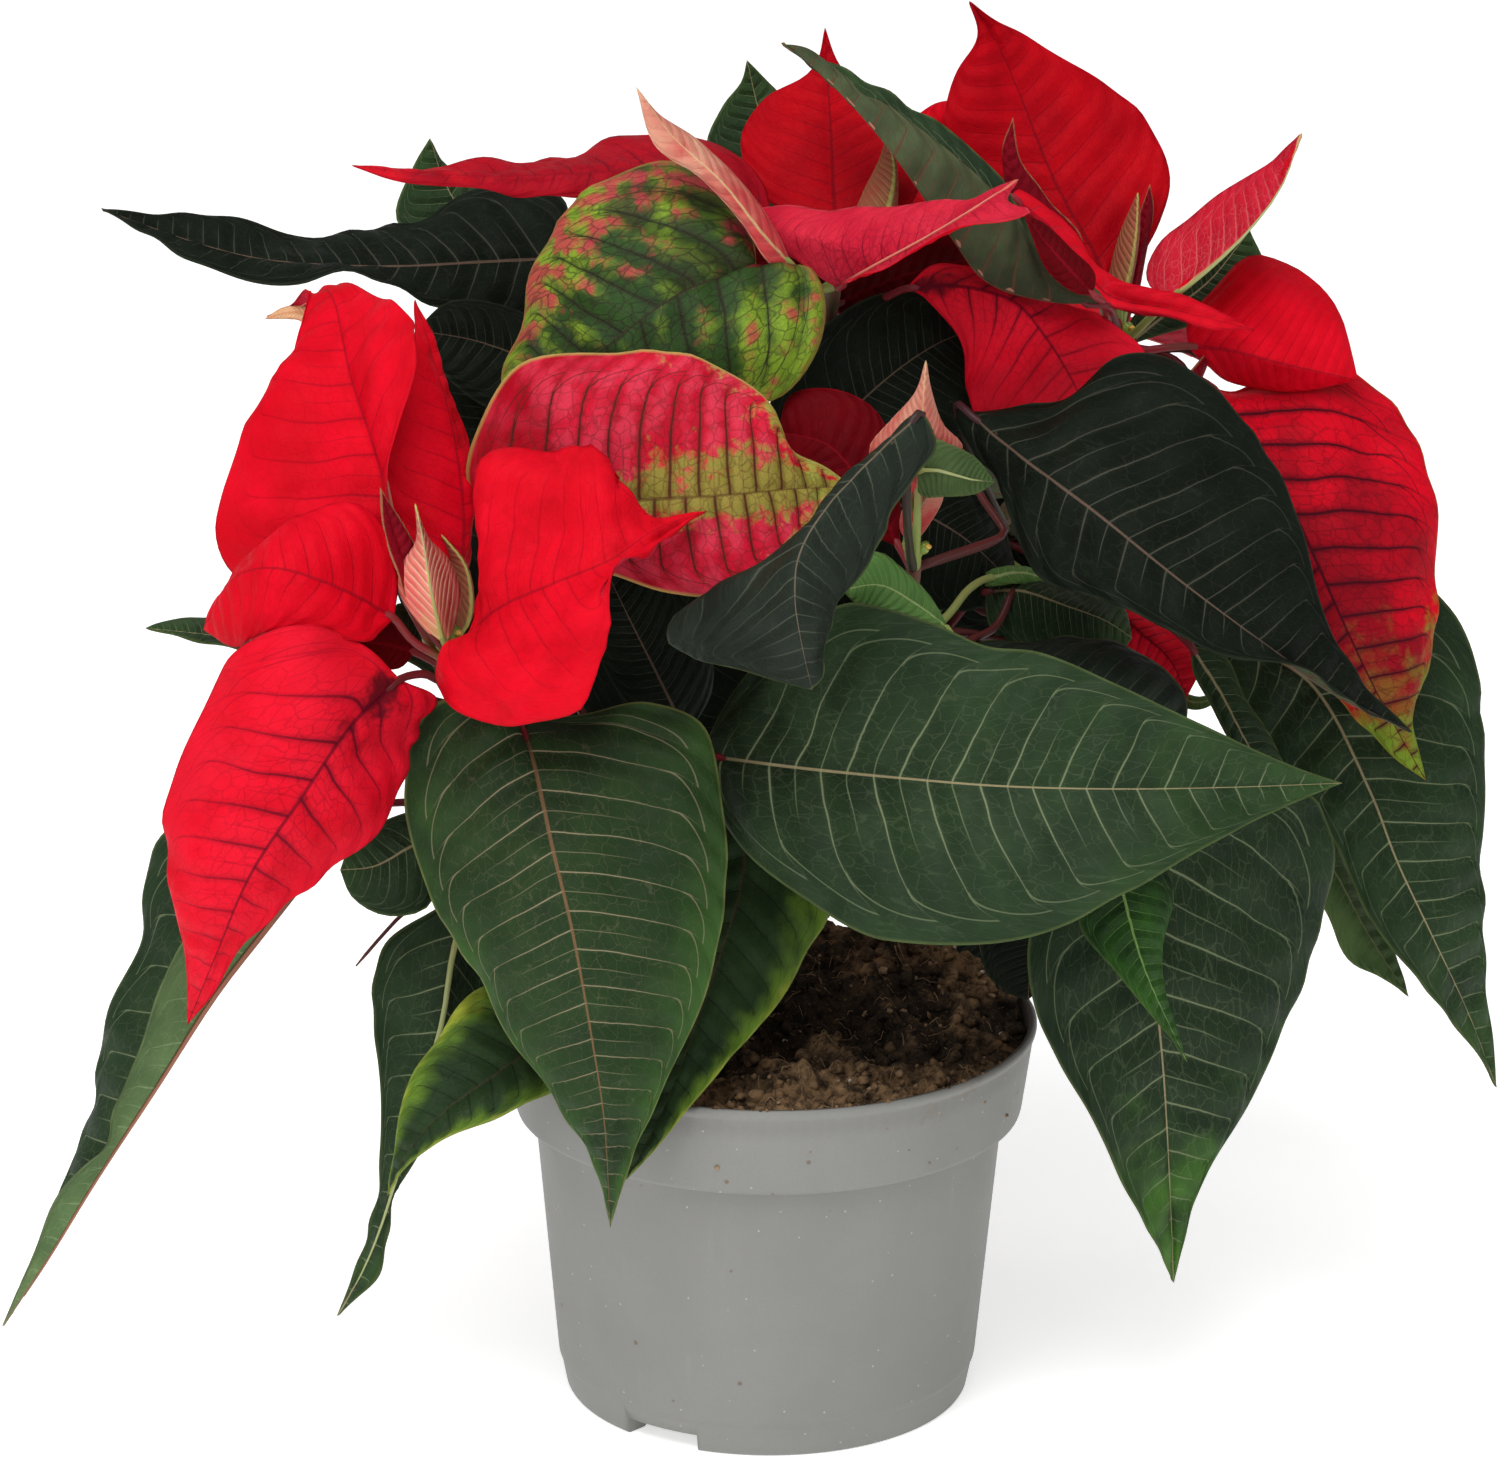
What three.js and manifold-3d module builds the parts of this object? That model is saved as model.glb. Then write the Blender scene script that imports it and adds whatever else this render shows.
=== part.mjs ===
// A poinsettia in a round nursery pot. Units are millimetres, +Z is up, and the origin is the
// middle of the pot's underside. The front of the plant faces -Y.
//
// The plant is a woody stem with side branches, and on it leaves and coloured bracts, each with a
// petiole of its own. Every leaf is one thin closed body: a six-sided petiole that widens into a
// blade, which is lofted between a left edge, a midrib and a right edge.

import * as THREE from 'three';
import { mergeVertices } from 'three/addons/utils/BufferGeometryUtils.js';
import Module from 'manifold-3d';

const wasm = await Module();
wasm.setup();

// ---------------------------------------------------------------- driving dimensions

const POT_HEIGHT = 95;
const RIM_RADIUS = 65;
const FOOT_RADIUS = 49.4;
const FOOT_LINE_RADIUS = 51.2;
const FOOT_LINE_HEIGHT = 8.5;
const NECK_RADIUS = 57;
const BAND_RADIUS = 61.8;
const BAND_BOTTOM = 72.3;
const WALL = 1.6;
const FLOOR_TOP = 5;
const RECESS_HEIGHT = 3;
const PAD_RADIUS = 9;
const RING_INNER_RADIUS = 43;
const POT_SEGMENTS = 36;

const NOTCH_HEIGHT = 4.4;
const NOTCH_WIDTH = 19;
const NOTCH_ANGLES = [-121, 59];
const DRAIN_RADIUS = 4;
const DRAIN_CIRCLE = 31;
const DRAIN_COUNT = 6;
const DRAIN_SIDES = 10;

const GAP = 0.35;
const SOIL_EDGE_HEIGHT = 90.5;
const SOIL_MOUND = 3;
const SOIL_LUMP = 1.6;
const SOIL_SEGMENTS = 36;
const SOIL_RINGS = 5;

const TRUNK_FOOT = [-14.2, 1.5];
const TRUNK_PATCH = 11;
const TRUNK_START = 94.4;

const BLADE_THICKNESS = 0.8;
const PETIOLE_RADIUS = 1.2;
const PETIOLE_TURNS = [150, 90, 30, -30, -90, -150];
const BLADE_STATIONS = [0.05, 0.15, 0.28, 0.42, 0.56, 0.7, 0.83, 0.93];
const STEM_SIDES = 8;

// The plant is drawn in perspective from an eye in front of it. A place on the plant is written
// [across, down, front]: across and down are steps on the drawing, about four to a millimetre,
// from its upper left corner, and front is how many millimetres the place stands in front of the
// upright plane through the pot's middle.
const EYE = new THREE.Vector3(0, -1505, 662);
const LOOK_DOWN = 0.3174;
const LOOK_LEFT = 0.0034;
const LOOK_ROLL = 0.0065;
const DRAWING_FOCUS = 6620;
const DRAWING_MIDDLE = [750, 729.5];

const COLOURS = {
  pot: [0x8b8f8e, 0.55],
  soil: [0x2a1c12, 0.95],
  stem: [0x5b5a2c, 0.6],
  red: [0xd5101c, 0.5],
  red_smooth: [0xe3151f, 0.5],
  red_dark: [0x7a0a12, 0.55],
  red_veined: [0xd11222, 0.5],
  red_tipped: [0xc9141f, 0.5],
  pink_under: [0xc8324a, 0.55],
  pink_young: [0xc9897f, 0.55],
  pink_bud: [0xd07a78, 0.55],
  mottled_red: [0xb32a3c, 0.5],
  mottled_green: [0x5c7a26, 0.5],
  green: [0x27402a, 0.5],
  green_bright: [0x2f5a2c, 0.5],
  green_dark: [0x1c2b22, 0.5],
  green_pale: [0x6f9a50, 0.55],
  green_under: [0x5d6b4c, 0.6],
  green_edged: [0x35501f, 0.5],
};

// ---------------------------------------------------------------- helpers

const radians = THREE.MathUtils.degToRad;

// The drawing's own right, up and forward directions.
const forward = new THREE.Vector3(
  -Math.sin(LOOK_LEFT) * Math.cos(LOOK_DOWN),
  Math.cos(LOOK_LEFT) * Math.cos(LOOK_DOWN),
  -Math.sin(LOOK_DOWN),
);
const levelRight = new THREE.Vector3(Math.cos(LOOK_LEFT), Math.sin(LOOK_LEFT), 0);
const drawingRight = levelRight.clone().applyAxisAngle(forward, -LOOK_ROLL);
const drawingUp = drawingRight.clone().cross(forward);

function place([across, down, front]) {
  const ray = forward.clone()
    .addScaledVector(drawingRight, (across - DRAWING_MIDDLE[0]) / DRAWING_FOCUS)
    .addScaledVector(drawingUp, (DRAWING_MIDDLE[1] - down) / DRAWING_FOCUS);
  const reach = (-front - EYE.y) / ray.y;
  return EYE.clone().addScaledVector(ray, reach);
}

function curveThrough(points) {
  return new THREE.CatmullRomCurve3(points, false, 'centripetal');
}

function material(name) {
  const [color, roughness] = COLOURS[name];
  return new THREE.MeshStandardMaterial({ color, roughness, metalness: 0 });
}

function part(name, geometry, finish) {
  const mesh = new THREE.Mesh(geometry, material(finish));
  mesh.name = name;
  return mesh;
}

// A closed body through rings of points that all have the same count. Each ring runs clockwise
// seen from the first ring, and a cone of triangles to a point closes either end. The sides in
// turnedSides are split along their other diagonal, so that a thin body's two faces, which run
// opposite ways, bend along the same lines.
function loft(rings, firstPoint, lastPoint, turnedSides = []) {
  const count = rings[0].length;
  const points = [...rings.flat(), firstPoint, lastPoint];
  const first = points.length - 2;
  const last = points.length - 1;
  const faces = [];
  for (let ring = 0; ring + 1 < rings.length; ring += 1) {
    for (let k = 0; k < count; k += 1) {
      const a = ring * count + k;
      const b = ring * count + (k + 1) % count;
      if (turnedSides.includes(k)) {
        faces.push(a, b, a + count, b, b + count, a + count);
      } else {
        faces.push(a, b, b + count, a, b + count, a + count);
      }
    }
  }
  const end = (rings.length - 1) * count;
  for (let k = 0; k < count; k += 1) {
    const next = (k + 1) % count;
    faces.push(first, next, k);
    faces.push(last, end + k, end + next);
  }
  const geometry = new THREE.BufferGeometry().setFromPoints(points);
  geometry.setIndex(faces);
  geometry.computeVertexNormals();
  return geometry;
}

function toSolid(geometry) {
  const bare = geometry.clone();
  bare.deleteAttribute('normal');
  bare.deleteAttribute('uv');
  const merged = mergeVertices(bare, 1e-4);
  return new wasm.Manifold(new wasm.Mesh({
    numProp: 3,
    vertProperties: new Float32Array(merged.attributes.position.array),
    triVerts: new Uint32Array(merged.index.array),
  }));
}

function toGeometry(solid) {
  const mesh = solid.getMesh();
  const geometry = new THREE.BufferGeometry();
  geometry.setAttribute('position', new THREE.BufferAttribute(mesh.vertProperties, 3));
  geometry.setIndex(new THREE.BufferAttribute(mesh.triVerts, 1));
  geometry.computeVertexNormals();
  return geometry;
}

// A lathe profile given as [radius, height], turned about +Z.
function turned(profile, segments) {
  const outline = profile.map(([radius, height]) => new THREE.Vector2(radius, height));
  const geometry = new THREE.LatheGeometry(outline, segments);
  geometry.rotateX(Math.PI / 2);
  return geometry;
}

// ---------------------------------------------------------------- pot

function potProfile() {
  const innerNeck = NECK_RADIUS - WALL;
  const innerBand = BAND_RADIUS - WALL;
  const innerFoot = FOOT_LINE_RADIUS - WALL;
  return [
    [0, 0],
    [PAD_RADIUS, 0],
    [PAD_RADIUS + 1, RECESS_HEIGHT],
    [RING_INNER_RADIUS - 0.5, RECESS_HEIGHT],
    [RING_INNER_RADIUS, 0],
    [FOOT_RADIUS - 0.5, 0],
    [FOOT_RADIUS, 0.6],
    [FOOT_LINE_RADIUS - 0.2, FOOT_LINE_HEIGHT - 0.4],
    [FOOT_LINE_RADIUS, FOOT_LINE_HEIGHT],
    [NECK_RADIUS, BAND_BOTTOM],
    [BAND_RADIUS - 0.7, BAND_BOTTOM + 0.2],
    [BAND_RADIUS, BAND_BOTTOM + 1.4],
    [RIM_RADIUS - 0.5, POT_HEIGHT - 2.4],
    [RIM_RADIUS, POT_HEIGHT - 1.6],
    [RIM_RADIUS, POT_HEIGHT - 0.4],
    [RIM_RADIUS - 0.4, POT_HEIGHT],
    [RIM_RADIUS - WALL, POT_HEIGHT],
    [RIM_RADIUS - WALL - 0.5, POT_HEIGHT - 0.6],
    [innerBand, BAND_BOTTOM + 2.2],
    [innerBand - 0.8, BAND_BOTTOM + WALL],
    [innerNeck, BAND_BOTTOM + WALL - 0.6],
    [innerFoot, FOOT_LINE_HEIGHT + 0.5],
    [innerFoot - 2, FLOOR_TOP],
    [0, FLOOR_TOP],
  ];
}

function notch(angle) {
  const depth = FOOT_RADIUS - RING_INNER_RADIUS + 6;
  const cutter = new THREE.BoxGeometry(depth, NOTCH_WIDTH, 2 * NOTCH_HEIGHT);
  cutter.translate((FOOT_RADIUS + RING_INNER_RADIUS) / 2, 0, 0);
  cutter.rotateZ(radians(angle));
  return cutter;
}

function drainHole(angle) {
  const cutter = new THREE.CylinderGeometry(DRAIN_RADIUS, DRAIN_RADIUS, 4 * FLOOR_TOP, DRAIN_SIDES);
  cutter.rotateX(Math.PI / 2);
  cutter.translate(DRAIN_CIRCLE, 0, 0);
  cutter.rotateZ(radians(angle));
  return cutter;
}

// The notches cut only the standing ring, up to the height of the recess.
function pot() {
  let solid = toSolid(turned(potProfile(), POT_SEGMENTS));
  for (const angle of NOTCH_ANGLES) {
    solid = solid.subtract(toSolid(notch(angle)));
  }
  for (let hole = 0; hole < DRAIN_COUNT; hole += 1) {
    solid = solid.subtract(toSolid(drainHole(hole * 360 / DRAIN_COUNT + 15)));
  }
  return part('pot', toGeometry(solid), 'pot');
}

// ---------------------------------------------------------------- soil

// The lumpy top of the soil: a low mound with clods, level in a patch round the trunk's foot.
function soilHeight(x, y) {
  const radius = Math.hypot(x, y);
  const inner = RIM_RADIUS - WALL;
  const mound = SOIL_MOUND * (1 - (radius / inner) ** 2);
  const lumps = SOIL_LUMP * (Math.sin(x * 0.21 + 1.3) * Math.sin(y * 0.19 - 0.6)
    + 0.6 * Math.sin(x * 0.43 - y * 0.31) * Math.sin(y * 0.37 + x * 0.12 + 2));
  const fromTrunk = Math.hypot(x - TRUNK_FOOT[0], y - TRUNK_FOOT[1]);
  const open = SOIL_EDGE_HEIGHT + mound + lumps * Math.min(1, (inner - radius) / 12 + 0.3);
  const level = THREE.MathUtils.smoothstep(fromTrunk, TRUNK_PATCH, 2 * TRUNK_PATCH);
  return THREE.MathUtils.lerp(TRUNK_START - GAP, open, level);
}

function soil() {
  const sides = [
    [NECK_RADIUS - WALL - 2 * GAP, BAND_BOTTOM + 0.4],
    [NECK_RADIUS - WALL - GAP, BAND_BOTTOM + WALL + 0.9],
    [BAND_RADIUS - WALL - 2 * GAP, BAND_BOTTOM + WALL + 1.3],
    [BAND_RADIUS - WALL + 1.5, SOIL_EDGE_HEIGHT - 0.8],
  ];
  const [edgeRadius, edgeHeight] = sides[sides.length - 1];
  const bottom = [
    [0, FLOOR_TOP + GAP],
    [FOOT_LINE_RADIUS - WALL - 2 - GAP, FLOOR_TOP + GAP],
    [FOOT_LINE_RADIUS - WALL - GAP - 0.1, FOOT_LINE_HEIGHT + 0.7],
  ];
  const top = [];
  for (let ring = SOIL_RINGS - 1; ring >= 0; ring -= 1) {
    top.push([edgeRadius * ring / SOIL_RINGS, edgeHeight + 1]);
  }
  const geometry = turned([...bottom, ...sides, ...top], SOIL_SEGMENTS);
  const position = geometry.attributes.position;
  for (let k = 0; k < position.count; k += 1) {
    if (position.getZ(k) > edgeHeight + 0.5) {
      position.setZ(k, soilHeight(position.getX(k), position.getY(k)));
    }
  }
  return part('soil', toGeometry(toSolid(geometry)), 'soil');
}

// ---------------------------------------------------------------- stem

// Each branch is [its places from root to end, its radius at the root, its radius at the end].
const TRUNK = [[[704, 962, 1], [716, 900, 1], [722, 868, 0]], 5.2, 3.6];
const BRANCHES = [
  [[[712, 912, 1], [680, 860, 8], [600, 772, 24], [520, 706, 37], [470, 676, 43], [446, 663, 46]], 3.4, 2],
  [[[722, 880, 0], [745, 780, -9], [790, 600, -19], [815, 450, -24], [827, 330, -21], [836, 268, -15]],
    3.2, 1.9],
  [[[720, 890, -1], [800, 760, -18], [930, 610, -30], [1040, 470, -37], [1105, 385, -40], [1117, 345, -39]],
    3.2, 1.9],
  [[[718, 890, 1], [790, 790, 15], [870, 680, 27], [908, 600, 33], [916, 556, 34]], 2.8, 1.7],
  [[[716, 890, -1], [690, 760, -20], [652, 560, -40], [632, 400, -52], [625, 330, -56]], 3, 1.9],
  [[[722, 885, -2], [800, 740, -34], [880, 560, -56], [930, 420, -66], [942, 375, -67]], 3, 1.9],
];

function stemTube([places, rootRadius, endRadius]) {
  const curve = curveThrough(places.map(place));
  const steps = 2 * places.length;
  const frames = curve.computeFrenetFrames(steps, false);
  const rings = [];
  for (let step = 0; step <= steps; step += 1) {
    const along = step / steps;
    const centre = curve.getPointAt(along);
    const radius = THREE.MathUtils.lerp(rootRadius, endRadius, along);
    const ring = [];
    for (let side = 0; side < STEM_SIDES; side += 1) {
      const turn = 2 * Math.PI * side / STEM_SIDES;
      ring.push(centre.clone()
        .addScaledVector(frames.normals[step], radius * Math.cos(turn))
        .addScaledVector(frames.binormals[step], radius * Math.sin(turn)));
    }
    rings.push(ring);
  }
  return loft(rings, curve.getPointAt(0), curve.getPointAt(1));
}

// The trunk stands upright on the soil, then leans to the first fork.
function trunkTube() {
  const [places, rootRadius, endRadius] = TRUNK;
  const foot = new THREE.Vector3(...TRUNK_FOOT, TRUNK_START);
  const points = [foot, foot.clone().setZ(TRUNK_START + 6), ...places.map(place)];
  const curve = curveThrough(points);
  const rings = [];
  const steps = 8;
  for (let step = 0; step <= steps; step += 1) {
    const along = step / steps;
    const centre = curve.getPointAt(along);
    const radius = THREE.MathUtils.lerp(rootRadius, endRadius, along);
    const ring = [];
    for (let side = 0; side < STEM_SIDES; side += 1) {
      const turn = 2 * Math.PI * side / STEM_SIDES;
      ring.push(new THREE.Vector3(
        centre.x + radius * Math.cos(turn),
        centre.y + radius * Math.sin(turn),
        centre.z,
      ));
    }
    rings.push(ring);
  }
  return loft(rings, curve.getPointAt(0), curve.getPointAt(1));
}

function stem() {
  let solid = toSolid(trunkTube());
  for (const branch of BRANCHES) {
    solid = solid.add(toSolid(stemTube(branch)));
  }
  return part('stem', toGeometry(solid), 'stem');
}

// ---------------------------------------------------------------- leaves

// The two sides of a leaf's ring that make its underside.
const LOWER_SIDES = [3, 4];

// The directions square to one half of a blade, at the two points of each of its rows.
function halfNormals(base, rows, tip) {
  const points = [...rows.flat(), base, tip];
  const end = 2 * (rows.length - 1);
  const faces = [points.length - 2, 1, 0];
  for (let near = 0; near < end; near += 2) {
    faces.push(near, near + 1, near + 3, near, near + 3, near + 2);
  }
  faces.push(points.length - 1, end, end + 1);
  const surface = new THREE.BufferGeometry().setFromPoints(points);
  surface.setIndex(faces);
  surface.computeVertexNormals();
  const normals = surface.attributes.normal;
  return rows.map((_, row) => [0, 1].map(
    (column) => new THREE.Vector3().fromBufferAttribute(normals, 2 * row + column),
  ));
}

// The directions square to a blade at the left edge, rib and right edge of each row. The rib's is
// halfway between those of its two halves, however sharply they fold.
function bladeNormals(base, rows, tip) {
  const leftHalf = halfNormals(base, rows.map(([left, middle]) => [left, middle]), tip);
  const rightHalf = halfNormals(base, rows.map(([, middle, right]) => [middle, right]), tip);
  return rows.map((_, row) => {
    const [left, leftMiddle] = leftHalf[row];
    const [rightMiddle, right] = rightHalf[row];
    return [left, leftMiddle.add(rightMiddle).normalize(), right];
  });
}

// One closed leaf from its four curves: stalk from the stem to the blade, then left edge, rib and
// right edge from the blade's base to its tip. Left and right are as seen on the upper face,
// looking from base to tip.
function leafGeometry(stalk, rib, left, right) {
  const base = rib[0];
  const tip = rib[rib.length - 1];
  const lines = [
    curveThrough([base, ...left, tip]),
    curveThrough(rib),
    curveThrough([base, ...right, tip]),
  ];
  const rows = BLADE_STATIONS.map((along) => lines.map((line) => line.getPointAt(along)));
  const normals = bladeNormals(base, rows, tip);
  const stalkCurve = curveThrough([...stalk, base]);
  const stalkSteps = stalk.length + 1;
  const firstAcross = rows[0][2].clone().sub(rows[0][0]);
  const ribStart = lines[1].getTangentAt(0);
  const rings = [];
  for (let step = 0; step <= stalkSteps; step += 1) {
    const along = step / stalkSteps;
    const centre = stalkCurve.getPointAt(along);
    const tangent = stalkCurve.getTangentAt(along).addScaledVector(ribStart, along ** 2).normalize();
    const side = firstAcross.clone().projectOnPlane(tangent).normalize();
    const up = side.clone().cross(tangent);
    const ring = PETIOLE_TURNS.map((turn) => centre.clone()
      .addScaledVector(side, PETIOLE_RADIUS * Math.cos(radians(turn)))
      .addScaledVector(up, PETIOLE_RADIUS * Math.sin(radians(turn))));
    rings.push(ring);
  }
  rows.forEach((row, index) => {
    const upper = row.map((point, column) => point.clone()
      .addScaledVector(normals[index][column], BLADE_THICKNESS / 2));
    const lower = row.map((point, column) => point.clone()
      .addScaledVector(normals[index][column], -BLADE_THICKNESS / 2));
    rings.push([...upper, ...lower.reverse()]);
  });
  return loft(rings, stalkCurve.getPointAt(0), tip, LOWER_SIDES);
}

function drawnLeaf({ name, skin, stalk, rib, left, right }) {
  const curves = [stalk, rib, left, right].map((places) => places.map(place));
  return part(name, leafGeometry(...curves), skin);
}

// A leaf on the far side of the plant, which arches out from its root and droops.
function farLeaf({ name, skin, root, turn, stalk, length, width, rise, droop }) {
  const start = place(root);
  const out = new THREE.Vector3(Math.sin(radians(turn)), Math.cos(radians(turn)), 0);
  const side = new THREE.Vector3(out.y, -out.x, 0);
  const up = new THREE.Vector3(0, 0, 1);
  const reach = (distance, height, sideways) => start.clone()
    .addScaledVector(out, distance)
    .addScaledVector(up, height)
    .addScaledVector(side, sideways);
  const archAt = (along) => rise * (1 + 0.7 * along) - droop * along * along;
  const ribPoint = (along) => reach(stalk + length * along, archAt(along), 0);
  const edgePoint = (along, hand) => {
    const halfWidth = width / 2 * Math.sin(Math.PI * along ** 0.8) ** 0.9;
    return reach(stalk + length * along, archAt(along) + 0.25 * halfWidth, hand * halfWidth);
  };
  const stations = [0.12, 0.3, 0.5, 0.7, 0.88];
  const curves = [
    [reach(0, 0, 0), reach(stalk * 0.5, rise * 0.7, 0)],
    [0, 0.25, 0.5, 0.75, 1].map(ribPoint),
    stations.map((along) => edgePoint(along, -1)),
    stations.map((along) => edgePoint(along, 1)),
  ];
  return part(name, leafGeometry(...curves), skin);
}

// ---------------------------------------------------------------- leaf tables

const LEAVES = [
  {"name": "bract_left_tall", "skin": "red",
   "stalk": [[440, 657, 47], [418, 622, 50]],
   "rib": [[400, 585, 50], [383, 478, 44], [352, 380, 28], [329, 292, 6], [300, 305, -10],
     [266, 316, -17]],
   "left": [[345, 600, 44], [240, 580, 38], [214, 530, 34], [240, 440, 27], [288, 365, 15],
     [305, 292, 1], [288, 306, -12]],
   "right": [[393, 535, 51], [387, 470, 52], [402, 415, 50], [417, 360, 42], [413, 323, 32],
     [385, 297, 16], [345, 286, 0], [302, 318, -14]]},
  {"name": "bract_left_back", "skin": "red",
   "stalk": [[436, 655, 42], [448, 640, 42]],
   "rib": [[456, 610, 41], [464, 530, 37], [453, 430, 27], [432, 355, 17], [415, 299, 8]],
   "left": [[415, 595, 43], [383, 540, 42], [382, 470, 38], [392, 410, 32], [408, 350, 22]],
   "right": [[469, 575, 32], [474, 497, 28], [464, 430, 20], [440, 362, 12]]},
  {"name": "bract_left_side", "skin": "red",
   "stalk": [[440, 657, 50], [412, 640, 54]],
   "rib": [[394, 618, 56], [355, 596, 65], [321, 581, 70], [275, 568, 71], [235, 577, 65],
     [203, 630, 56]],
   "left": [[374, 640, 66], [337, 638, 73], [295, 628, 76], [262, 634, 74], [237, 647, 66]],
   "right": [[400, 575, 55], [365, 512, 55], [321, 506, 56], [283, 524, 57], [249, 555, 58],
     [213, 600, 57]]},
  {"name": "bract_left_low", "skin": "red_veined",
   "stalk": [[443, 681, 49], [424, 674, 54]],
   "rib": [[400, 679, 60], [352, 724, 76], [300, 800, 85], [252, 872, 86], [214, 960, 79],
     [187, 1026, 69]],
   "left": [[434, 702, 51], [412, 745, 56], [396, 805, 64], [340, 865, 74], [262, 928, 80],
     [214, 992, 74]],
   "right": [[356, 639, 71], [299, 626, 82], [243, 644, 83], [199, 714, 77], [167, 800, 76],
     [169, 880, 75], [187, 970, 72]]},
  {"name": "bract_left_near", "skin": "red_smooth",
   "stalk": [[450, 660, 50]],
   "rib": [[466, 640, 55], [500, 608, 67], [555, 583, 76], [610, 560, 78], [655, 530, 70],
     [707, 511, 59]],
   "left": [[482, 560, 59], [481, 500, 58], [497, 455, 55], [540, 447, 56], [590, 448, 58],
     [601, 480, 63], [640, 511, 66], [675, 513, 62]],
   "right": [[441, 668, 61], [440, 695, 68], [474, 719, 78], [530, 722, 88], [583, 708, 92],
     [597, 670, 91], [608, 628, 89], [628, 572, 83], [672, 530, 69]]},
  {"name": "bract_left_bud", "skin": "pink_bud",
   "stalk": [[458, 664, 55]],
   "rib": [[445, 645, 56], [430, 585, 64], [422, 535, 59], [415, 503, 52]],
   "left": [[455, 625, 52], [461, 590, 50], [449, 560, 50], [428, 536, 52]],
   "right": [[425, 630, 57], [399, 590, 57], [402, 565, 55], [416, 540, 54]]},
  {"name": "leaf_mottled_red", "skin": "mottled_red",
   "stalk": [[590, 737, 27], [530, 620, 26]],
   "rib": [[508, 522, 34], [570, 506, 46], [640, 500, 53], [725, 495, 55], [790, 489, 49],
     [851, 486, 39]],
   "left": [[474, 500, 30], [480, 425, 33], [520, 364, 34], [600, 352, 35], [695, 356, 37],
     [760, 396, 39], [790, 450, 41], [825, 466, 39]],
   "right": [[540, 570, 44], [600, 572, 56], [668, 593, 61], [730, 595, 60], [785, 562, 55],
     [812, 522, 48]]},
  {"name": "leaf_mottled_green", "skin": "mottled_green",
   "stalk": [[815, 350, -17], [795, 292, -6]],
   "rib": [[757, 268, 6], [699, 284, 14], [657, 308, 20], [600, 352, 22], [550, 395, 15], [515, 430, 6]],
   "left": [[775, 274, 7], [808, 264, 6], [826, 300, 10], [815, 355, 16], [780, 398, 20],
     [720, 405, 22], [640, 425, 18], [570, 440, 11]],
   "right": [[752, 235, 0], [738, 210, -3], [715, 184, -6], [661, 163, -8], [600, 182, -6],
     [560, 218, -3], [533, 272, 0], [521, 328, 2], [501, 375, 3]]},
  {"name": "bract_top_young", "skin": "pink_young",
   "stalk": [[826, 288, -12], [806, 284, -3]],
   "rib": [[792, 266, 3], [766, 238, 8], [722, 182, 10], [672, 136, 8], [636, 87, 6]],
   "left": [[770, 264, 8], [742, 224, 9], [700, 178, 9], [655, 146, 9]],
   "right": [[776, 232, 4], [752, 194, 3], [702, 143, 2], [656, 112, 4]]},
  {"name": "bract_top_left", "skin": "red",
   "stalk": [[826, 262, -18]],
   "rib": [[772, 218, -16], [690, 172, -12], [600, 172, -10], [500, 176, -9], [420, 173, -8],
     [351, 165, -10]],
   "left": [[720, 212, -10], [640, 202, -9], [569, 197, -7], [500, 191, -5], [430, 186, -5],
     [385, 178, -7]],
   "right": [[756, 172, -24], [690, 139, -30], [622, 142, -28], [536, 160, -22], [450, 163, -16],
     [395, 167, -12]]},
  {"name": "bract_top_upright", "skin": "red",
   "stalk": [[840, 258, -15]],
   "rib": [[838, 240, -18], [834, 200, -26], [831, 132, -38], [827, 70, -44], [825, 27, -44]],
   "left": [[790, 215, -24], [755, 188, -31], [741, 140, -38], [765, 98, -42], [814, 68, -44]],
   "right": [[885, 225, -22], [918, 195, -27], [900, 140, -36], [866, 95, -41], [838, 62, -44]]},
  {"name": "bract_top_fold", "skin": "pink_under",
   "stalk": [[838, 272, -12]],
   "rib": [[838, 288, -2], [880, 264, 10], [930, 237, 19], [978, 207, 22], [1019, 179, 18]],
   "left": [[866, 274, 14], [930, 246, 25], [980, 227, 28], [1031, 212, 24], [1007, 201, 20]],
   "right": [[800, 264, 0], [742, 215, -1], [790, 208, -3], [850, 206, -1], [920, 203, 6],
     [975, 194, 14]]},
  {"name": "bract_right_big", "skin": "red",
   "stalk": [[1119, 338, -36]],
   "rib": [[1114, 302, -40], [1095, 255, -44], [1055, 182, -50], [1018, 90, -56], [992, 33, -55],
     [969, 1, -51]],
   "left": [[1070, 290, -42], [1010, 250, -46], [962, 190, -50], [944, 125, -52], [955, 75, -54],
     [977, 36, -53]],
   "right": [[1129, 280, -44], [1160, 220, -50], [1169, 178, -54], [1147, 122, -58], [1114, 90, -60],
     [1043, 47, -58], [1001, 24, -54]]},
  {"name": "bract_right_fold", "skin": "red",
   "stalk": [[842, 272, -22], [930, 226, -30]],
   "rib": [[1010, 196, -27], [1046, 224, -27], [1078, 262, -26], [1110, 296, -26], [1170, 309, -24],
     [1254, 330, -22]],
   "left": [[1022, 188, -32], [1050, 212, -33], [1094, 262, -31], [1125, 281, -26], [1186, 296, -25],
     [1225, 314, -23]],
   "right": [[1012, 212, -26], [1038, 250, -24], [1060, 275, -22], [1100, 305, -24], [1160, 319, -22],
     [1215, 327, -20]]},
  {"name": "bract_right_pink", "skin": "pink_under",
   "stalk": [[1124, 345, -35], [1146, 322, -31]],
   "rib": [[1173, 297, -28], [1218, 260, -25], [1251, 227, -24], [1280, 188, -25], [1302, 133, -28]],
   "left": [[1186, 280, -40], [1216, 250, -46], [1246, 218, -46], [1276, 180, -38]],
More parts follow.
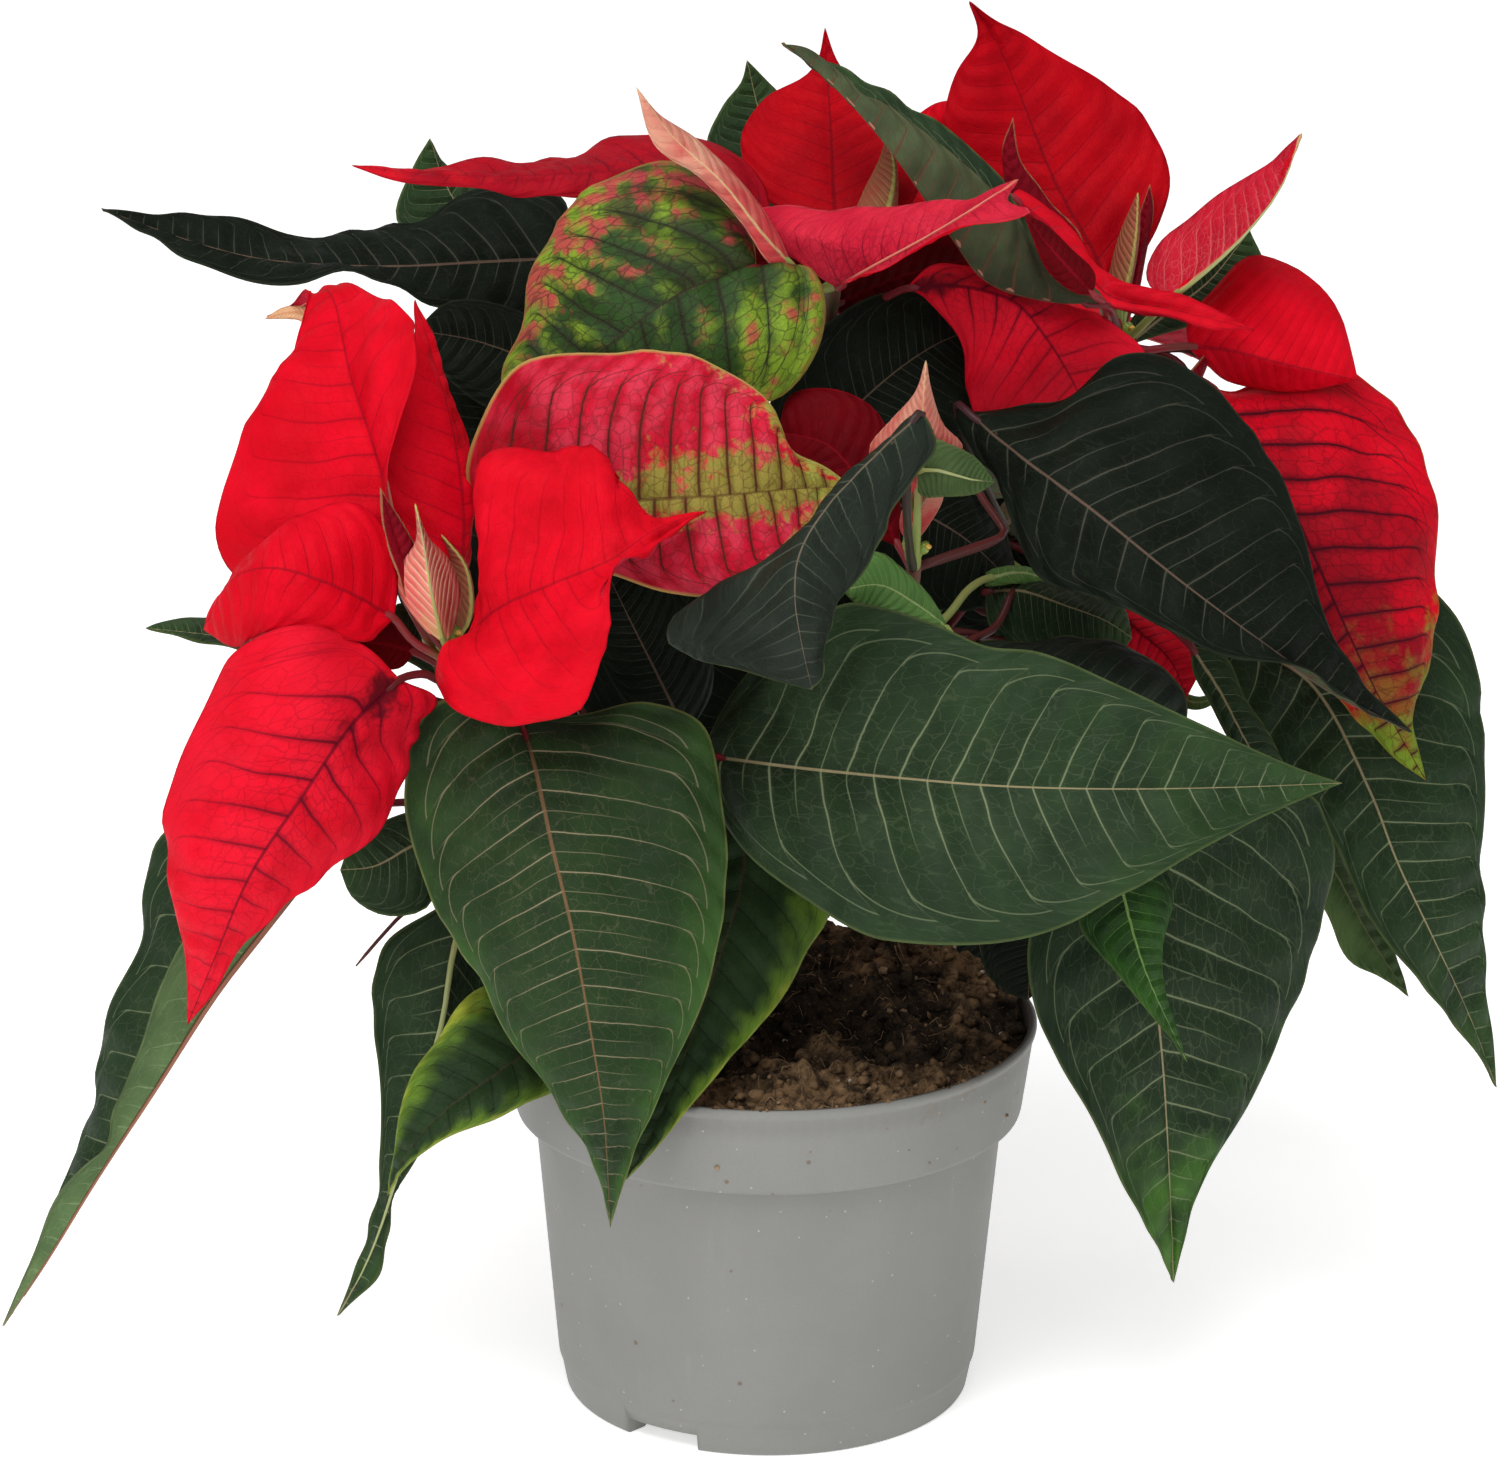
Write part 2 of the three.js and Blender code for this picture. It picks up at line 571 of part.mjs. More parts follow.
   "right": [[1150, 287, -34], [1147, 266, -38], [1166, 238, -40], [1213, 201, -41], [1266, 163, -35]]},
  {"name": "bract_right_round", "skin": "red",
   "stalk": [[1127, 354, -33], [1155, 349, -31]],
   "rib": [[1188, 346, -31], [1232, 351, -26], [1275, 362, -24], [1320, 372, -26], [1358, 380, -30]],
   "left": [[1188, 322, -36], [1214, 288, -43], [1251, 258, -48], [1295, 264, -49], [1330, 300, -43],
     [1350, 348, -35]],
   "right": [[1202, 364, -33], [1235, 384, -33], [1275, 390, -32], [1320, 388, -31]]},
  {"name": "bract_right_hanging", "skin": "red_tipped",
   "stalk": [[1123, 364, -36], [1165, 366, -36]],
   "rib": [[1213, 388, -32], [1271, 468, -15], [1309, 545, -6], [1340, 615, -2], [1378, 695, -3],
     [1426, 781, -9]],
   "left": [[1237, 393, -36], [1290, 371, -43], [1350, 368, -43], [1397, 410, -37], [1425, 460, -26],
     [1440, 550, -20], [1436, 640, -15], [1413, 716, -11]],
   "right": [[1212, 440, -24], [1235, 520, -15], [1275, 600, -9], [1325, 685, -6], [1374, 740, -7]]},
  {"name": "bract_centre_red", "skin": "red_veined",
   "stalk": [[826, 338, -26], [862, 312, -22]],
   "rib": [[904, 289, -18], [960, 286, -10], [1015, 302, -8], [1044, 335, -9], [1072, 380, -14],
     [1100, 440, -24]],
   "left": [[935, 268, -20], [1000, 264, -22], [1060, 300, -20], [1110, 322, -18], [1145, 352, -18],
     [1140, 405, -22]],
   "right": [[928, 295, -15], [946, 320, -12], [962, 350, -11], [967, 392, -12], [985, 430, -15],
     [1035, 455, -20]]},
  {"name": "bract_centre_dark", "skin": "red_dark",
   "stalk": [[914, 575, 30]],
   "rib": [[900, 548, 26], [862, 485, 24], [828, 445, 22], [778, 432, 18]],
   "left": [[862, 530, 28], [815, 500, 26], [782, 470, 22]],
   "right": [[896, 470, 19], [877, 412, 16], [836, 389, 15], [790, 395, 15]]},
  {"name": "bract_centre_bud", "skin": "pink_young",
   "stalk": [[916, 552, 37]],
   "rib": [[918, 495, 40], [920, 450, 45], [923, 405, 46], [926, 360, 42]],
   "left": [[885, 478, 38], [869, 450, 38], [891, 420, 40], [915, 393, 41]],
   "right": [[946, 475, 34], [963, 448, 34], [943, 424, 38], [931, 388, 41]]},
  {"name": "bract_right_small", "skin": "red_veined",
   "stalk": [[1006, 542, -36], [1062, 565, -30]],
   "rib": [[1100, 596, -24], [1140, 632, -19], [1170, 660, -17], [1187, 698, -18]],
   "left": [[1140, 610, -26], [1184, 636, -26], [1200, 662, -22]],
   "right": [[1104, 640, -20], [1140, 672, -17], [1172, 700, -16]]},
  {"name": "leaf_top_under", "skin": "green_under",
   "stalk": [[1118, 340, -34], [1114, 318, -22]],
   "rib": [[1104, 305, -10], [1044, 302, -3], [985, 282, 2], [949, 236, 4], [893, 156, 1],
     [845, 99, -8], [800, 57, -20], [781, 43, -26]],
   "left": [[1100, 290, -14], [1040, 238, -16], [985, 160, -17], [925, 114, -20], [872, 88, -22],
     [812, 56, -26]],
   "right": [[1094, 298, -7], [1053, 278, -3], [1020, 220, -1], [977, 175, 0], [911, 123, -4],
     [855, 85, -13], [808, 50, -23]]},
  {"name": "leaf_right_behind", "skin": "green",
   "stalk": [[1117, 372, -42]],
   "rib": [[1128, 345, -47], [1165, 315, -53], [1210, 280, -58], [1250, 230, -60]],
   "left": [[1130, 322, -50], [1168, 282, -56], [1212, 246, -60]],
   "right": [[1165, 334, -50], [1215, 315, -55], [1264, 272, -60]]},
  {"name": "leaf_right_large", "skin": "green_dark",
   "stalk": [[1005, 530, -30], [975, 465, -14]],
   "rib": [[958, 404, 5], [1017, 454, 21], [1095, 512, 33], [1182, 582, 39], [1260, 640, 38],
     [1340, 695, 31], [1413, 732, 20]],
   "left": [[968, 413, 3], [1030, 404, 5], [1068, 396, 5], [1115, 360, 2], [1165, 355, 2],
     [1210, 384, 6], [1267, 453, 13], [1300, 530, 20], [1322, 610, 24], [1362, 680, 25]],
   "right": [[950, 402, -5], [964, 442, 3], [1003, 492, 16], [1018, 540, 27], [1042, 580, 34],
     [1102, 599, 40], [1160, 628, 44], [1200, 649, 46], [1275, 661, 44], [1345, 698, 34]]},
  {"name": "leaf_centre_dark", "skin": "green_dark",
   "stalk": [[910, 552, 39], [908, 470, 55]],
   "rib": [[922, 411, 56], [870, 460, 69], [825, 509, 79], [799, 555, 87], [795, 600, 95],
     [801, 640, 96], [812, 690, 90]],
   "left": [[931, 425, 56], [935, 448, 57], [912, 480, 62], [886, 526, 69], [868, 562, 76],
     [842, 603, 84], [826, 635, 88], [824, 675, 90]],
   "right": [[898, 424, 53], [850, 473, 62], [792, 548, 77], [737, 589, 74], [675, 617, 67],
     [671, 645, 64], [700, 660, 70], [757, 675, 84]]},
  {"name": "leaf_front_right", "skin": "green",
   "stalk": [[726, 847, 8], [706, 806, 16]],
   "rib": [[700, 755, 34], [800, 768, 52], [900, 778, 64], [1000, 786, 72], [1120, 789, 76],
     [1240, 787, 73], [1343, 783, 62]],
   "left": [[735, 690, 30], [790, 640, 37], [850, 603, 52], [930, 622, 58], [985, 646, 62],
     [1040, 652, 65], [1110, 681, 69], [1205, 726, 71], [1290, 765, 67]],
   "right": [[712, 800, 44], [740, 848, 56], [800, 896, 70], [870, 936, 82], [950, 945, 88],
     [1040, 934, 90], [1130, 892, 88], [1210, 845, 82], [1290, 805, 70]]},
  {"name": "leaf_front_left", "skin": "green_bright",
   "stalk": [[560, 746, 36], [530, 715, 42]],
   "rib": [[520, 722, 52], [533, 760, 62], [553, 850, 73], [572, 930, 79], [592, 1040, 82],
     [604, 1120, 81], [610, 1228, 74]],
   "left": [[590, 712, 50], [650, 702, 50], [700, 722, 52], [722, 800, 60], [727, 885, 66],
     [700, 1008, 74], [650, 1117, 77], [622, 1190, 76]],
   "right": [[470, 700, 52], [430, 705, 48], [408, 760, 51], [410, 840, 58], [440, 915, 67],
     [510, 1035, 73], [570, 1120, 76], [600, 1185, 75]]},
  {"name": "leaf_front_dark", "skin": "green_edged",
   "stalk": [[728, 913, 9], [728, 852, 17]],
   "rib": [[745, 805, 20], [742, 880, 31], [715, 970, 45], [675, 1080, 62], [648, 1140, 68],
     [626, 1180, 68]],
   "left": [[800, 845, 19], [827, 912, 26], [808, 950, 33], [793, 983, 38], [751, 1036, 51],
     [717, 1074, 61], [657, 1148, 69]],
   "right": [[700, 835, 24], [670, 920, 36], [640, 1010, 50], [620, 1100, 63]]},
  {"name": "leaf_left_low", "skin": "green_edged",
   "stalk": [[682, 928, 3], [662, 950, 16]],
   "rib": [[610, 980, 30], [560, 1028, 44], [497, 1073, 56], [440, 1115, 61], [405, 1155, 61],
     [387, 1196, 57]],
   "left": [[620, 1040, 42], [585, 1075, 53], [551, 1093, 59], [500, 1118, 64], [440, 1142, 65],
     [402, 1170, 61]],
   "right": [[560, 975, 34], [473, 992, 46], [437, 1039, 52], [412, 1073, 55], [396, 1130, 57]]},
  {"name": "leaf_left_hanging", "skin": "green_under",
   "stalk": [[679, 942, -1], [560, 890, 14]],
   "rib": [[470, 890, 29], [452, 950, 35], [441, 1020, 41], [415, 1110, 44], [392, 1190, 45],
     [367, 1262, 44], [337, 1316, 40]],
   "left": [[430, 912, 30], [384, 945, 31], [372, 990, 34], [376, 1060, 37], [382, 1150, 41],
     [366, 1232, 42], [350, 1282, 42]],
   "right": [[490, 930, 22], [485, 1000, 26], [460, 1080, 32], [420, 1150, 38], [390, 1215, 42],
     [378, 1275, 42]]},
  {"name": "leaf_left_long", "skin": "green",
   "stalk": [[606, 794, 19], [470, 800, 22]],
   "rib": [[345, 812, 22], [300, 878, 30], [262, 928, 36], [214, 991, 42], [153, 1087, 46],
     [96, 1175, 46], [42, 1265, 42], [2, 1326, 34]],
   "left": [[296, 850, 30], [228, 900, 42], [184, 942, 48], [160, 985, 51], [142, 1049, 53],
     [124, 1090, 52], [103, 1148, 50], [66, 1180, 48], [35, 1250, 43]],
   "right": [[290, 800, 14], [210, 800, 16], [163, 835, 22], [149, 866, 24], [141, 930, 28],
     [110, 1010, 31], [92, 1083, 34], [84, 1130, 35], [52, 1222, 37], [22, 1284, 34]]},
  {"name": "leaf_left_under", "skin": "green_edged",
   "stalk": [[584, 808, 17], [490, 822, 26]],
   "rib": [[440, 830, 30], [408, 848, 34], [375, 866, 35], [340, 870, 33]],
   "left": [[442, 880, 30], [425, 908, 33], [385, 915, 35], [352, 897, 34]],
   "right": [[420, 812, 27], [380, 824, 30], [350, 846, 32]]},
  {"name": "leaf_left_edge", "skin": "green_under",
   "stalk": [[486, 708, 38], [400, 690, 30]],
   "rib": [[330, 655, 22], [260, 642, 20], [200, 634, 18], [145, 628, 16]],
   "left": [[300, 664, 26], [240, 650, 25], [190, 641, 21]],
   "right": [[300, 622, 10], [225, 618, 8], [165, 621, 12]]},
  {"name": "leaf_centre_left", "skin": "green_dark",
   "stalk": [[744, 800, -2], [716, 770, 10]],
   "rib": [[688, 738, 24], [660, 680, 30], [630, 620, 33], [604, 566, 30]],
   "left": [[648, 722, 28], [606, 672, 32], [590, 615, 32]],
   "right": [[712, 690, 20], [702, 625, 22], [660, 574, 24]]},
  {"name": "leaf_centre_pale", "skin": "green_pale",
   "stalk": [[905, 640, 32], [945, 650, 36]],
   "rib": [[950, 631, 40], [915, 604, 44], [880, 585, 47], [842, 590, 46]],
   "left": [[925, 622, 46], [886, 612, 48], [856, 604, 47]],
   "right": [[934, 604, 40], [905, 572, 42], [877, 551, 43], [852, 566, 43]]},
  {"name": "leaf_centre_olive", "skin": "green",
   "stalk": [[942, 628, -28], [966, 606, -18]],
   "rib": [[985, 592, -8], [1022, 591, -3], [1064, 605, 0], [1104, 620, 0], [1132, 638, -4]],
   "left": [[1005, 574, -10], [1040, 572, -12], [1090, 586, -12], [1124, 606, -9]],
   "right": [[992, 630, -3], [1030, 655, 1], [1080, 662, 2], [1120, 652, -1]]},
  {"name": "leaf_centre_low", "skin": "green_dark",
   "stalk": [[852, 694, -17], [900, 670, 0]],
   "rib": [[950, 664, 8], [1010, 664, 16], [1070, 676, 21], [1130, 696, 22], [1186, 730, 16]],
   "left": [[985, 643, 6], [1040, 638, 8], [1100, 641, 10], [1152, 657, 12], [1185, 694, 13]],
   "right": [[985, 700, 14], [1040, 728, 24], [1100, 745, 28], [1155, 748, 24]]},
  {"name": "leaf_right_olive", "skin": "green",
   "stalk": [[1040, 478, -33], [1120, 580, -20]],
   "rib": [[1190, 645, -14], [1219, 690, -10], [1245, 740, -7], [1272, 785, -7], [1302, 830, -10]],
   "left": [[1226, 656, -15], [1245, 698, -12], [1272, 740, -11], [1296, 786, -11]],
   "right": [[1194, 672, -11], [1210, 702, -8], [1227, 738, -5], [1256, 784, -4], [1280, 816, -7]]},
  {"name": "leaf_right_low", "skin": "green",
   "stalk": [[905, 655, -22], [1050, 700, 2], [1140, 750, 18]],
   "rib": [[1172, 800, 31], [1158, 890, 41], [1157, 990, 48], [1164, 1076, 49], [1170, 1180, 46],
     [1174, 1283, 40]],
   "left": [[1258, 790, 24], [1318, 800, 22], [1333, 866, 24], [1310, 966, 30], [1256, 1092, 39],
     [1203, 1180, 43], [1182, 1250, 42]],
   "right": [[1110, 825, 34], [1050, 880, 40], [1028, 945, 45], [1037, 1015, 50], [1090, 1118, 54],
     [1138, 1208, 52], [1162, 1258, 45]]},
  {"name": "leaf_right_young", "skin": "green_bright",
   "stalk": [[890, 670, -21], [1000, 735, 12], [1080, 790, 40]],
   "rib": [[1115, 850, 53], [1126, 905, 60], [1145, 970, 63], [1187, 1062, 60]],
   "left": [[1150, 852, 48], [1173, 885, 50], [1163, 940, 54], [1172, 1010, 57]],
   "right": [[1088, 880, 56], [1079, 925, 61], [1118, 974, 66], [1165, 1032, 63]]},
  {"name": "leaf_right_far", "skin": "green",
   "stalk": [[1014, 520, -39], [1130, 572, -39]],
   "rib": [[1240, 640, -31], [1311, 684, -25], [1369, 789, -18], [1397, 861, -13], [1431, 933, -10],
     [1469, 1014, -15], [1497, 1088, -20]],
   "left": [[1330, 600, -34], [1400, 568, -38], [1445, 604, -38], [1474, 655, -35], [1486, 756, -30],
     [1482, 870, -25], [1486, 980, -21], [1492, 1040, -20]],
   "right": [[1220, 690, -31], [1244, 740, -27], [1290, 790, -20], [1330, 835, -15], [1369, 918, -9],
     [1426, 990, -8], [1470, 1045, -14]]},
  {"name": "leaf_right_tip", "skin": "green",
   "stalk": [[900, 668, -30], [1080, 700, -34], [1200, 750, -32]],
   "rib": [[1280, 800, -28], [1330, 864, -22], [1367, 932, -20], [1409, 997, -22]],
   "left": [[1322, 812, -32], [1356, 880, -28], [1390, 938, -25]],
   "right": [[1285, 855, -23], [1324, 910, -18], [1351, 962, -17], [1382, 977, -19]]},
  {"name": "leaf_back_left", "skin": "green_dark",
   "stalk": [[646, 434, -46], [606, 335, -50]],
   "rib": [[560, 258, -46], [480, 262, -40], [400, 266, -35], [320, 264, -32], [258, 258, -33],
     [201, 244, -36], [143, 224, -41], [101, 208, -46]],
   "left": [[520, 325, -32], [440, 306, -27], [363, 276, -24], [300, 287, -22], [249, 282, -25],
     [172, 251, -31], [124, 222, -39]],
   "right": [[564, 201, -58], [497, 186, -60], [430, 215, -56], [380, 227, -52], [330, 236, -48],
     [290, 230, -46], [240, 218, -44], [172, 215, -44]]},
  {"name": "leaf_back_inner", "skin": "green_dark",
   "stalk": [[800, 520, -28], [730, 470, -30]],
   "rib": [[640, 430, -28], [560, 375, -22], [480, 342, -18], [415, 330, -16]],
   "left": [[600, 460, -22], [520, 425, -14], [450, 380, -12]],
   "right": [[600, 370, -32], [520, 310, -28], [450, 302, -22]]},
  {"name": "leaf_back_top", "skin": "green",
   "stalk": [[822, 303, -27]],
   "rib": [[795, 232, -50], [772, 160, -66], [756, 100, -70], [747, 60, -68]],
   "left": [[752, 212, -54], [706, 150, -64], [722, 106, -68], [741, 83, -69]],
   "right": [[832, 190, -62], [815, 130, -70], [775, 88, -72]]},
  {"name": "leaf_back_upright", "skin": "green",
   "stalk": [[628, 370, -58], [596, 330, -70]],
   "rib": [[545, 300, -72], [482, 240, -74], [446, 185, -74], [430, 138, -72]],
   "left": [[470, 298, -66], [420, 250, -68], [395, 216, -70], [414, 165, -72]],
   "right": [[560, 250, -80], [500, 200, -80], [446, 163, -76]]},
  {"name": "leaf_top_inner", "skin": "green_dark",
   "stalk": [[826, 372, -26]],
   "rib": [[842, 352, -32], [880, 355, -30], [930, 375, -30], [984, 412, -34]],
   "left": [[860, 312, -42], [915, 305, -44], [968, 345, -42]],
   "right": [[846, 392, -26], [895, 425, -22], [950, 436, -27]]},
];

const FAR_LEAVES = [
  {"name": "far_bract_1", "skin": "red", "root": [618, 342, -58], "turn": -24,
   "stalk": 16, "length": 78, "width": 40, "rise": 3, "droop": 18},
  {"name": "far_bract_2", "skin": "red", "root": [627, 328, -62], "turn": 7,
   "stalk": 16, "length": 84, "width": 44, "rise": 18, "droop": 26},
  {"name": "far_bract_3", "skin": "red", "root": [634, 338, -61], "turn": 42,
   "stalk": 14, "length": 74, "width": 40, "rise": 6, "droop": 16},
  {"name": "far_bract_4", "skin": "red", "root": [936, 386, -71], "turn": -18,
   "stalk": 15, "length": 78, "width": 42, "rise": 7, "droop": 24},
  {"name": "far_bract_5", "skin": "red", "root": [950, 386, -71], "turn": 44,
   "stalk": 16, "length": 82, "width": 44, "rise": 8, "droop": 26},
  {"name": "far_leaf_1", "skin": "green", "root": [646, 480, -50], "turn": -62,
   "stalk": 34, "length": 78, "width": 54, "rise": 6, "droop": 60},
  {"name": "far_leaf_2", "skin": "green", "root": [660, 560, -45], "turn": -12,
   "stalk": 36, "length": 112, "width": 62, "rise": 4, "droop": 84},
  {"name": "far_leaf_3", "skin": "green", "root": [905, 500, -65], "turn": 14,
   "stalk": 30, "length": 104, "width": 58, "rise": 4, "droop": 78},
  {"name": "far_leaf_4", "skin": "green", "root": [900, 542, -61], "turn": 66,
   "stalk": 34, "length": 106, "width": 58, "rise": 2, "droop": 70},
  {"name": "far_leaf_5", "skin": "green", "root": [745, 800, -20], "turn": 24,
   "stalk": 44, "length": 96, "width": 54, "rise": 8, "droop": 62},
];

// ---------------------------------------------------------------- the whole plant

const plant = new THREE.Group();
plant.add(pot(), soil(), stem());
plant.add(...LEAVES.map(drawnLeaf));
plant.add(...FAR_LEAVES.map(farLeaf));

export default plant;
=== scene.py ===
"""The poinsettia's visual model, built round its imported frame.

Lengths are written in millimetres and turned into metres where a mesh is made. A place on the
plant is written [across, down, front]: across and down are steps on a drawing in perspective, seen
by the camera, and front is how far the place stands in front of the upright plane through the
pot's axis.
"""

import math
import random

import bpy
import numpy as np
from mathutils import Matrix, Vector, noise


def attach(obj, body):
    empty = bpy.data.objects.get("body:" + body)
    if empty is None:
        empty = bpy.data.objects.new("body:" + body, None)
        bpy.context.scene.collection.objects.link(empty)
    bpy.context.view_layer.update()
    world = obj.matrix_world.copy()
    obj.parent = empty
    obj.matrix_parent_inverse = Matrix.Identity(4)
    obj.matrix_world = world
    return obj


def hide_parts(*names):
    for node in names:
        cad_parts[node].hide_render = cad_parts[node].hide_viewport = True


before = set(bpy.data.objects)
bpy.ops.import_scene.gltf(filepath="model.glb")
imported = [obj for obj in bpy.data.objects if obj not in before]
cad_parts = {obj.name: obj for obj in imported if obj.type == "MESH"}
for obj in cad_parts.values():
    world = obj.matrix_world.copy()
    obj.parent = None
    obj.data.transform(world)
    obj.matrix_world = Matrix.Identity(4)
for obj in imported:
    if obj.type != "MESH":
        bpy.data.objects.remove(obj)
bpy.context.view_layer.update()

MM = 0.001

# The camera, which is also the eye that the places are seen by. It looks by angles in radians, and
# the drawing's focus, width and middle are in the drawing's own steps.
EYE = np.array([0.0, -1505.0, 662.0])
LOOK_DOWN = 0.3174
LOOK_LEFT = 0.0034
LOOK_ROLL = 0.0065
DRAWING_FOCUS = 6620.0
DRAWING_WIDTH = 1500.0
DRAWING_MIDDLE = (750.0, 729.5)

# How far the floor reaches from the middle, in metres.
FLOOR_REACH = 3.0

# The pot.
POT_HEIGHT = 95.0
RIM_RADIUS = 65.0
FOOT_RADIUS = 49.4
FOOT_LINE_RADIUS = 51.2
FOOT_LINE_HEIGHT = 8.5
NECK_RADIUS = 57.0
BAND_RADIUS = 61.8
BAND_BOTTOM = 72.3
WALL = 1.6
FLOOR_TOP = 5.0
RECESS_HEIGHT = 3.0
PAD_RADIUS = 9.0
RING_INNER_RADIUS = 43.0
NOTCH_HEIGHT = 4.4
NOTCH_HALF_ANGLE = 11.5
NOTCH_ANGLES = (-121, 59)
NOTCH_EDGE = 0.12
DRAIN_RADIUS = 4.0
DRAIN_CIRCLE = 31.0
DRAIN_COUNT = 6
FIRST_DRAIN_ANGLE = 15
POT_SIDES = 120

# The soil and the trunk's foot. Each heap is [its x, its y, its spread along x and y, its height].
SOIL_EDGE_RADIUS = 61.6
SOIL_EDGE_HEIGHT = 89.7
SOIL_BOTTOM = 5.4
SOIL_MOUND = 3.0
SOIL_BANK = 6.0
SOIL_HEAPS = [(50, 8, 11, 13, 5.0), (19, 9, 10, 8, 4.0)]
SOIL_SIDES = 170
SOIL_RINGS = 64
TRUNK_FOOT = (-14.2, 1.5)
TRUNK_START = 94.4
TRUNK_CLEARANCE = 8.0
NODE_SPACING = 9.0
NODE_SWELLING = 0.13

# How many loose things lie on the soil and on the pot's rim, and how finely each crumb is made.
CRUMB_COUNT = 1000
PERLITE_COUNT = 12
FIBRE_COUNT = 300
RIM_CRUMB_COUNT = 60
LUMP_RINGS = 4
LUMP_SIDES = 7

# How many points a curve has from one of its places to the next.
CURVE_STEPS = 24

# Leaves. LEAF_CELL is the step of a blade's grid, whose rows and half's columns lie within two
# limits. LEAF_CROWN is how far each half bulges, and MARGIN_THINNING how much thinner it is at its
# margin, as shares. A petiole runs on by PETIOLE_GRIP of the blade, and then as a ridge that ends at
# RIDGE_END of the petiole's radius.
LEAF_THICKNESS = 0.42
LEAF_CELL = 1.5
LEAF_ROWS = (20, 110)
LEAF_HALF_COLUMNS = (7, 30)
LEAF_CROWN = 0.05
MARGIN_THINNING = 0.45
PETIOLE_RADIUS = 1.15
PETIOLE_SIDES = 10
PETIOLE_SWELLING = 0.45
PETIOLE_SWELLING_REACH = 2.5
PETIOLE_STEP = 2.0
PETIOLE_RINGS = (6, 26)
PETIOLE_GRIP = 0.04
RIDGE_END = 0.12

# A blade's relief. Between the midrib (0) and the margin (1), the quilted surface flattens from
# QUILT_END on, and from VEIN_BEND_START on the side veins bend towards the tip, by VEIN_BEND of the
# way to the next. VEIN_CROWDING is how much closer they lie at the tip than at the base. Where they
# lie closer than FULL_RELIEF_SPACING, the relief is lower. GROOVE is the valley over the midrib.
QUILT_END = 0.72
VEIN_BEND_START = 0.7
VEIN_BEND = 0.9
VEIN_CROWDING = 0.18
FULL_RELIEF_SPACING = 7.0
GROOVE_DEPTH = 0.35
GROOVE_WIDTH = 0.9

# The relief sets in over BASE_FADE of the way from the base and the midrib, and fades from TIP_FADE on.
BASE_FADE = 0.12
TIP_FADE = 0.8


# ---------------------------------------------------------------- places and curves

forward = np.array([
    -math.sin(LOOK_LEFT) * math.cos(LOOK_DOWN),
    math.cos(LOOK_LEFT) * math.cos(LOOK_DOWN),
    -math.sin(LOOK_DOWN),
])
level_right = np.array([math.cos(LOOK_LEFT), math.sin(LOOK_LEFT), 0.0])
level_up = np.cross(level_right, forward)
view_right = math.cos(LOOK_ROLL) * level_right + math.sin(LOOK_ROLL) * level_up
view_up = np.cross(view_right, forward)


def place(spot):
    """The point in millimetres of one [across, down, front]."""
    across, down, front = spot
    ray = (forward + view_right * (across - DRAWING_MIDDLE[0]) / DRAWING_FOCUS
           + view_up * (DRAWING_MIDDLE[1] - down) / DRAWING_FOCUS)
    reach = (-front - EYE[1]) / ray[1]
    return EYE + ray * reach


def unit(vectors):
    """Vectors scaled to length 1, along the last axis."""
    lengths = np.linalg.norm(vectors, axis=-1, keepdims=True)
    return vectors / np.maximum(lengths, 1e-9)


def smoothstep(low, high, value):
    """0 below low, 1 above high, and smooth between them."""
    share = np.clip((value - low) / (high - low), 0.0, 1.0)
    return share * share * (3 - 2 * share)


def curve_through(points):
    """A centripetal Catmull-Rom curve through the points, as a dense line."""
    points = np.asarray(points, float)
    ends = np.vstack([2 * points[0] - points[1], points, 2 * points[-1] - points[-2]])
    line = []
    for a, b, c, d in zip(ends, ends[1:], ends[2:], ends[3:]):
        t1 = np.linalg.norm(b - a) ** 0.5
        t2 = t1 + np.linalg.norm(c - b) ** 0.5
        t3 = t2 + np.linalg.norm(d - c) ** 0.5
        t = np.linspace(t1, t2, CURVE_STEPS, endpoint=False)[:, None]
        ab = ((t1 - t) * a + t * b) / t1
        bc = ((t2 - t) * b + (t - t1) * c) / (t2 - t1)
        cd = ((t3 - t) * c + (t - t2) * d) / (t3 - t2)
        abc = ((t2 - t) * ab + t * bc) / t2
        bcd = ((t3 - t) * bc + (t - t1) * cd) / (t3 - t1)
        line.append(((t2 - t) * abc + (t - t1) * bcd) / (t2 - t1))
    line.append(points[-1:])
    return np.vstack(line)


def reach_along(line):
    """How far along the line each of its points is."""
    steps = np.linalg.norm(np.diff(line, axis=0), axis=1)
    return np.concatenate([[0.0], np.cumsum(steps)])


def points_at(line, shares):
    """The points at these shares of the line's length."""
    reach = reach_along(line)
    return np.stack([np.interp(shares * reach[-1], reach, line[:, k]) for k in range(3)], axis=1)


# ---------------------------------------------------------------- meshes

def linked(name, data):
    """A new object with this data, in the scene."""
    made = bpy.data.objects.new(name, data)
    bpy.context.scene.collection.objects.link(made)
    return made


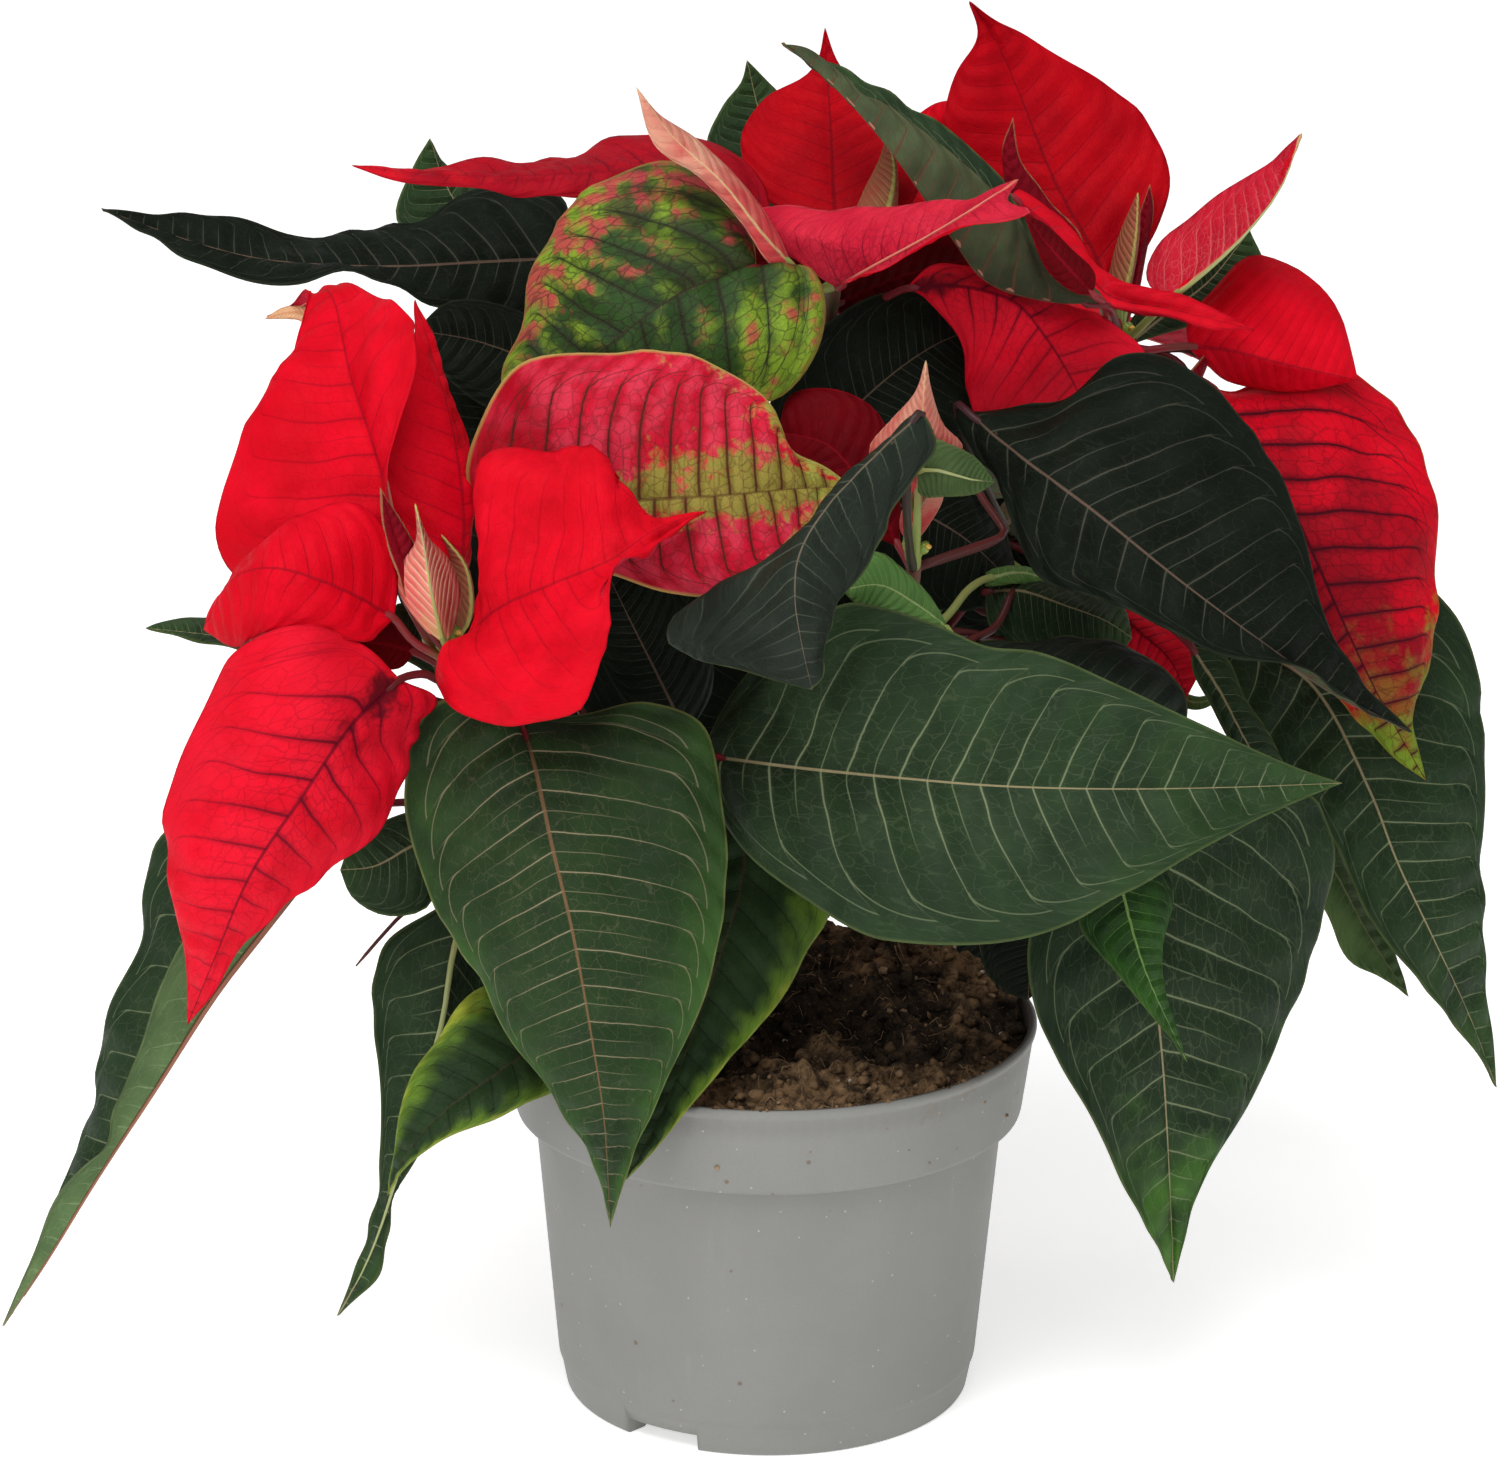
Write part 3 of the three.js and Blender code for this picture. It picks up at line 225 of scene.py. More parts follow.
class Shape:
    """Vertices in millimetres, faces and each face's material, added up part by part."""

    def __init__(self):
        self.vertices = []
        self.faces = []
        self.finishes = []
        self.marks = []

    def add(self, vertices, faces, finish=0, marks=None):
        """Adds a closed part. marks holds one row of numbers a vertex for the materials to read."""
        start = len(self.vertices)
        self.vertices.extend(np.asarray(vertices, float).tolist())
        self.faces.extend([tuple(start + k for k in face) for face in faces])
        if np.isscalar(finish):
            finish = [finish] * len(faces)
        self.finishes.extend(finish)
        if marks is None:
            marks = np.zeros((len(vertices), len(MARKS)))
        self.marks.extend(np.asarray(marks, float).tolist())

    def piece(self, name, materials, slot, stands_for=()):
        """Makes the object, in metres, riding on the root body."""
        mesh = bpy.data.meshes.new(name)
        mesh.from_pydata([[c * MM for c in v] for v in self.vertices], [], self.faces)
        for made in materials:
            mesh.materials.append(made)
        mesh.polygons.foreach_set("material_index", self.finishes)
        mesh.polygons.foreach_set("use_smooth", [True] * len(self.faces))
        marks = np.array(self.marks)
        if np.any(marks):
            for column, mark in enumerate(MARKS):
                kept = mesh.attributes.new(mark, "FLOAT", "POINT")
                kept.data.foreach_set("value", marks[:, column].astype(np.float32))
        mesh.update()
        made = linked(name, mesh)
        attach(made, "root")
        if stands_for:
            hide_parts(*stands_for)
        return made


# What each leaf vertex tells its material: the distance from the midrib, along it and from the
# margin in millimetres, the side vein's number, the share of the way to the margin and to the tip.
MARKS = ("across", "along", "margin", "vein", "outward", "tipward")

# A direction that no tube starts in, to lay its first ring by.
SKEWED_WAY = (0.31, 0.23, 0.92)


def tube_faces(rings, sides):
    """Faces of a closed tube of rings that run clockwise seen from the first, with two poles."""
    faces = []
    for ring in range(rings - 1):
        for k in range(sides):
            a = ring * sides + k
            b = ring * sides + (k + 1) % sides
            faces.append((a, b, b + sides, a + sides))
    first = rings * sides
    last = first + 1
    end = (rings - 1) * sides
    for k in range(sides):
        after = (k + 1) % sides
        faces.append((first, after, k))
        faces.append((last, end + k, end + after))
    return faces


def tube(centres, radii, sides=12):
    """Vertices and faces of a closed tube."""
    centres = np.asarray(centres, float)
    tangents = unit(np.gradient(centres, axis=0))
    side = unit(np.cross(tangents[0], SKEWED_WAY))
    turns = -2 * math.pi * np.arange(sides) / sides
    rings = []
    for centre, tangent, radius in zip(centres, tangents, radii):
        side = unit(side - tangent * np.dot(side, tangent))
        up = np.cross(side, tangent)
        rings.append(centre + radius * (np.cos(turns)[:, None] * side + np.sin(turns)[:, None] * up))
    vertices = np.vstack(rings + [centres[:1], centres[-1:]])
    return vertices, tube_faces(len(centres), sides)


# ---------------------------------------------------------------- leaves

def half_normals(points):
    """Unit normals of a grid of points, rows along the leaf and columns left to right."""
    along = np.gradient(points, axis=0)
    across = np.gradient(points, axis=1)
    return unit(np.cross(across, along))


def blade_grid(rib, left, right):
    """The blade's middle surface as rows of points, with each point's marks.

    The cross-section is straight from rib to margin, as in the frame, with a slight crown on
    either half. Returns points, normals and marks, all without the base and tip points, and the
    blade's length and half its width.
    """
    base, tip = rib[0], rib[-1]
    rib_line = curve_through(rib)
    left_line = curve_through([base, *left, tip])
    right_line = curve_through([base, *right, tip])
    length = reach_along(rib_line)[-1]
    rows = int(np.clip(length / LEAF_CELL, *LEAF_ROWS))
    shares = np.linspace(0.0, 1.0, rows + 1)[1:-1]
    shares = 0.5 * shares + 0.25 * (1 - np.cos(math.pi * shares))
    middle = points_at(rib_line, shares)
    edges = (points_at(left_line, shares), points_at(right_line, shares))
    width = max(np.linalg.norm(edge - middle, axis=1).max() for edge in edges)
    half = int(np.clip(width / LEAF_CELL, *LEAF_HALF_COLUMNS))
    outward = np.linspace(0.0, 1.0, half + 1)
    tangent = unit(np.gradient(middle, axis=0))
    columns = []
    for hand, edge in zip((-1, 1), edges):
        spoke = edge - middle
        reach = np.linalg.norm(spoke, axis=1)
        grid = middle[:, None] + spoke[:, None] * outward[None, :, None]
        normal = half_normals(grid) * hand
        crown = LEAF_CROWN * reach[:, None] * np.sin(math.pi * outward)[None, :] ** 0.8
        grid = grid + normal * crown[..., None]
        sideways = spoke - tangent * np.sum(spoke * tangent, axis=1, keepdims=True)
        away = np.linalg.norm(sideways, axis=1)
        ahead = np.sum(spoke * tangent, axis=1)
        marks = {
            "across": hand * away[:, None] * outward[None, :],
            "along": shares[:, None] * length + ahead[:, None] * outward[None, :],
            "margin": away[:, None] * (1 - outward)[None, :],
            "outward": np.broadcast_to(outward, grid.shape[:2]),
            "tipward": np.broadcast_to(shares[:, None], grid.shape[:2]),
        }
        columns.append((grid, normal, marks))
    (lg, ln, lm), (rg, rn, rm) = columns
    points = np.concatenate([lg[:, :0:-1], rg], axis=1)
    seam = unit(ln[:, :1] + rn[:, :1])
    normals = np.concatenate([ln[:, :0:-1], seam, rn[:, 1:]], axis=1)
    marks = {key: np.concatenate([lm[key][:, :0:-1], rm[key]], axis=1) for key in lm}
    return points, normals, marks, length, width


def relief(marks, length, width, habit, seed):
    """Adds the side veins' numbers to marks, and returns how far each point stands proud.

    It stands proud by the quilting between the veins, the groove over the midrib, slow waves, fine
    creases, and the ruffled margin, all less on a small leaf. seed shifts the waves from leaf to leaf.
    """
    x, y, outward, tipward = [marks[key] for key in ("across", "along", "outward", "tipward")]
    away = np.abs(x)
    spacing = length / habit["veins"]
    small = min(1.0, spacing / FULL_RELIEF_SPACING)
    shift = habit["lean"] * away + habit["bow"] * away ** 2 / max(width, 1.0)
    beyond = np.clip((outward - VEIN_BEND_START) / (1 - VEIN_BEND_START), 0, 1)
    shift = shift + VEIN_BEND * spacing * beyond ** 2
    share = (y - shift) / length
    marks["vein"] = habit["veins"] * share * (1 + VEIN_CROWDING * (share - 1))
    pillow = np.abs(np.sin(math.pi * (marks["vein"] + 0.5 * (x > 0)))) ** 0.75
    inner = smoothstep(0.0, BASE_FADE, outward)
    outer = 1 - smoothstep(QUILT_END, 1.0, outward)
    ends = smoothstep(0.0, BASE_FADE, tipward) * (1 - smoothstep(TIP_FADE, 1.0, tipward))
    quilt = habit["quilt"] * small * (pillow - 0.6) * inner * outer * (0.35 + 0.65 * ends)
    groove = -GROOVE_DEPTH * habit["quilt"] * small * np.exp(-(away / GROOVE_WIDTH) ** 2)
    wave = (np.sin(x * 0.11 + y * 0.07 + seed) * np.sin(y * 0.09 - x * 0.05 + 2.3 * seed)
            + 0.5 * np.sin(x * 0.23 - y * 0.13 + 3.1 * seed))
    ruffle = np.sin(y * 0.33 + 5.0 * seed + 1.5 * np.sin(y * 0.11 + seed)) * outward ** 4
    crease = np.sin(0.75 * x + 0.2 * y + 2 * seed) * np.sin(0.13 * y - 0.3 * x + seed)
    crease = habit["crease"] * crease * smoothstep(0.0, 0.3, outward) * ends
    drift = habit["wave"] * small * wave * smoothstep(0.0, 0.4, outward) * ends
    return quilt + groove + drift + crease + habit["ruffle"] * small * ruffle * ends


def add_blade(shape, rib, left, right, habit, seed):
    """Adds the closed blade: finish 0 on its upper face, finish 1 on its underside."""
    points, normals, marks, length, width = blade_grid(rib, left, right)
    height = relief(marks, length, width, habit, seed)
    points = points + normals * height[..., None]
    rows, columns = points.shape[:2]
    thin = 1 - MARGIN_THINNING * marks["outward"] ** 3
    offset = normals * (0.5 * LEAF_THICKNESS * thin)[..., None]
    upper = (points + offset).reshape(-1, 3)
    lower = (points - offset).reshape(-1, 3)
    base, tip = np.asarray(rib[0], float), np.asarray(rib[-1], float)
    vertices = np.vstack([upper, lower, base[None], tip[None]])
    flat = np.stack([marks[key] for key in MARKS], axis=-1).reshape(-1, len(MARKS))
    base_marks = [0, 0, 0, 0, 0, 0]
    tip_marks = [0, length, 0, habit["veins"], 0, 1]
    all_marks = np.vstack([flat, flat, [base_marks], [tip_marks]])
    under = rows * columns
    first, last = 2 * under, 2 * under + 1
    faces, finishes = [], []
    for row in range(rows - 1):
        for column in range(columns - 1):
            a = row * columns + column
            b = a + columns
            faces.append((a, a + 1, b + 1, b))
            finishes.append(0)
            faces.append((under + a, under + b, under + b + 1, under + a + 1))
            finishes.append(1)
        near, far = row * columns, (row + 1) * columns
        faces.append((near, far, under + far, under + near))
        near, far = near + columns - 1, far + columns - 1
        faces.append((near, under + near, under + far, far))
        finishes.extend([0, 0])
    end = (rows - 1) * columns
    for column in range(columns - 1):
        faces.append((first, column + 1, column))
        faces.append((first, under + column, under + column + 1))
        faces.append((last, end + column, end + column + 1))
        faces.append((last, under + end + column + 1, under + end + column))
        finishes.extend([0, 1, 0, 1])
    faces.append((first, 0, under))
    faces.append((first, under + columns - 1, columns - 1))
    faces.append((last, under + end, end))
    faces.append((last, end + columns - 1, under + end + columns - 1))
    finishes.extend([0, 0, 0, 0])
    shape.add(vertices, faces, finishes, all_marks)
    return points, normals


def add_petiole(shape, stalk, rib, grid, normals, thick):
    """Adds the petiole, which runs on as a tapering ridge under the midrib. Its finish is 2."""
    rib_line = curve_through(rib)
    stem_line = curve_through([*stalk, rib[0], *points_at(rib_line, np.array([PETIOLE_GRIP]))])
    reach = reach_along(stem_line)[-1]
    steps = int(np.clip(reach / PETIOLE_STEP, *PETIOLE_RINGS))
    shares = np.linspace(0.0, 1.0, steps)
    stem_points = points_at(stem_line, shares)
    past_swelling = shares * reach / PETIOLE_SWELLING_REACH - 1
    swell = 1 + PETIOLE_SWELLING * np.exp(-past_swelling ** 2)
    stem_radii = PETIOLE_RADIUS * (0.92 - 0.12 * shares) * swell

    # The ridge takes every third row of the blade's grid but for the first and last few. It is
    # thinner on a short leaf.
    rows, middle = grid.shape[0], grid.shape[1] // 2
    keep = slice(max(2, rows // 12), int(rows * 0.9), 3)
    thick = thick * min(1.0, 0.3 + reach_along(rib_line)[-1] / 80.0)
    ridge_radii = PETIOLE_RADIUS * np.linspace(thick, RIDGE_END, len(grid[keep, middle]))
    ridge = grid[keep, middle] - normals[keep, middle] * (0.9 * ridge_radii[:, None] + 0.12)
    centres = np.vstack([stem_points, ridge])
    radii = np.concatenate([stem_radii, ridge_radii])
    vertices, faces = tube(centres, radii, PETIOLE_SIDES)
    marks = np.zeros((len(vertices), len(MARKS)))
    tipward = np.concatenate([np.zeros(steps), np.linspace(0.1, 1.0, len(ridge))])
    stalkward = np.concatenate([shares, np.ones(len(ridge))])
    around = np.repeat(tipward, PETIOLE_SIDES)
    marks[:len(around), MARKS.index("tipward")] = around
    marks[:len(around), MARKS.index("outward")] = np.repeat(stalkward, PETIOLE_SIDES)
    shape.add(vertices, faces, 2, marks)


def make_leaf(name, skin, stalk, rib, left, right, stands_for=True):
    """One leaf as a piece: blade and petiole, from points in millimetres."""
    habit = SKINS[skin]
    shape = Shape()
    seed = sum(ord(letter) * (k + 3) for k, letter in enumerate(name)) % 97 / 10
    grid, normals = add_blade(shape, rib, left, right, habit, seed)
    add_petiole(shape, rooted(stalk), rib, grid, normals, habit["ridge"])
    materials = [finish(habit[part]) for part in ("upper", "lower", "petiole")]
    shape.piece(name + "_leaf", materials, habit["slot"], (name,) if stands_for else ())


def drawn_leaf(name, skin, *curves, stands_for=True):
    """A leaf from the table, where every point is a place."""
    make_leaf(name, skin, *[[place(spot) for spot in curve] for curve in curves], stands_for)


def far_leaf(name, skin, root, turn, stalk_length, length, width, rise, droop):
    """A leaf on the far side of the plant, which arches out from its root and droops."""
    start = place(root)
    turn = math.radians(turn)
    out = np.array([math.sin(turn), math.cos(turn), 0.0])
    side = np.array([out[1], -out[0], 0.0])
    up = np.array([0.0, 0.0, 1.0])

    def reach(distance, height, sideways):
        return start + out * distance + up * height + side * sideways

    def arch(along):
        return rise * (1 + 0.7 * along) - droop * along * along

    def rib_point(along):
        return reach(stalk_length + length * along, arch(along), 0.0)

    def edge_point(along, hand):
        half = width / 2 * math.sin(math.pi * along ** 0.8) ** 0.9
        return reach(stalk_length + length * along, arch(along) + 0.25 * half, hand * half)

    stations = (0.12, 0.3, 0.5, 0.7, 0.88)
    stalk = [start, reach(stalk_length * 0.5, rise * 0.7, 0.0)]
    rib = [rib_point(along) for along in (0.0, 0.25, 0.5, 0.75, 1.0)]
    left = [edge_point(along, -1) for along in stations]
    right = [edge_point(along, 1) for along in stations]
    make_leaf(name, skin, stalk, rib, left, right)


# ---------------------------------------------------------------- materials

def colour(red, green, blue):
    """A linear colour from screen values of 0 to 255."""
    channels = []
    for value in (red, green, blue):
        share = value / 255
        low = share / 12.92
        high = ((share + 0.055) / 1.055) ** 2.4
        channels.append(low if share <= 0.04045 else high)
    return (*channels, 1.0)


# Where along a side vein, as a share of the way to the margin, its loop starts and how far it rises.
LOOP_START = 0.7
LOOP_RISE = 0.16


class Net:
    """A material's nodes, made and joined by short calls."""

    def __init__(self, name):
        self.material = bpy.data.materials.new(name)
        self.material.use_nodes = True
        self.tree = self.material.node_tree
        self.tree.nodes.clear()

    def node(self, kind, inputs=None, **settings):
        """A node with its settings, and with inputs by name or number joined or set."""
        made = self.tree.nodes.new(kind)
        for key, value in settings.items():
            setattr(made, key, value)
        for key, value in (inputs or {}).items():
            socket = made.inputs[key]
            if isinstance(value, bpy.types.NodeSocket):
                self.tree.links.new(value, socket)
            else:
                socket.default_value = value
        return made

    def math(self, operation, a, b=0.0, c=0.0):
        """One number worked out from up to three."""
        return self.node("ShaderNodeMath", {0: a, 1: b, 2: c}, operation=operation).outputs[0]

    def times(self, a, b, plus=None):
        """a times b, with a third number added where one is given."""
        return self.math("MULTIPLY", a, b) if plus is None else self.math("MULTIPLY_ADD", a, b, plus)

    def away(self, a, b):
        """How far the point [a, b] is from [0, 0]."""
        return self.math("SQRT", self.times(a, a, self.times(b, b)))

    def ramp(self, value, low, high, start=0.0, end=1.0):
        """start where value is below low, end where it is above high, and smooth between."""
        made = self.node(
            "ShaderNodeMapRange",
            {"Value": value, "From Min": low, "From Max": high, "To Min": start, "To Max": end},
            interpolation_type="SMOOTHSTEP",
        )
        return made.outputs[0]

    def mix(self, share, a, b):
        """Colour a turned into colour b by share."""
        return self.node("ShaderNodeMix", {0: share, 6: a, 7: b}, data_type="RGBA").outputs[2]

    def mark(self, name):
        """A number that the mesh carries."""
        return self.node("ShaderNodeAttribute", attribute_name=name).outputs["Fac"]

    def noise(self, where, scale, detail=3.0, roughness=0.55):
        """Smooth noise of 0 to 1."""
        made = self.node(
            "ShaderNodeTexNoise",
            {"Vector": where, "Scale": scale, "Detail": detail, "Roughness": roughness},
        )
        return made.outputs["Fac"]

    def cells(self, where, scale, output="Distance", feature="F1"):
        """Cells scattered at a scale: how far their middles or edges are, or a colour for each."""
        made = self.node("ShaderNodeTexVoronoi", {"Vector": where, "Scale": scale}, feature=feature)
        return made.outputs[output]

    def joined(self, x, y, z):
        """A vector of three numbers."""
        return self.node("ShaderNodeCombineXYZ", {0: x, 1: y, 2: z}).outputs[0]

    def squeezed(self, where, share):
        """A place with its height squeezed to a share, which stretches a pattern upwards."""
        return self.node("ShaderNodeMapping", {"Vector": where, "Scale": (1.0, 1.0, share)}).outputs[0]

    def spot(self):
        """Where the point is on the object, in metres."""
        return self.node("ShaderNodeTexCoord").outputs["Object"]

    def parts(self, where):
        """A place's three numbers."""
        return self.node("ShaderNodeSeparateXYZ", {0: where}).outputs

    def bump(self, height, strength, distance):
        """A normal bent by a height in millimetres."""
        inputs = {"Height": height, "Strength": strength, "Distance": distance * MM}
        return self.node("ShaderNodeBump", inputs).outputs[0]

    def finish(self, base, roughness, normal=None, **constants):
        """Ends the material with a Principled shader."""
        inputs = {"Base Color": base, "Roughness": roughness, **constants}
        if normal is not None:
            inputs["Normal"] = normal
        shader = self.node("ShaderNodeBsdfPrincipled", inputs)
        out = self.node("ShaderNodeOutputMaterial")
        self.tree.links.new(shader.outputs[0], out.inputs[0])
        return self.material


def leaf_material(name, look):
    """A leaf's surface: blade colour, patches, a net of veins, and a margin."""
    net = Net(name)
    blade, shade, vein_tint, midrib, margin_tint = [
        colour(*look[key]) for key in ("blade", "shade", "vein", "midrib", "margin")]
    across, along, margin = net.mark("across"), net.mark("along"), net.mark("margin")
    vein, outward, tipward = net.mark("vein"), net.mark("outward"), net.mark("tipward")
    vein = net.times(net.math("GREATER_THAN", across, 0.0), 0.5, vein)
    flat = net.joined(across, along, look["seed"])

    # The blade in two shades, in blotches and flecks.
    blotch = net.noise(flat, 0.06, 2.0)
    fleck = net.noise(flat, 0.5, 4.0, 0.65)
    base = net.mix(net.ramp(blotch, 0.3, 0.7), blade, shade)
    base = net.mix(net.ramp(fleck, 0.35, 0.75, 0.0, 0.35), base, shade)

    # The side veins lie where the number vein, which wanders a little, is whole. The net of fine
    # veins is the edges of cells, a coarse web and a finer mesh, stretched along the side veins.
    vein = net.times(net.noise(flat, 0.07, 1.0), look["wander"], vein)
    nearest = net.math("PINGPONG", vein, 0.5)
    between = net.ramp(nearest, 0.0, 0.5)
    where = net.joined(net.times(across, 0.36), net.times(vein, 2.6), look["seed"])
    bend = net.node("ShaderNodeTexNoise", {"Vector": where, "Scale": 1.2, "Detail": 2.0})
    bend = net.node("ShaderNodeVectorMath", {0: bend.outputs["Color"], 3: 0.4}, operation="SCALE")
    where = net.node(
        "ShaderNodeVectorMath", {0: where, 1: bend.outputs[0]}, operation="ADD").outputs[0]
    web = net.ramp(net.cells(where, 1.0, feature="DISTANCE_TO_EDGE"), 0.0, look["web"], 1.0, 0.0)
    mesh = net.ramp(
        net.cells(where, 3.2, feature="DISTANCE_TO_EDGE"), 0.0, look["web"] * 1.2, 1.0, 0.0)
    cell = net.node("ShaderNodeSeparateColor", {0: net.cells(where, 1.0, "Color")}).outputs[0]

    levels = {
        "outward": outward, "tipward": tipward, "between": between, "across": across, "cell": cell}
    for tint, scale, low, high, most, weights in look["patches"]:
        pattern = net.noise(flat, scale, 3.0, 0.6)
        for key, level in levels.items():
            if key in weights:
                pattern = net.times(level, weights[key], pattern)
        base = net.mix(net.ramp(pattern, low, high, 0.0, most), base, colour(*tint))

    # Each side vein, with a thinner one halfway to the next that starts away from the midrib.
    side_width = net.ramp(outward, 0.0, 1.0, look["side_width"], look["side_width"] * 0.35)
    side = net.math("DIVIDE", nearest, side_width)
    side_line = net.times(net.ramp(side, 0.35, 1.0, 1.0, 0.0), net.ramp(outward, 0.72, 0.88, 1.0, 0.0))
    twig = net.math("DIVIDE", net.math("SUBTRACT", 0.5, nearest), side_width)
    twig_line = net.times(
        net.ramp(twig, 0.2, 0.7, 1.0, 0.0), net.ramp(outward, 0.2, 0.6, look["twig"], 0.0))

    # Near the margin each side vein bends towards the tip, a quarter of an ellipse, up to the next one.
    behind = net.math("SUBTRACT", 1.0, net.math("FRACT", vein))
    beyond = net.math("DIVIDE", net.math("SUBTRACT", outward, LOOP_START), LOOP_RISE)
    loop = net.math("ABSOLUTE", net.math("SUBTRACT", net.away(behind, beyond), 1.0))
    loop_line = net.times(net.ramp(loop, 0.012, 0.05, look["side"], 0.0), net.ramp(beyond, -0.2, 0.0))
    loop_line = net.times(loop_line, net.ramp(tipward, 0.04, 0.2))
    twig_line = net.math("MAXIMUM", twig_line, loop_line)
    rib_width = net.ramp(tipward, 0.0, 1.0, look["rib_width"], look["rib_width"] * 0.22)
    rib = net.math("DIVIDE", net.math("ABSOLUTE", across), rib_width)

    # depth is how clearly the veins show, which fades towards the margin and the tip.
    fade_start, fade_end, least = look["vein_fade"]
    depth = net.times(net.ramp(outward, fade_start, fade_end, 1.0, least),
                      net.ramp(tipward, 0.25, 0.9, 1.0, look["vein_tip"]))
    fine = net.times(depth, look["fine"])
    for amount in (
        net.times(mesh, net.times(fine, 0.45)),
        net.times(web, fine),
        # The halo tints a soft band beside each side vein, mostly darker: partly the vein's own colour,
        # partly painted shade of the groove it lies in.
        net.times(net.ramp(side, 0.8, 3.6, look["halo"], 0.0), depth),
        net.times(side_line, net.times(depth, look["side"])),
        net.times(twig_line, depth),
    ):
        base = net.mix(amount, base, vein_tint)
    base = net.mix(net.times(net.ramp(rib, 0.45, 1.0, 1.0, 0.0), look["rib"]), base, midrib)
    edge = net.ramp(margin, 0.15, look["margin_width"], look["margin_share"], 0.0)
    base = net.mix(edge, base, margin_tint)

    height = net.times(between, look["pillow"])
    for level, weight in ((web, -0.35), (mesh, -0.2), (side_line, -0.6), (fleck, 0.3)):
        height = net.times(level, weight, height)
    shine = net.ramp(fleck, 0.3, 0.7, look["rough"] - 0.06, look["rough"] + 0.06)
    return net.finish(base, shine, net.bump(height, look["bump"], 0.25), **look["shader"])


def petiole_material(name, skin, shade, ridge, root, seed):
    """A petiole: smooth, one colour at its root and others above, paler under the blade."""
    net = Net(name)
    spot = net.spot()
    grain = net.noise(spot, 900.0, 3.0)
    drift = net.noise(spot, 45.0 + seed, 2.0)
    base = net.mix(net.ramp(drift, 0.35, 0.65), colour(*skin), colour(*shade))
    base = net.mix(net.ramp(grain, 0.5, 0.8, 0.0, 0.3), base, colour(*shade))
    base = net.mix(net.ramp(net.mark("outward"), 0.0, 0.55, 0.85, 0.0), base, colour(*root))
    base = net.mix(net.ramp(net.mark("tipward"), 0.05, 0.35), base, colour(*ridge))
    return net.finish(base, 0.45, net.bump(grain, 0.3, 0.1), **{"Specular IOR Level": 0.25})


# ---------------------------------------------------------------- looks

def change(kind, **changes):
    """A kind's settings, with some of them changed."""
    return {**kind, **changes}


def patch(tint, scale, low, high, most=1.0, **weights):
    """Patches of a tint, where noise of this scale plus weights times marks rises from low to high."""
    return tint, scale, low, high, most, weights


# Each look of a leaf's face. Tints are screen values of 0 to 255. seed moves the noise, pillow and
# bump shape the relief, wander bends the side veins, web is how wide the finest veins are, and
# vein_fade says from where, to where and down to what share the veins fade towards the margin.
GREEN = dict(
    seed=1.0, blade=(35, 54, 30), shade=(25, 42, 23), vein=(128, 138, 104), midrib=(150, 138, 104),
    side_width=0.03, wander=0.14, twig=0.4, pillow=2.6, web=0.05, rib_width=0.5,
    vein_fade=(0.1, 1.0, 0.5), vein_tip=0.8, fine=0.1, halo=0.03, side=0.62, rib=0.8,
    margin=(104, 116, 66), margin_width=0.9, margin_share=0.35, bump=0.7, rough=0.5,
    patches=(
        # The first patch darkens the blade towards its base, where it lies under other leaves: painted
        # shade.
        patch((14, 22, 12), 0.03, 0.12, 0.5, 0.6, outward=-0.1, tipward=-1.0),
        patch((60, 92, 42), 0.04, 1.15, 1.6, 0.35, outward=0.1, tipward=1.0),
    ),
    shader={"Specular IOR Level": 0.1},
)
RED = dict(
    seed=2.0, blade=(208, 8, 32), shade=(184, 4, 22), vein=(120, 6, 24), midrib=(128, 10, 26),
    side_width=0.045, wander=0.25, twig=0.3, pillow=1.8, web=0.07, rib_width=0.7,
    vein_fade=(0.1, 0.9, 0.35), vein_tip=0.45, fine=0.12, halo=0.1, side=0.5, rib=0.6,
    margin=(150, 12, 26), margin_width=0.45, margin_share=0.3, bump=0.6, rough=0.52, patches=(),
    shader={"Specular IOR Level": 0.035, "Subsurface Weight": 0.1,
            "Subsurface Radius": (1.0, 0.25, 0.2), "Subsurface Scale": 0.0012},
)
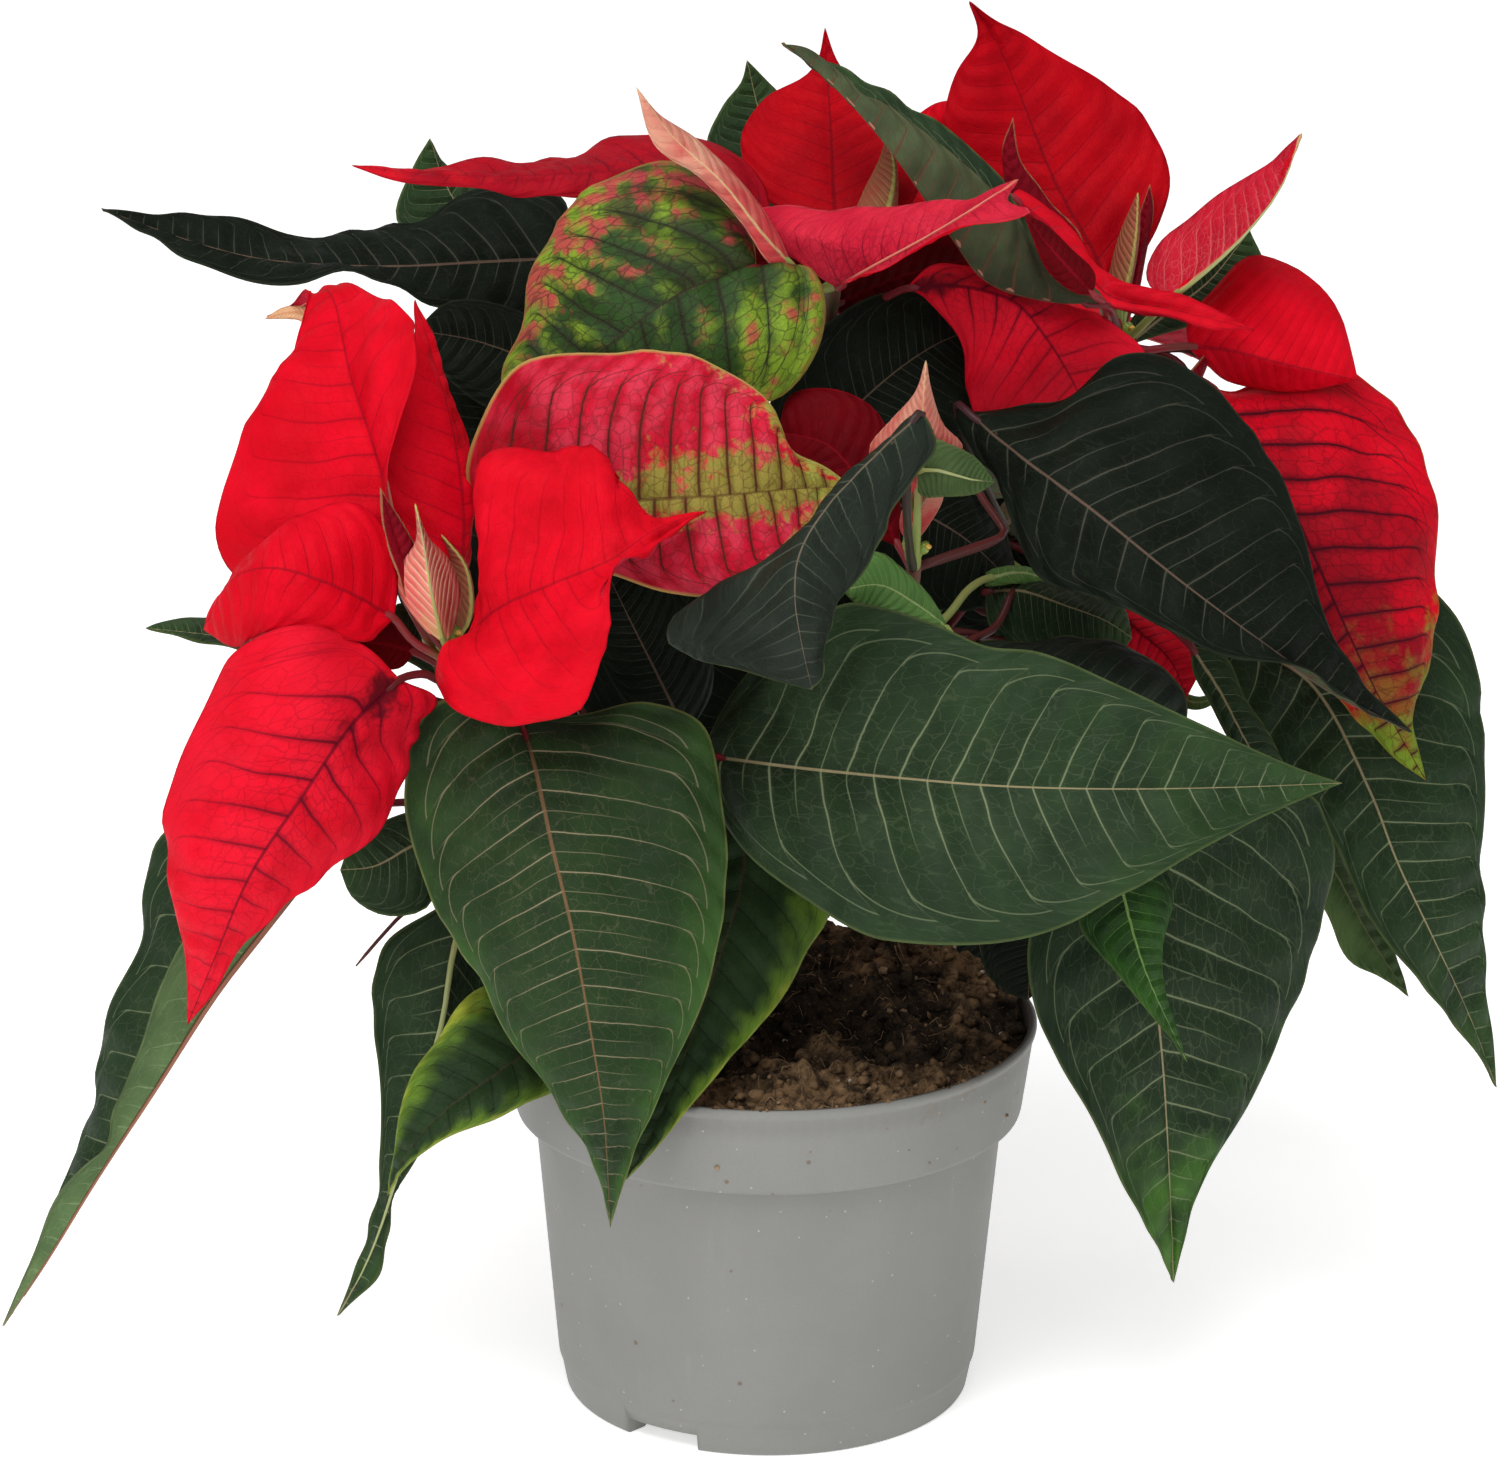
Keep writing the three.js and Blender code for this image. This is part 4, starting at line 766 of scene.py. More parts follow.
LOOKS = {
    "green": GREEN,
    "green_bright": change(
        GREEN, blade=(36, 57, 27), shade=(26, 45, 22), vein=(146, 136, 108), midrib=(120, 88, 62),
        side_width=0.026, web=0.035, rib_width=0.6, fine=0.12, side=0.72, rib=0.7,
        margin=(128, 132, 74), margin_share=0.5,
        patches=(
            # The first patch darkens the blade towards its base: painted shade.
            patch((12, 22, 10), 0.03, 0.15, 0.5, 0.5, outward=-0.1, tipward=-1.0),
            patch((60, 96, 38), 0.04, 1.0, 1.7, 0.75, outward=0.6, tipward=0.5),
        ),
    ),
    "green_arched": change(
        GREEN, blade=(31, 48, 27), shade=(23, 38, 22), fine=0.13,
        patches=(patch((66, 108, 36), 0.04, 1.1, 1.5, 0.8, tipward=1.0),),
    ),
    "green_fresh": change(
        GREEN, blade=(44, 84, 24), shade=(30, 62, 20), vein=(104, 140, 74), midrib=(120, 150, 80),
        margin_share=0.2,
        # The patch darkens the blade towards its base: painted shade.
        patches=(patch((18, 34, 16), 0.06, 0.1, 0.45, tipward=-0.8),),
    ),
    "green_mid": change(
        GREEN, blade=(76, 96, 54), shade=(52, 72, 38), vein=(104, 122, 80), midrib=(120, 120, 84),
        side=0.5,
    ),
    # A darker copy of the green for leaves inside the plant and behind others: painted shade.
    "green_dark": change(
        GREEN, blade=(19, 26, 18), shade=(13, 18, 12), vein=(88, 88, 76), midrib=(96, 78, 66),
        fine=0.06, side=0.42, margin=(60, 66, 50), margin_share=0.3, patches=(),
        shader={"Specular IOR Level": 0.04},
    ),
    "green_greyish": change(
        GREEN, blade=(31, 40, 31), shade=(23, 31, 24), vein=(98, 102, 86), midrib=(104, 92, 76),
        fine=0.06, side=0.4, patches=(),
    ),
    "green_edged": change(
        GREEN, blade=(38, 58, 28), shade=(28, 46, 24), vein=(22, 32, 18), midrib=(60, 50, 34),
        side_width=0.04, fine=0.35, halo=0.2, side=0.9, margin=(140, 150, 70), margin_share=0.5,
        patches=(
            patch((96, 126, 38), 0.05, 0.78, 1.15, 0.9, outward=0.6, between=0.05),
            patch((170, 176, 56), 0.06, 1.0, 1.24, 0.8, outward=0.6, across=0.004),
        ),
    ),
    "green_pale": change(
        GREEN, blade=(92, 132, 66), shade=(74, 112, 54), vein=(150, 172, 110), midrib=(160, 176, 116),
    ),
    "green_below": change(
        GREEN, blade=(72, 82, 54), shade=(54, 64, 42), vein=(84, 52, 38), midrib=(112, 66, 52),
        side_width=0.06, vein_fade=(0.5, 1.0, 0.8), vein_tip=1.0, fine=0.3, side=0.85,
        margin=(96, 84, 60), margin_share=0.3, rough=0.66,
        # The patch darkens the underside towards its base: painted shade.
        patches=(patch((34, 38, 26), 0.05, 0.05, 0.45, 0.7, tipward=-0.6),),
    ),
    "green_light_below": change(
        GREEN, blade=(92, 114, 72), shade=(74, 96, 60), vein=(126, 146, 104), midrib=(120, 104, 80),
        fine=0.25, side=0.6, margin=(120, 130, 96), rough=0.66, patches=(),
    ),
    "red": RED,
    "red_smooth": change(
        RED, blade=(208, 10, 32), shade=(192, 8, 26), pillow=1.0, fine=0.1, halo=0.06, side=0.4, rib=0.5,
        # The patch is soft darker creases over the blade: painted shade.
        patches=(patch((160, 4, 18), 0.09, 0.44, 0.72, 0.5),),
    ),
    "red_veined": change(
        RED, vein=(84, 8, 26), midrib=(84, 8, 26), side_width=0.055, rib_width=0.75, fine=0.34,
        halo=0.34, side=0.85, rib=0.7,
        patches=(
            patch((222, 34, 56), 0.05, 0.25, 0.6, 0.4),
            # The second patch darkens the blade near its base and midrib: partly the darker veins there,
            # partly painted shade near the petiole.
            patch((60, 14, 22), 0.12, 0.08, 0.36, 0.85, outward=-0.5, tipward=-1.4),
        ),
    ),
    "red_tipped": change(
        RED, blade=(204, 10, 32), shade=(180, 8, 28), vein=(62, 8, 20), midrib=(62, 8, 20),
        side_width=0.06, vein_fade=(0.5, 1.0, 0.6), vein_tip=1.0, fine=0.4, halo=0.5, side=0.95,
        rib=0.9, margin=(140, 120, 44), margin_share=0.5,
        patches=(
            patch((98, 14, 24), 0.06, 0.4, 0.9, 0.7, outward=-0.5, tipward=0.8),
            patch((104, 96, 34), 0.14, 1.42, 1.75, 0.6, outward=-0.25, tipward=1.5),
            patch((104, 130, 38), 0.16, 2.3, 2.65, 0.95, outward=0.3, tipward=2.2),
        ),
    ),
    # A darker copy of the red for bracts that stand farther back and get less light: painted shade.
    "red_deep": change(
        RED, blade=(176, 6, 20), shade=(150, 4, 16), vein=(104, 6, 20), midrib=(104, 6, 20), side=0.4,
    ),
    # A darker copy of the red for a folded bract in shade: painted shade. Its patch makes the blade lighter
    # towards the tip.
    "red_folded": change(
        RED, blade=(160, 14, 30), shade=(140, 10, 24), vein=(92, 8, 24), web=0.12, fine=0.4, side=0.7,
        patches=(patch((186, 16, 30), 0.05, 0.9, 1.1, tipward=0.6),),
    ),
    "red_shadowed": change(
        RED, blade=(206, 16, 36), shade=(186, 10, 28), vein=(150, 40, 52),
        patches=(patch((88, 2, 12), 0.03, 0.3, 0.6, tipward=-1.0, across=0.2),),
    ),
    # A much darker copy of the red for bracts deep inside the plant: painted shade.
    "red_dark": change(
        RED, blade=(100, 3, 11), shade=(74, 2, 8),
    ),
    "red_below": change(
        RED, blade=(198, 42, 62), shade=(176, 24, 46), vein=(116, 14, 34), midrib=(196, 122, 100),
        side_width=0.06, web=0.12, fine=0.55, side=0.85, margin=(196, 90, 96), rough=0.62,
    ),
    "red_ribbed": change(
        RED, blade=(188, 26, 48), shade=(168, 18, 40), vein=(212, 112, 110), midrib=(186, 150, 104),
        rib_width=1.0, vein_fade=(0.3, 1.0, 0.5), fine=0.3, halo=0.3, side=0.6, rib=0.9,
        margin=(176, 50, 60), rough=0.6,
    ),
    "pink_bud": change(
        RED, blade=(228, 140, 124), shade=(214, 92, 92), vein=(230, 194, 160), midrib=(170, 180, 96),
        side_width=0.2, rib_width=1.1, vein_fade=(0.4, 1.0, 0.6), vein_tip=0.9, fine=0.05, halo=0.25,
        side=0.85, rib=0.95, margin=(196, 150, 110),
        patches=(
            patch((160, 34, 42), 0.06, 0.75, 1.0, 0.8, across=-0.2),
            patch((186, 178, 96), 0.06, 0.25, 0.45, tipward=-1.0),
        ),
    ),
    "pink_young": change(
        RED, blade=(206, 156, 130), shade=(190, 116, 100), vein=(176, 84, 80), midrib=(190, 172, 122),
        side_width=0.1, rib_width=0.5, fine=0.3, halo=0.2, rib=0.7, margin=(220, 186, 150),
        patches=(patch((176, 40, 52), 0.12, -0.3, 0.3, 0.9, tipward=-1.0),),
    ),
    # A darker copy of the red with a beige margin, for narrow inner bracts: painted shade, with the margin
    # their own colour.
    "red_edged": change(
        RED, blade=(128, 12, 28), shade=(106, 10, 24), fine=0.0, side=0.2, margin=(168, 118, 84),
        margin_width=0.5, margin_share=0.7,
    ),
    "olive_bud": change(
        RED, blade=(138, 92, 62), shade=(150, 60, 56), vein=(158, 132, 84), midrib=(170, 164, 92),
        side_width=0.2, rib_width=0.9, fine=0.05, side=0.6, rib=0.95, margin=(160, 140, 84),
    ),
    "peach_tip": change(
        RED, blade=(224, 182, 140), shade=(206, 150, 110), vein=(190, 110, 80), midrib=(190, 130, 90),
        margin=(170, 80, 60),
    ),
    "mottled_red": change(
        RED, blade=(196, 24, 50), shade=(166, 12, 36), vein=(70, 30, 24), midrib=(84, 54, 30),
        side_width=0.07, web=0.09, rib_width=0.9, vein_fade=(0.6, 1.0, 0.6), vein_tip=1.0, fine=0.4,
        halo=0.38, side=0.9, margin=(170, 160, 90), margin_width=1.0, margin_share=0.7,
        patches=(
            patch((206, 62, 84), 0.1, 0.5, 0.8, 0.6, between=0.15, cell=0.08),
            patch((150, 4, 20), 0.06, 0.05, 0.4, 0.85, tipward=-1.0),
            patch((116, 136, 54), 0.3, 0.46, 0.72, 0.8, outward=-1.2, tipward=0.6, cell=0.05),
            patch((146, 164, 72), 0.3, 1.66, 1.95, 0.8, outward=0.35, tipward=1.2, cell=0.06),
        ),
    ),
    "mottled_green": change(
        GREEN, blade=(44, 72, 28), shade=(30, 52, 22), vein=(34, 32, 20), midrib=(44, 36, 22),
        side_width=0.045, web=0.1, vein_fade=(0.6, 1.0, 0.7), vein_tip=1.0, fine=0.6, halo=0.4,
        side=0.85, margin=(150, 120, 60), margin_share=0.6,
        patches=(
            patch((122, 150, 40), 0.06, 0.68, 0.95, 0.9, outward=0.3, tipward=0.1, between=0.12, cell=0.07),
            # The second patch darkens one half of the blade near its base: painted shade.
            patch((52, 44, 28), 0.04, 0.25, 0.5, 0.85, tipward=-0.8, across=0.006),
            patch((172, 44, 64), 0.14, 0.78, 1.02, 0.85, outward=0.25, between=0.14, across=0.003, cell=0.1),
        ),
    ),
}

# Each skin: its material slot in the record, the looks of its upper face, underside and petiole, and
# how its blade is built. veins is how many side veins a half has, lean and bow how far they slope and
# curve towards the tip, quilt, wave, ruffle and crease are heights in millimetres, and ridge is how
# thick the midrib stands out below.
GREEN_SKIN = dict(
    slot="green", upper="green", lower="green_below", petiole="petiole_red",
    veins=13, lean=0.42, bow=0.15, quilt=1.0, wave=1.0, ruffle=0.6, crease=0.0, ridge=0.72,
)
RED_SKIN = dict(
    slot="red", upper="red", lower="red_below", petiole="petiole_pink",
    veins=12, lean=0.35, bow=0.2, quilt=0.7, wave=1.2, ruffle=0.8, crease=0.12, ridge=0.42,
)
BUD_SKIN = dict(
    slot="pink_young", upper="pink_young", lower="pink_young", petiole="petiole_green",
    veins=13, lean=0.9, bow=0.2, quilt=0.2, wave=0.2, ruffle=0.1, crease=0.0, ridge=0.3,
)
SKINS = {
    "green": GREEN_SKIN,
    "green_bright": change(
        GREEN_SKIN, slot="green_bright", upper="green_bright", veins=15, lean=0.26, bow=0.25),
    "green_fresh": change(
        GREEN_SKIN, slot="green_bright", upper="green_fresh", petiole="petiole_green"),
    "green_arched": change(GREEN_SKIN, upper="green_arched", veins=9, bow=0.35, quilt=1.4),
    "green_mid": change(GREEN_SKIN, upper="green_mid", petiole="petiole_green"),
    "green_greyish": change(
        GREEN_SKIN, slot="green_dark", upper="green_greyish", petiole="petiole_dark", veins=9),
    "green_paler_below": change(GREEN_SKIN, lower="green_light_below"),
    "green_rounded": change(GREEN_SKIN, slot="green_edged", veins=6, quilt=0.4, bow=0.3),
    "green_dark": change(
        GREEN_SKIN, slot="green_dark", upper="green_dark", petiole="petiole_dark"),
    "green_edged": change(GREEN_SKIN, slot="green_edged", upper="green_edged"),
    "green_pale": change(
        GREEN_SKIN, slot="green_pale", upper="green_pale", petiole="petiole_green"),
    "green_under": change(GREEN_SKIN, slot="green_under"),
    "green_turned": change(GREEN_SKIN, slot="green_under", upper="green_below", lower="green"),
    "green_same": change(
        GREEN_SKIN, slot="green_under", lower="green", petiole="petiole_green", veins=11),
    "green_flat": change(
        GREEN_SKIN, slot="green_under", upper="green_mid", lower="green_mid",
        petiole="petiole_green", quilt=0.6),
    "red": RED_SKIN,
    "red_deep": change(RED_SKIN, upper="red_deep"),
    "red_folded": change(RED_SKIN, upper="red_folded"),
    "red_shadowed": change(RED_SKIN, upper="red_shadowed"),
    "red_smooth": change(
        RED_SKIN, slot="red_smooth", upper="red_smooth", quilt=0.6, wave=3.0, ruffle=1.6, crease=0.4),
    "red_veined": change(RED_SKIN, slot="red_veined", upper="red_veined", petiole="petiole_red"),
    "red_tipped": change(RED_SKIN, slot="red_tipped", upper="red_tipped", veins=13),
    "red_dark": change(RED_SKIN, slot="red_dark", upper="red_dark"),
    "red_edged": change(
        RED_SKIN, slot="red_dark", upper="red_edged", petiole="petiole_red", quilt=0.2),
    "pink_under": change(RED_SKIN, slot="pink_under"),
    "pink_ribbed": change(
        RED_SKIN, slot="pink_under", lower="red_ribbed", petiole="petiole_green", quilt=1.0),
    "pink_young": BUD_SKIN,
    "pink_bud": change(BUD_SKIN, slot="pink_bud", upper="pink_bud", lower="pink_bud"),
    "peach_tip": change(BUD_SKIN, upper="peach_tip", lower="peach_tip"),
    "olive_bud": change(BUD_SKIN, upper="olive_bud", lower="olive_bud"),
    "mottled_red": change(
        RED_SKIN, slot="mottled_red", upper="mottled_red", petiole="petiole_red", veins=13,
        quilt=1.3, lean=0.0),
    "mottled_green": change(
        GREEN_SKIN, slot="mottled_green", upper="mottled_green", veins=8, bow=0.3, lean=0.4,
        quilt=1.1),
}

# Each petiole's tint, its second shade, the tints under the blade and at its root, and a seed.
PETIOLES = {
    "petiole_red": [(104, 18, 28), (76, 24, 26), (140, 92, 72), (78, 34, 30), 1.0],
    "petiole_pink": [(136, 28, 40), (112, 44, 40), (196, 116, 100), (150, 140, 74), 3.0],
    "petiole_dark": [(58, 26, 30), (44, 34, 28), (84, 66, 52), (56, 56, 34), 4.0],
    "petiole_green": [(132, 148, 78), (128, 118, 70), (150, 156, 104), (146, 160, 84), 2.0],
}

made_finishes = {}


def finish(name):
    """The material of that name, made once."""
    if name not in made_finishes:
        if name in PETIOLES:
            made_finishes[name] = petiole_material(name, *PETIOLES[name])
        else:
            made_finishes[name] = leaf_material(name, LOOKS[name])
    return made_finishes[name]


# ---------------------------------------------------------------- pot

def pot_profile():
    """The pot's wall as a closed loop of [radius, height], from under the middle and round."""
    inner_neck = NECK_RADIUS - WALL
    inner_band = BAND_RADIUS - WALL
    inner_foot = FOOT_LINE_RADIUS - WALL
    return [
        (0.0, 0.0), (PAD_RADIUS - 0.4, 0.0), (PAD_RADIUS, 0.4), (PAD_RADIUS + 0.6, RECESS_HEIGHT - 0.3),
        (PAD_RADIUS + 1.0, RECESS_HEIGHT), (25.0, RECESS_HEIGHT), (RING_INNER_RADIUS - 0.8, RECESS_HEIGHT),
        (RING_INNER_RADIUS - 0.3, RECESS_HEIGHT - 0.4), (RING_INNER_RADIUS, 0.3),
        (RING_INNER_RADIUS + 0.5, 0.0), (FOOT_RADIUS - 1.2, 0.0), (FOOT_RADIUS - 0.4, 0.25),
        (FOOT_RADIUS, 0.9), (FOOT_LINE_RADIUS - 0.45, FOOT_LINE_HEIGHT - 0.7),
        (FOOT_LINE_RADIUS - 0.3, FOOT_LINE_HEIGHT - 0.15), (FOOT_LINE_RADIUS, FOOT_LINE_HEIGHT + 0.1),
        (FOOT_LINE_RADIUS + 0.15, FOOT_LINE_HEIGHT + 1.2), (NECK_RADIUS - 0.05, BAND_BOTTOM - 1.2),
        (NECK_RADIUS + 0.15, BAND_BOTTOM - 0.3), (NECK_RADIUS + 0.6, BAND_BOTTOM),
        (BAND_RADIUS - 1.0, BAND_BOTTOM + 0.15), (BAND_RADIUS - 0.35, BAND_BOTTOM + 0.5),
        (BAND_RADIUS - 0.1, BAND_BOTTOM + 1.4), (RIM_RADIUS - 0.75, POT_HEIGHT - 3.0),
        (RIM_RADIUS - 0.6, POT_HEIGHT - 2.4), (RIM_RADIUS - 0.15, POT_HEIGHT - 1.9),
        (RIM_RADIUS, POT_HEIGHT - 1.3), (RIM_RADIUS - 0.05, POT_HEIGHT - 0.5),
        (RIM_RADIUS - 0.5, POT_HEIGHT - 0.05), (RIM_RADIUS - WALL + 0.3, POT_HEIGHT),
        (RIM_RADIUS - WALL - 0.2, POT_HEIGHT - 0.3), (RIM_RADIUS - WALL - 0.45, POT_HEIGHT - 1.2),
        (inner_band, BAND_BOTTOM + 2.4), (inner_band - 0.6, BAND_BOTTOM + WALL),
        (inner_neck + 0.2, BAND_BOTTOM + WALL - 0.3), (inner_neck, BAND_BOTTOM + 0.2),
        (inner_foot, FOOT_LINE_HEIGHT + 0.5), (inner_foot - 2.0, FLOOR_TOP), (25.0, FLOOR_TOP),
        (0.0, FLOOR_TOP),
    ]


def pot_angles(count):
    """Even steps round the pot, with a close pair at either side of each notch."""
    angles = {round(360.0 * k / count, 4) for k in range(count)}
    for middle in NOTCH_ANGLES:
        for side in (-NOTCH_HALF_ANGLE, NOTCH_HALF_ANGLE):
            for step in (-NOTCH_EDGE, NOTCH_EDGE):
                angles.add(round((middle + side + step) % 360.0, 4))
    return sorted(angles)


def in_notch(angle):
    """Whether the angle, in degrees, is inside one of the foot's notches."""
    return any(abs((angle - middle + 180) % 360 - 180) < NOTCH_HALF_ANGLE for middle in NOTCH_ANGLES)


def turned_body(profile, angles, height_at):
    """Vertices and faces of a body turned round the upright axis.

    profile is a row of [radius, height] that starts and ends on the axis, angles are in degrees, and
    height_at gives the height to use at an angle, radius and height.
    """
    vertices = [(0.0, 0.0, height_at(0.0, *profile[0])), (0.0, 0.0, height_at(0.0, *profile[-1]))]
    for angle in angles:
        turn = math.radians(angle)
        for radius, height in profile[1:-1]:
            height = height_at(angle, radius, height)
            vertices.append((radius * math.cos(turn), radius * math.sin(turn), height))
    loops = len(profile) - 2
    faces = []
    for k in range(len(angles)):
        near = 2 + k * loops
        far = 2 + (k + 1) % len(angles) * loops
        faces.append((0, far, near))
        faces.append((1, near + loops - 1, far + loops - 1))
        for step in range(loops - 1):
            faces.append((near + step, far + step, far + step + 1, near + step + 1))
    return vertices, faces


def foot_height(angle, radius, height):
    """The height of the pot's wall, raised where a notch is."""
    if in_notch(angle) and radius > RING_INNER_RADIUS - 1 and height < NOTCH_HEIGHT:
        return NOTCH_HEIGHT - 0.2 * (NOTCH_HEIGHT - height) / NOTCH_HEIGHT
    return height


def cut(made, tool_shape):
    """Cuts the tool's solids out of the object's mesh."""
    tool_mesh = bpy.data.meshes.new("cutter")
    tool_mesh.from_pydata([[c * MM for c in v] for v in tool_shape.vertices], [], tool_shape.faces)
    tool = linked("cutter", tool_mesh)
    step = made.modifiers.new("cut", "BOOLEAN")
    step.operation = "DIFFERENCE"
    step.solver = "EXACT"
    step.object = tool
    bpy.context.view_layer.update()
    ready = made.evaluated_get(bpy.context.evaluated_depsgraph_get())
    mesh = bpy.data.meshes.new_from_object(ready)
    made.modifiers.clear()
    made.data = mesh
    bpy.data.objects.remove(tool)
    bpy.data.meshes.remove(tool_mesh)


def pot_material():
    """Matt recycled grey plastic: fine pits, pale specks, faint scuffs and dried water marks."""
    net = Net("pot_plastic")
    spot = net.spot()
    cloud = net.noise(spot, 28.0, 4.0, 0.6)
    grain = net.noise(spot, 2600.0, 2.0)
    specks = net.cells(spot, 230.0)
    dots = net.cells(spot, 90.0)
    streaks = net.noise(net.squeezed(spot, 0.12), 160.0, 3.0, 0.7)
    base = net.mix(net.ramp(cloud, 0.3, 0.75), colour(125, 125, 121), colour(120, 120, 116))
    base = net.mix(net.ramp(grain, 0.35, 0.7, 0.0, 0.3), base, colour(112, 112, 108))
    base = net.mix(net.ramp(streaks, 0.6, 0.85, 0.0, 0.15), base, colour(160, 159, 154))
    base = net.mix(net.ramp(specks, 0.04, 0.08, 0.6, 0.0), base, colour(184, 182, 172))
    base = net.mix(net.ramp(dots, 0.04, 0.065, 0.75, 0.0), base, colour(96, 78, 60))

    # The wall's inside is darkened, part soil stain and part painted shade, and dirt gathers on the outside
    # towards the rim.
    x, y, z = net.parts(spot)
    wall = net.ramp(z, BAND_BOTTOM * MM, POT_HEIGHT * MM,
                    (BAND_RADIUS - WALL / 2) * MM, (RIM_RADIUS - WALL / 2) * MM)
    depth = net.math("SUBTRACT", wall, net.away(x, y))
    inside = net.times(net.ramp(depth, -0.3 * MM, 0.3 * MM, 0.0, 0.85),
                       net.ramp(z, (BAND_BOTTOM + 2) * MM, (BAND_BOTTOM + 6) * MM))
    base = net.mix(inside, base, colour(46, 38, 32))
    smudge = net.noise(spot, 75.0, 5.0, 0.75)
    high = net.ramp(z, BAND_BOTTOM * MM, (POT_HEIGHT - 3) * MM, 0.0, 0.16)
    dirt = net.ramp(net.math("ADD", smudge, high), 0.72, 0.86, 0.0, 0.55)
    base = net.mix(dirt, base, colour(112, 98, 80))
    roughness = net.ramp(cloud, 0.3, 0.7, 0.54, 0.6)
    normal = net.bump(net.times(specks, 0.3, grain), 0.22, 0.08)
    return net.finish(base, roughness, normal, **{"Specular IOR Level": 0.4})


def make_pot():
    """The pot, in place of the frame's."""
    shape = Shape()
    shape.add(*turned_body(pot_profile(), pot_angles(POT_SIDES), foot_height))
    made = shape.piece("pot_shell", [pot_material()], "pot", ("pot",))
    tools = Shape()
    for hole in range(DRAIN_COUNT):
        turn = math.radians(hole * 360 / DRAIN_COUNT + FIRST_DRAIN_ANGLE)
        foot = np.array([DRAIN_CIRCLE * math.cos(turn), DRAIN_CIRCLE * math.sin(turn), 0.0])
        centres = [foot + (0, 0, height) for height in (-2.0, FLOOR_TOP / 2, 2 * FLOOR_TOP)]
        tools.add(*tube(centres, [DRAIN_RADIUS] * 3, 24))
    cut(made, tools)


# ---------------------------------------------------------------- soil

def from_trunk(x, y):
    """How far a point is from the trunk's axis."""
    return math.hypot(x - TRUNK_FOOT[0], y - TRUNK_FOOT[1])


def soil_height(x, y):
    """The lumpy top of the soil, level in a patch round the trunk's foot."""
    radius = math.hypot(x, y)
    mound = SOIL_MOUND * (1 - (radius / SOIL_EDGE_RADIUS) ** 2)
    where = Vector((x, y, 4.0))
    clods = 4.6 * noise.noise(where * 0.075) + 4.0 * noise.noise(where * 0.19)
    ridge = abs(noise.noise(where * 0.4 + Vector((9, 2, 5))))
    crumbs = 3.0 * ridge + 1.0 * noise.noise(where * 0.8) + 0.5 * noise.noise(where * 1.9)
    edge = 1 - smoothstep(SOIL_EDGE_RADIUS - 5, SOIL_EDGE_RADIUS, radius)
    bank = SOIL_BANK * smoothstep(-5.0, 48.0, y)
    heaps = sum(
        height * math.exp(-((x - heap_x) / wide) ** 2 - ((y - heap_y) / deep) ** 2)
        for heap_x, heap_y, wide, deep, height in SOIL_HEAPS)
    uneven = (clods + crumbs) * (0.25 + 0.75 * edge)
    open_top = SOIL_EDGE_HEIGHT + 0.6 + mound + bank + heaps + uneven
    level = smoothstep(7.0, 18.0, from_trunk(x, y))
    return TRUNK_START - 0.5 + (open_top - TRUNK_START + 0.5) * level + 0.4 * crumbs * (1 - level)


def soil_material():
    """Damp peat: dark brown, with reddish and black crumbs and a fibrous grain."""
    net = Net("peat")
    spot = net.spot()
    coarse = net.noise(spot, 240.0, 6.0, 0.7)
    fine = net.noise(spot, 1300.0, 4.0, 0.7)
    grains = net.cells(spot, 620.0, "Color")

    # The soil is paler where it has dried out near the pot's wall and where it stands high. It is also paler
    # towards the front and darker towards the back: painted light and shade.
    x, y, z = net.parts(spot)
    dry_and_lit = net.times(net.ramp(net.away(x, y), 30.0 * MM, 60.0 * MM), 0.3, net.noise(spot, 70.0, 3.0))
    # Paler at the front, darker at the back: painted light and shade.
    front = net.ramp(y, 10.0 * MM, -45.0 * MM, -0.25, 0.12)
    high = net.ramp(z, 92.0 * MM, 99.0 * MM, -0.08, 0.25)
    dry_and_lit = net.ramp(net.math("ADD", net.math("ADD", dry_and_lit, front), high), 0.45, 0.8)
    damp = net.mix(net.ramp(coarse, 0.35, 0.65), colour(12, 10, 8), colour(58, 46, 33))
    crust_and_lit = net.mix(net.ramp(coarse, 0.35, 0.62), colour(42, 31, 22), colour(142, 112, 80))
    base = net.mix(dry_and_lit, damp, crust_and_lit)
    base = net.mix(net.ramp(fine, 0.55, 0.75, 0.0, 0.6), base, colour(150, 124, 90))
    base = net.mix(net.ramp(grains, 0.72, 0.9, 0.0, 0.5), base, colour(16, 12, 9))
    normal = net.bump(net.times(coarse, 2.0, fine), 0.9, 0.7)
    return net.finish(base, 0.93, normal, **{"Specular IOR Level": 0.2})


def make_soil():
    """The soil, in place of the frame's. Its top's heights come from soil_height."""
    lower = [
        (0.0, SOIL_BOTTOM), (20.0, SOIL_BOTTOM), (FOOT_LINE_RADIUS - WALL - 2.6, SOIL_BOTTOM),
        (FOOT_LINE_RADIUS - WALL - 0.6, FOOT_LINE_HEIGHT + 0.8),
        (NECK_RADIUS - WALL - 0.8, BAND_BOTTOM + 0.4), (NECK_RADIUS - WALL - 0.5, BAND_BOTTOM + 2.0),
        (BAND_RADIUS - WALL - 0.8, BAND_BOTTOM + 3.0), (SOIL_EDGE_RADIUS, SOIL_EDGE_HEIGHT - 0.8),
    ]
    shares = [ring / SOIL_RINGS for ring in range(SOIL_RINGS + 1)]
    upper = [(SOIL_EDGE_RADIUS * (1 - share ** 1.15), None) for share in shares]
    angles = [360 * side / SOIL_SIDES for side in range(SOIL_SIDES)]

    def height_at(angle, radius, height):
        if height is not None:
            return height
        turn = math.radians(angle)
        return soil_height(radius * math.cos(turn), radius * math.sin(turn))

    shape = Shape()
    shape.add(*turned_body(lower + upper, angles, height_at))
    shape.piece("soil_body", [soil_material()], "soil", ("soil",))


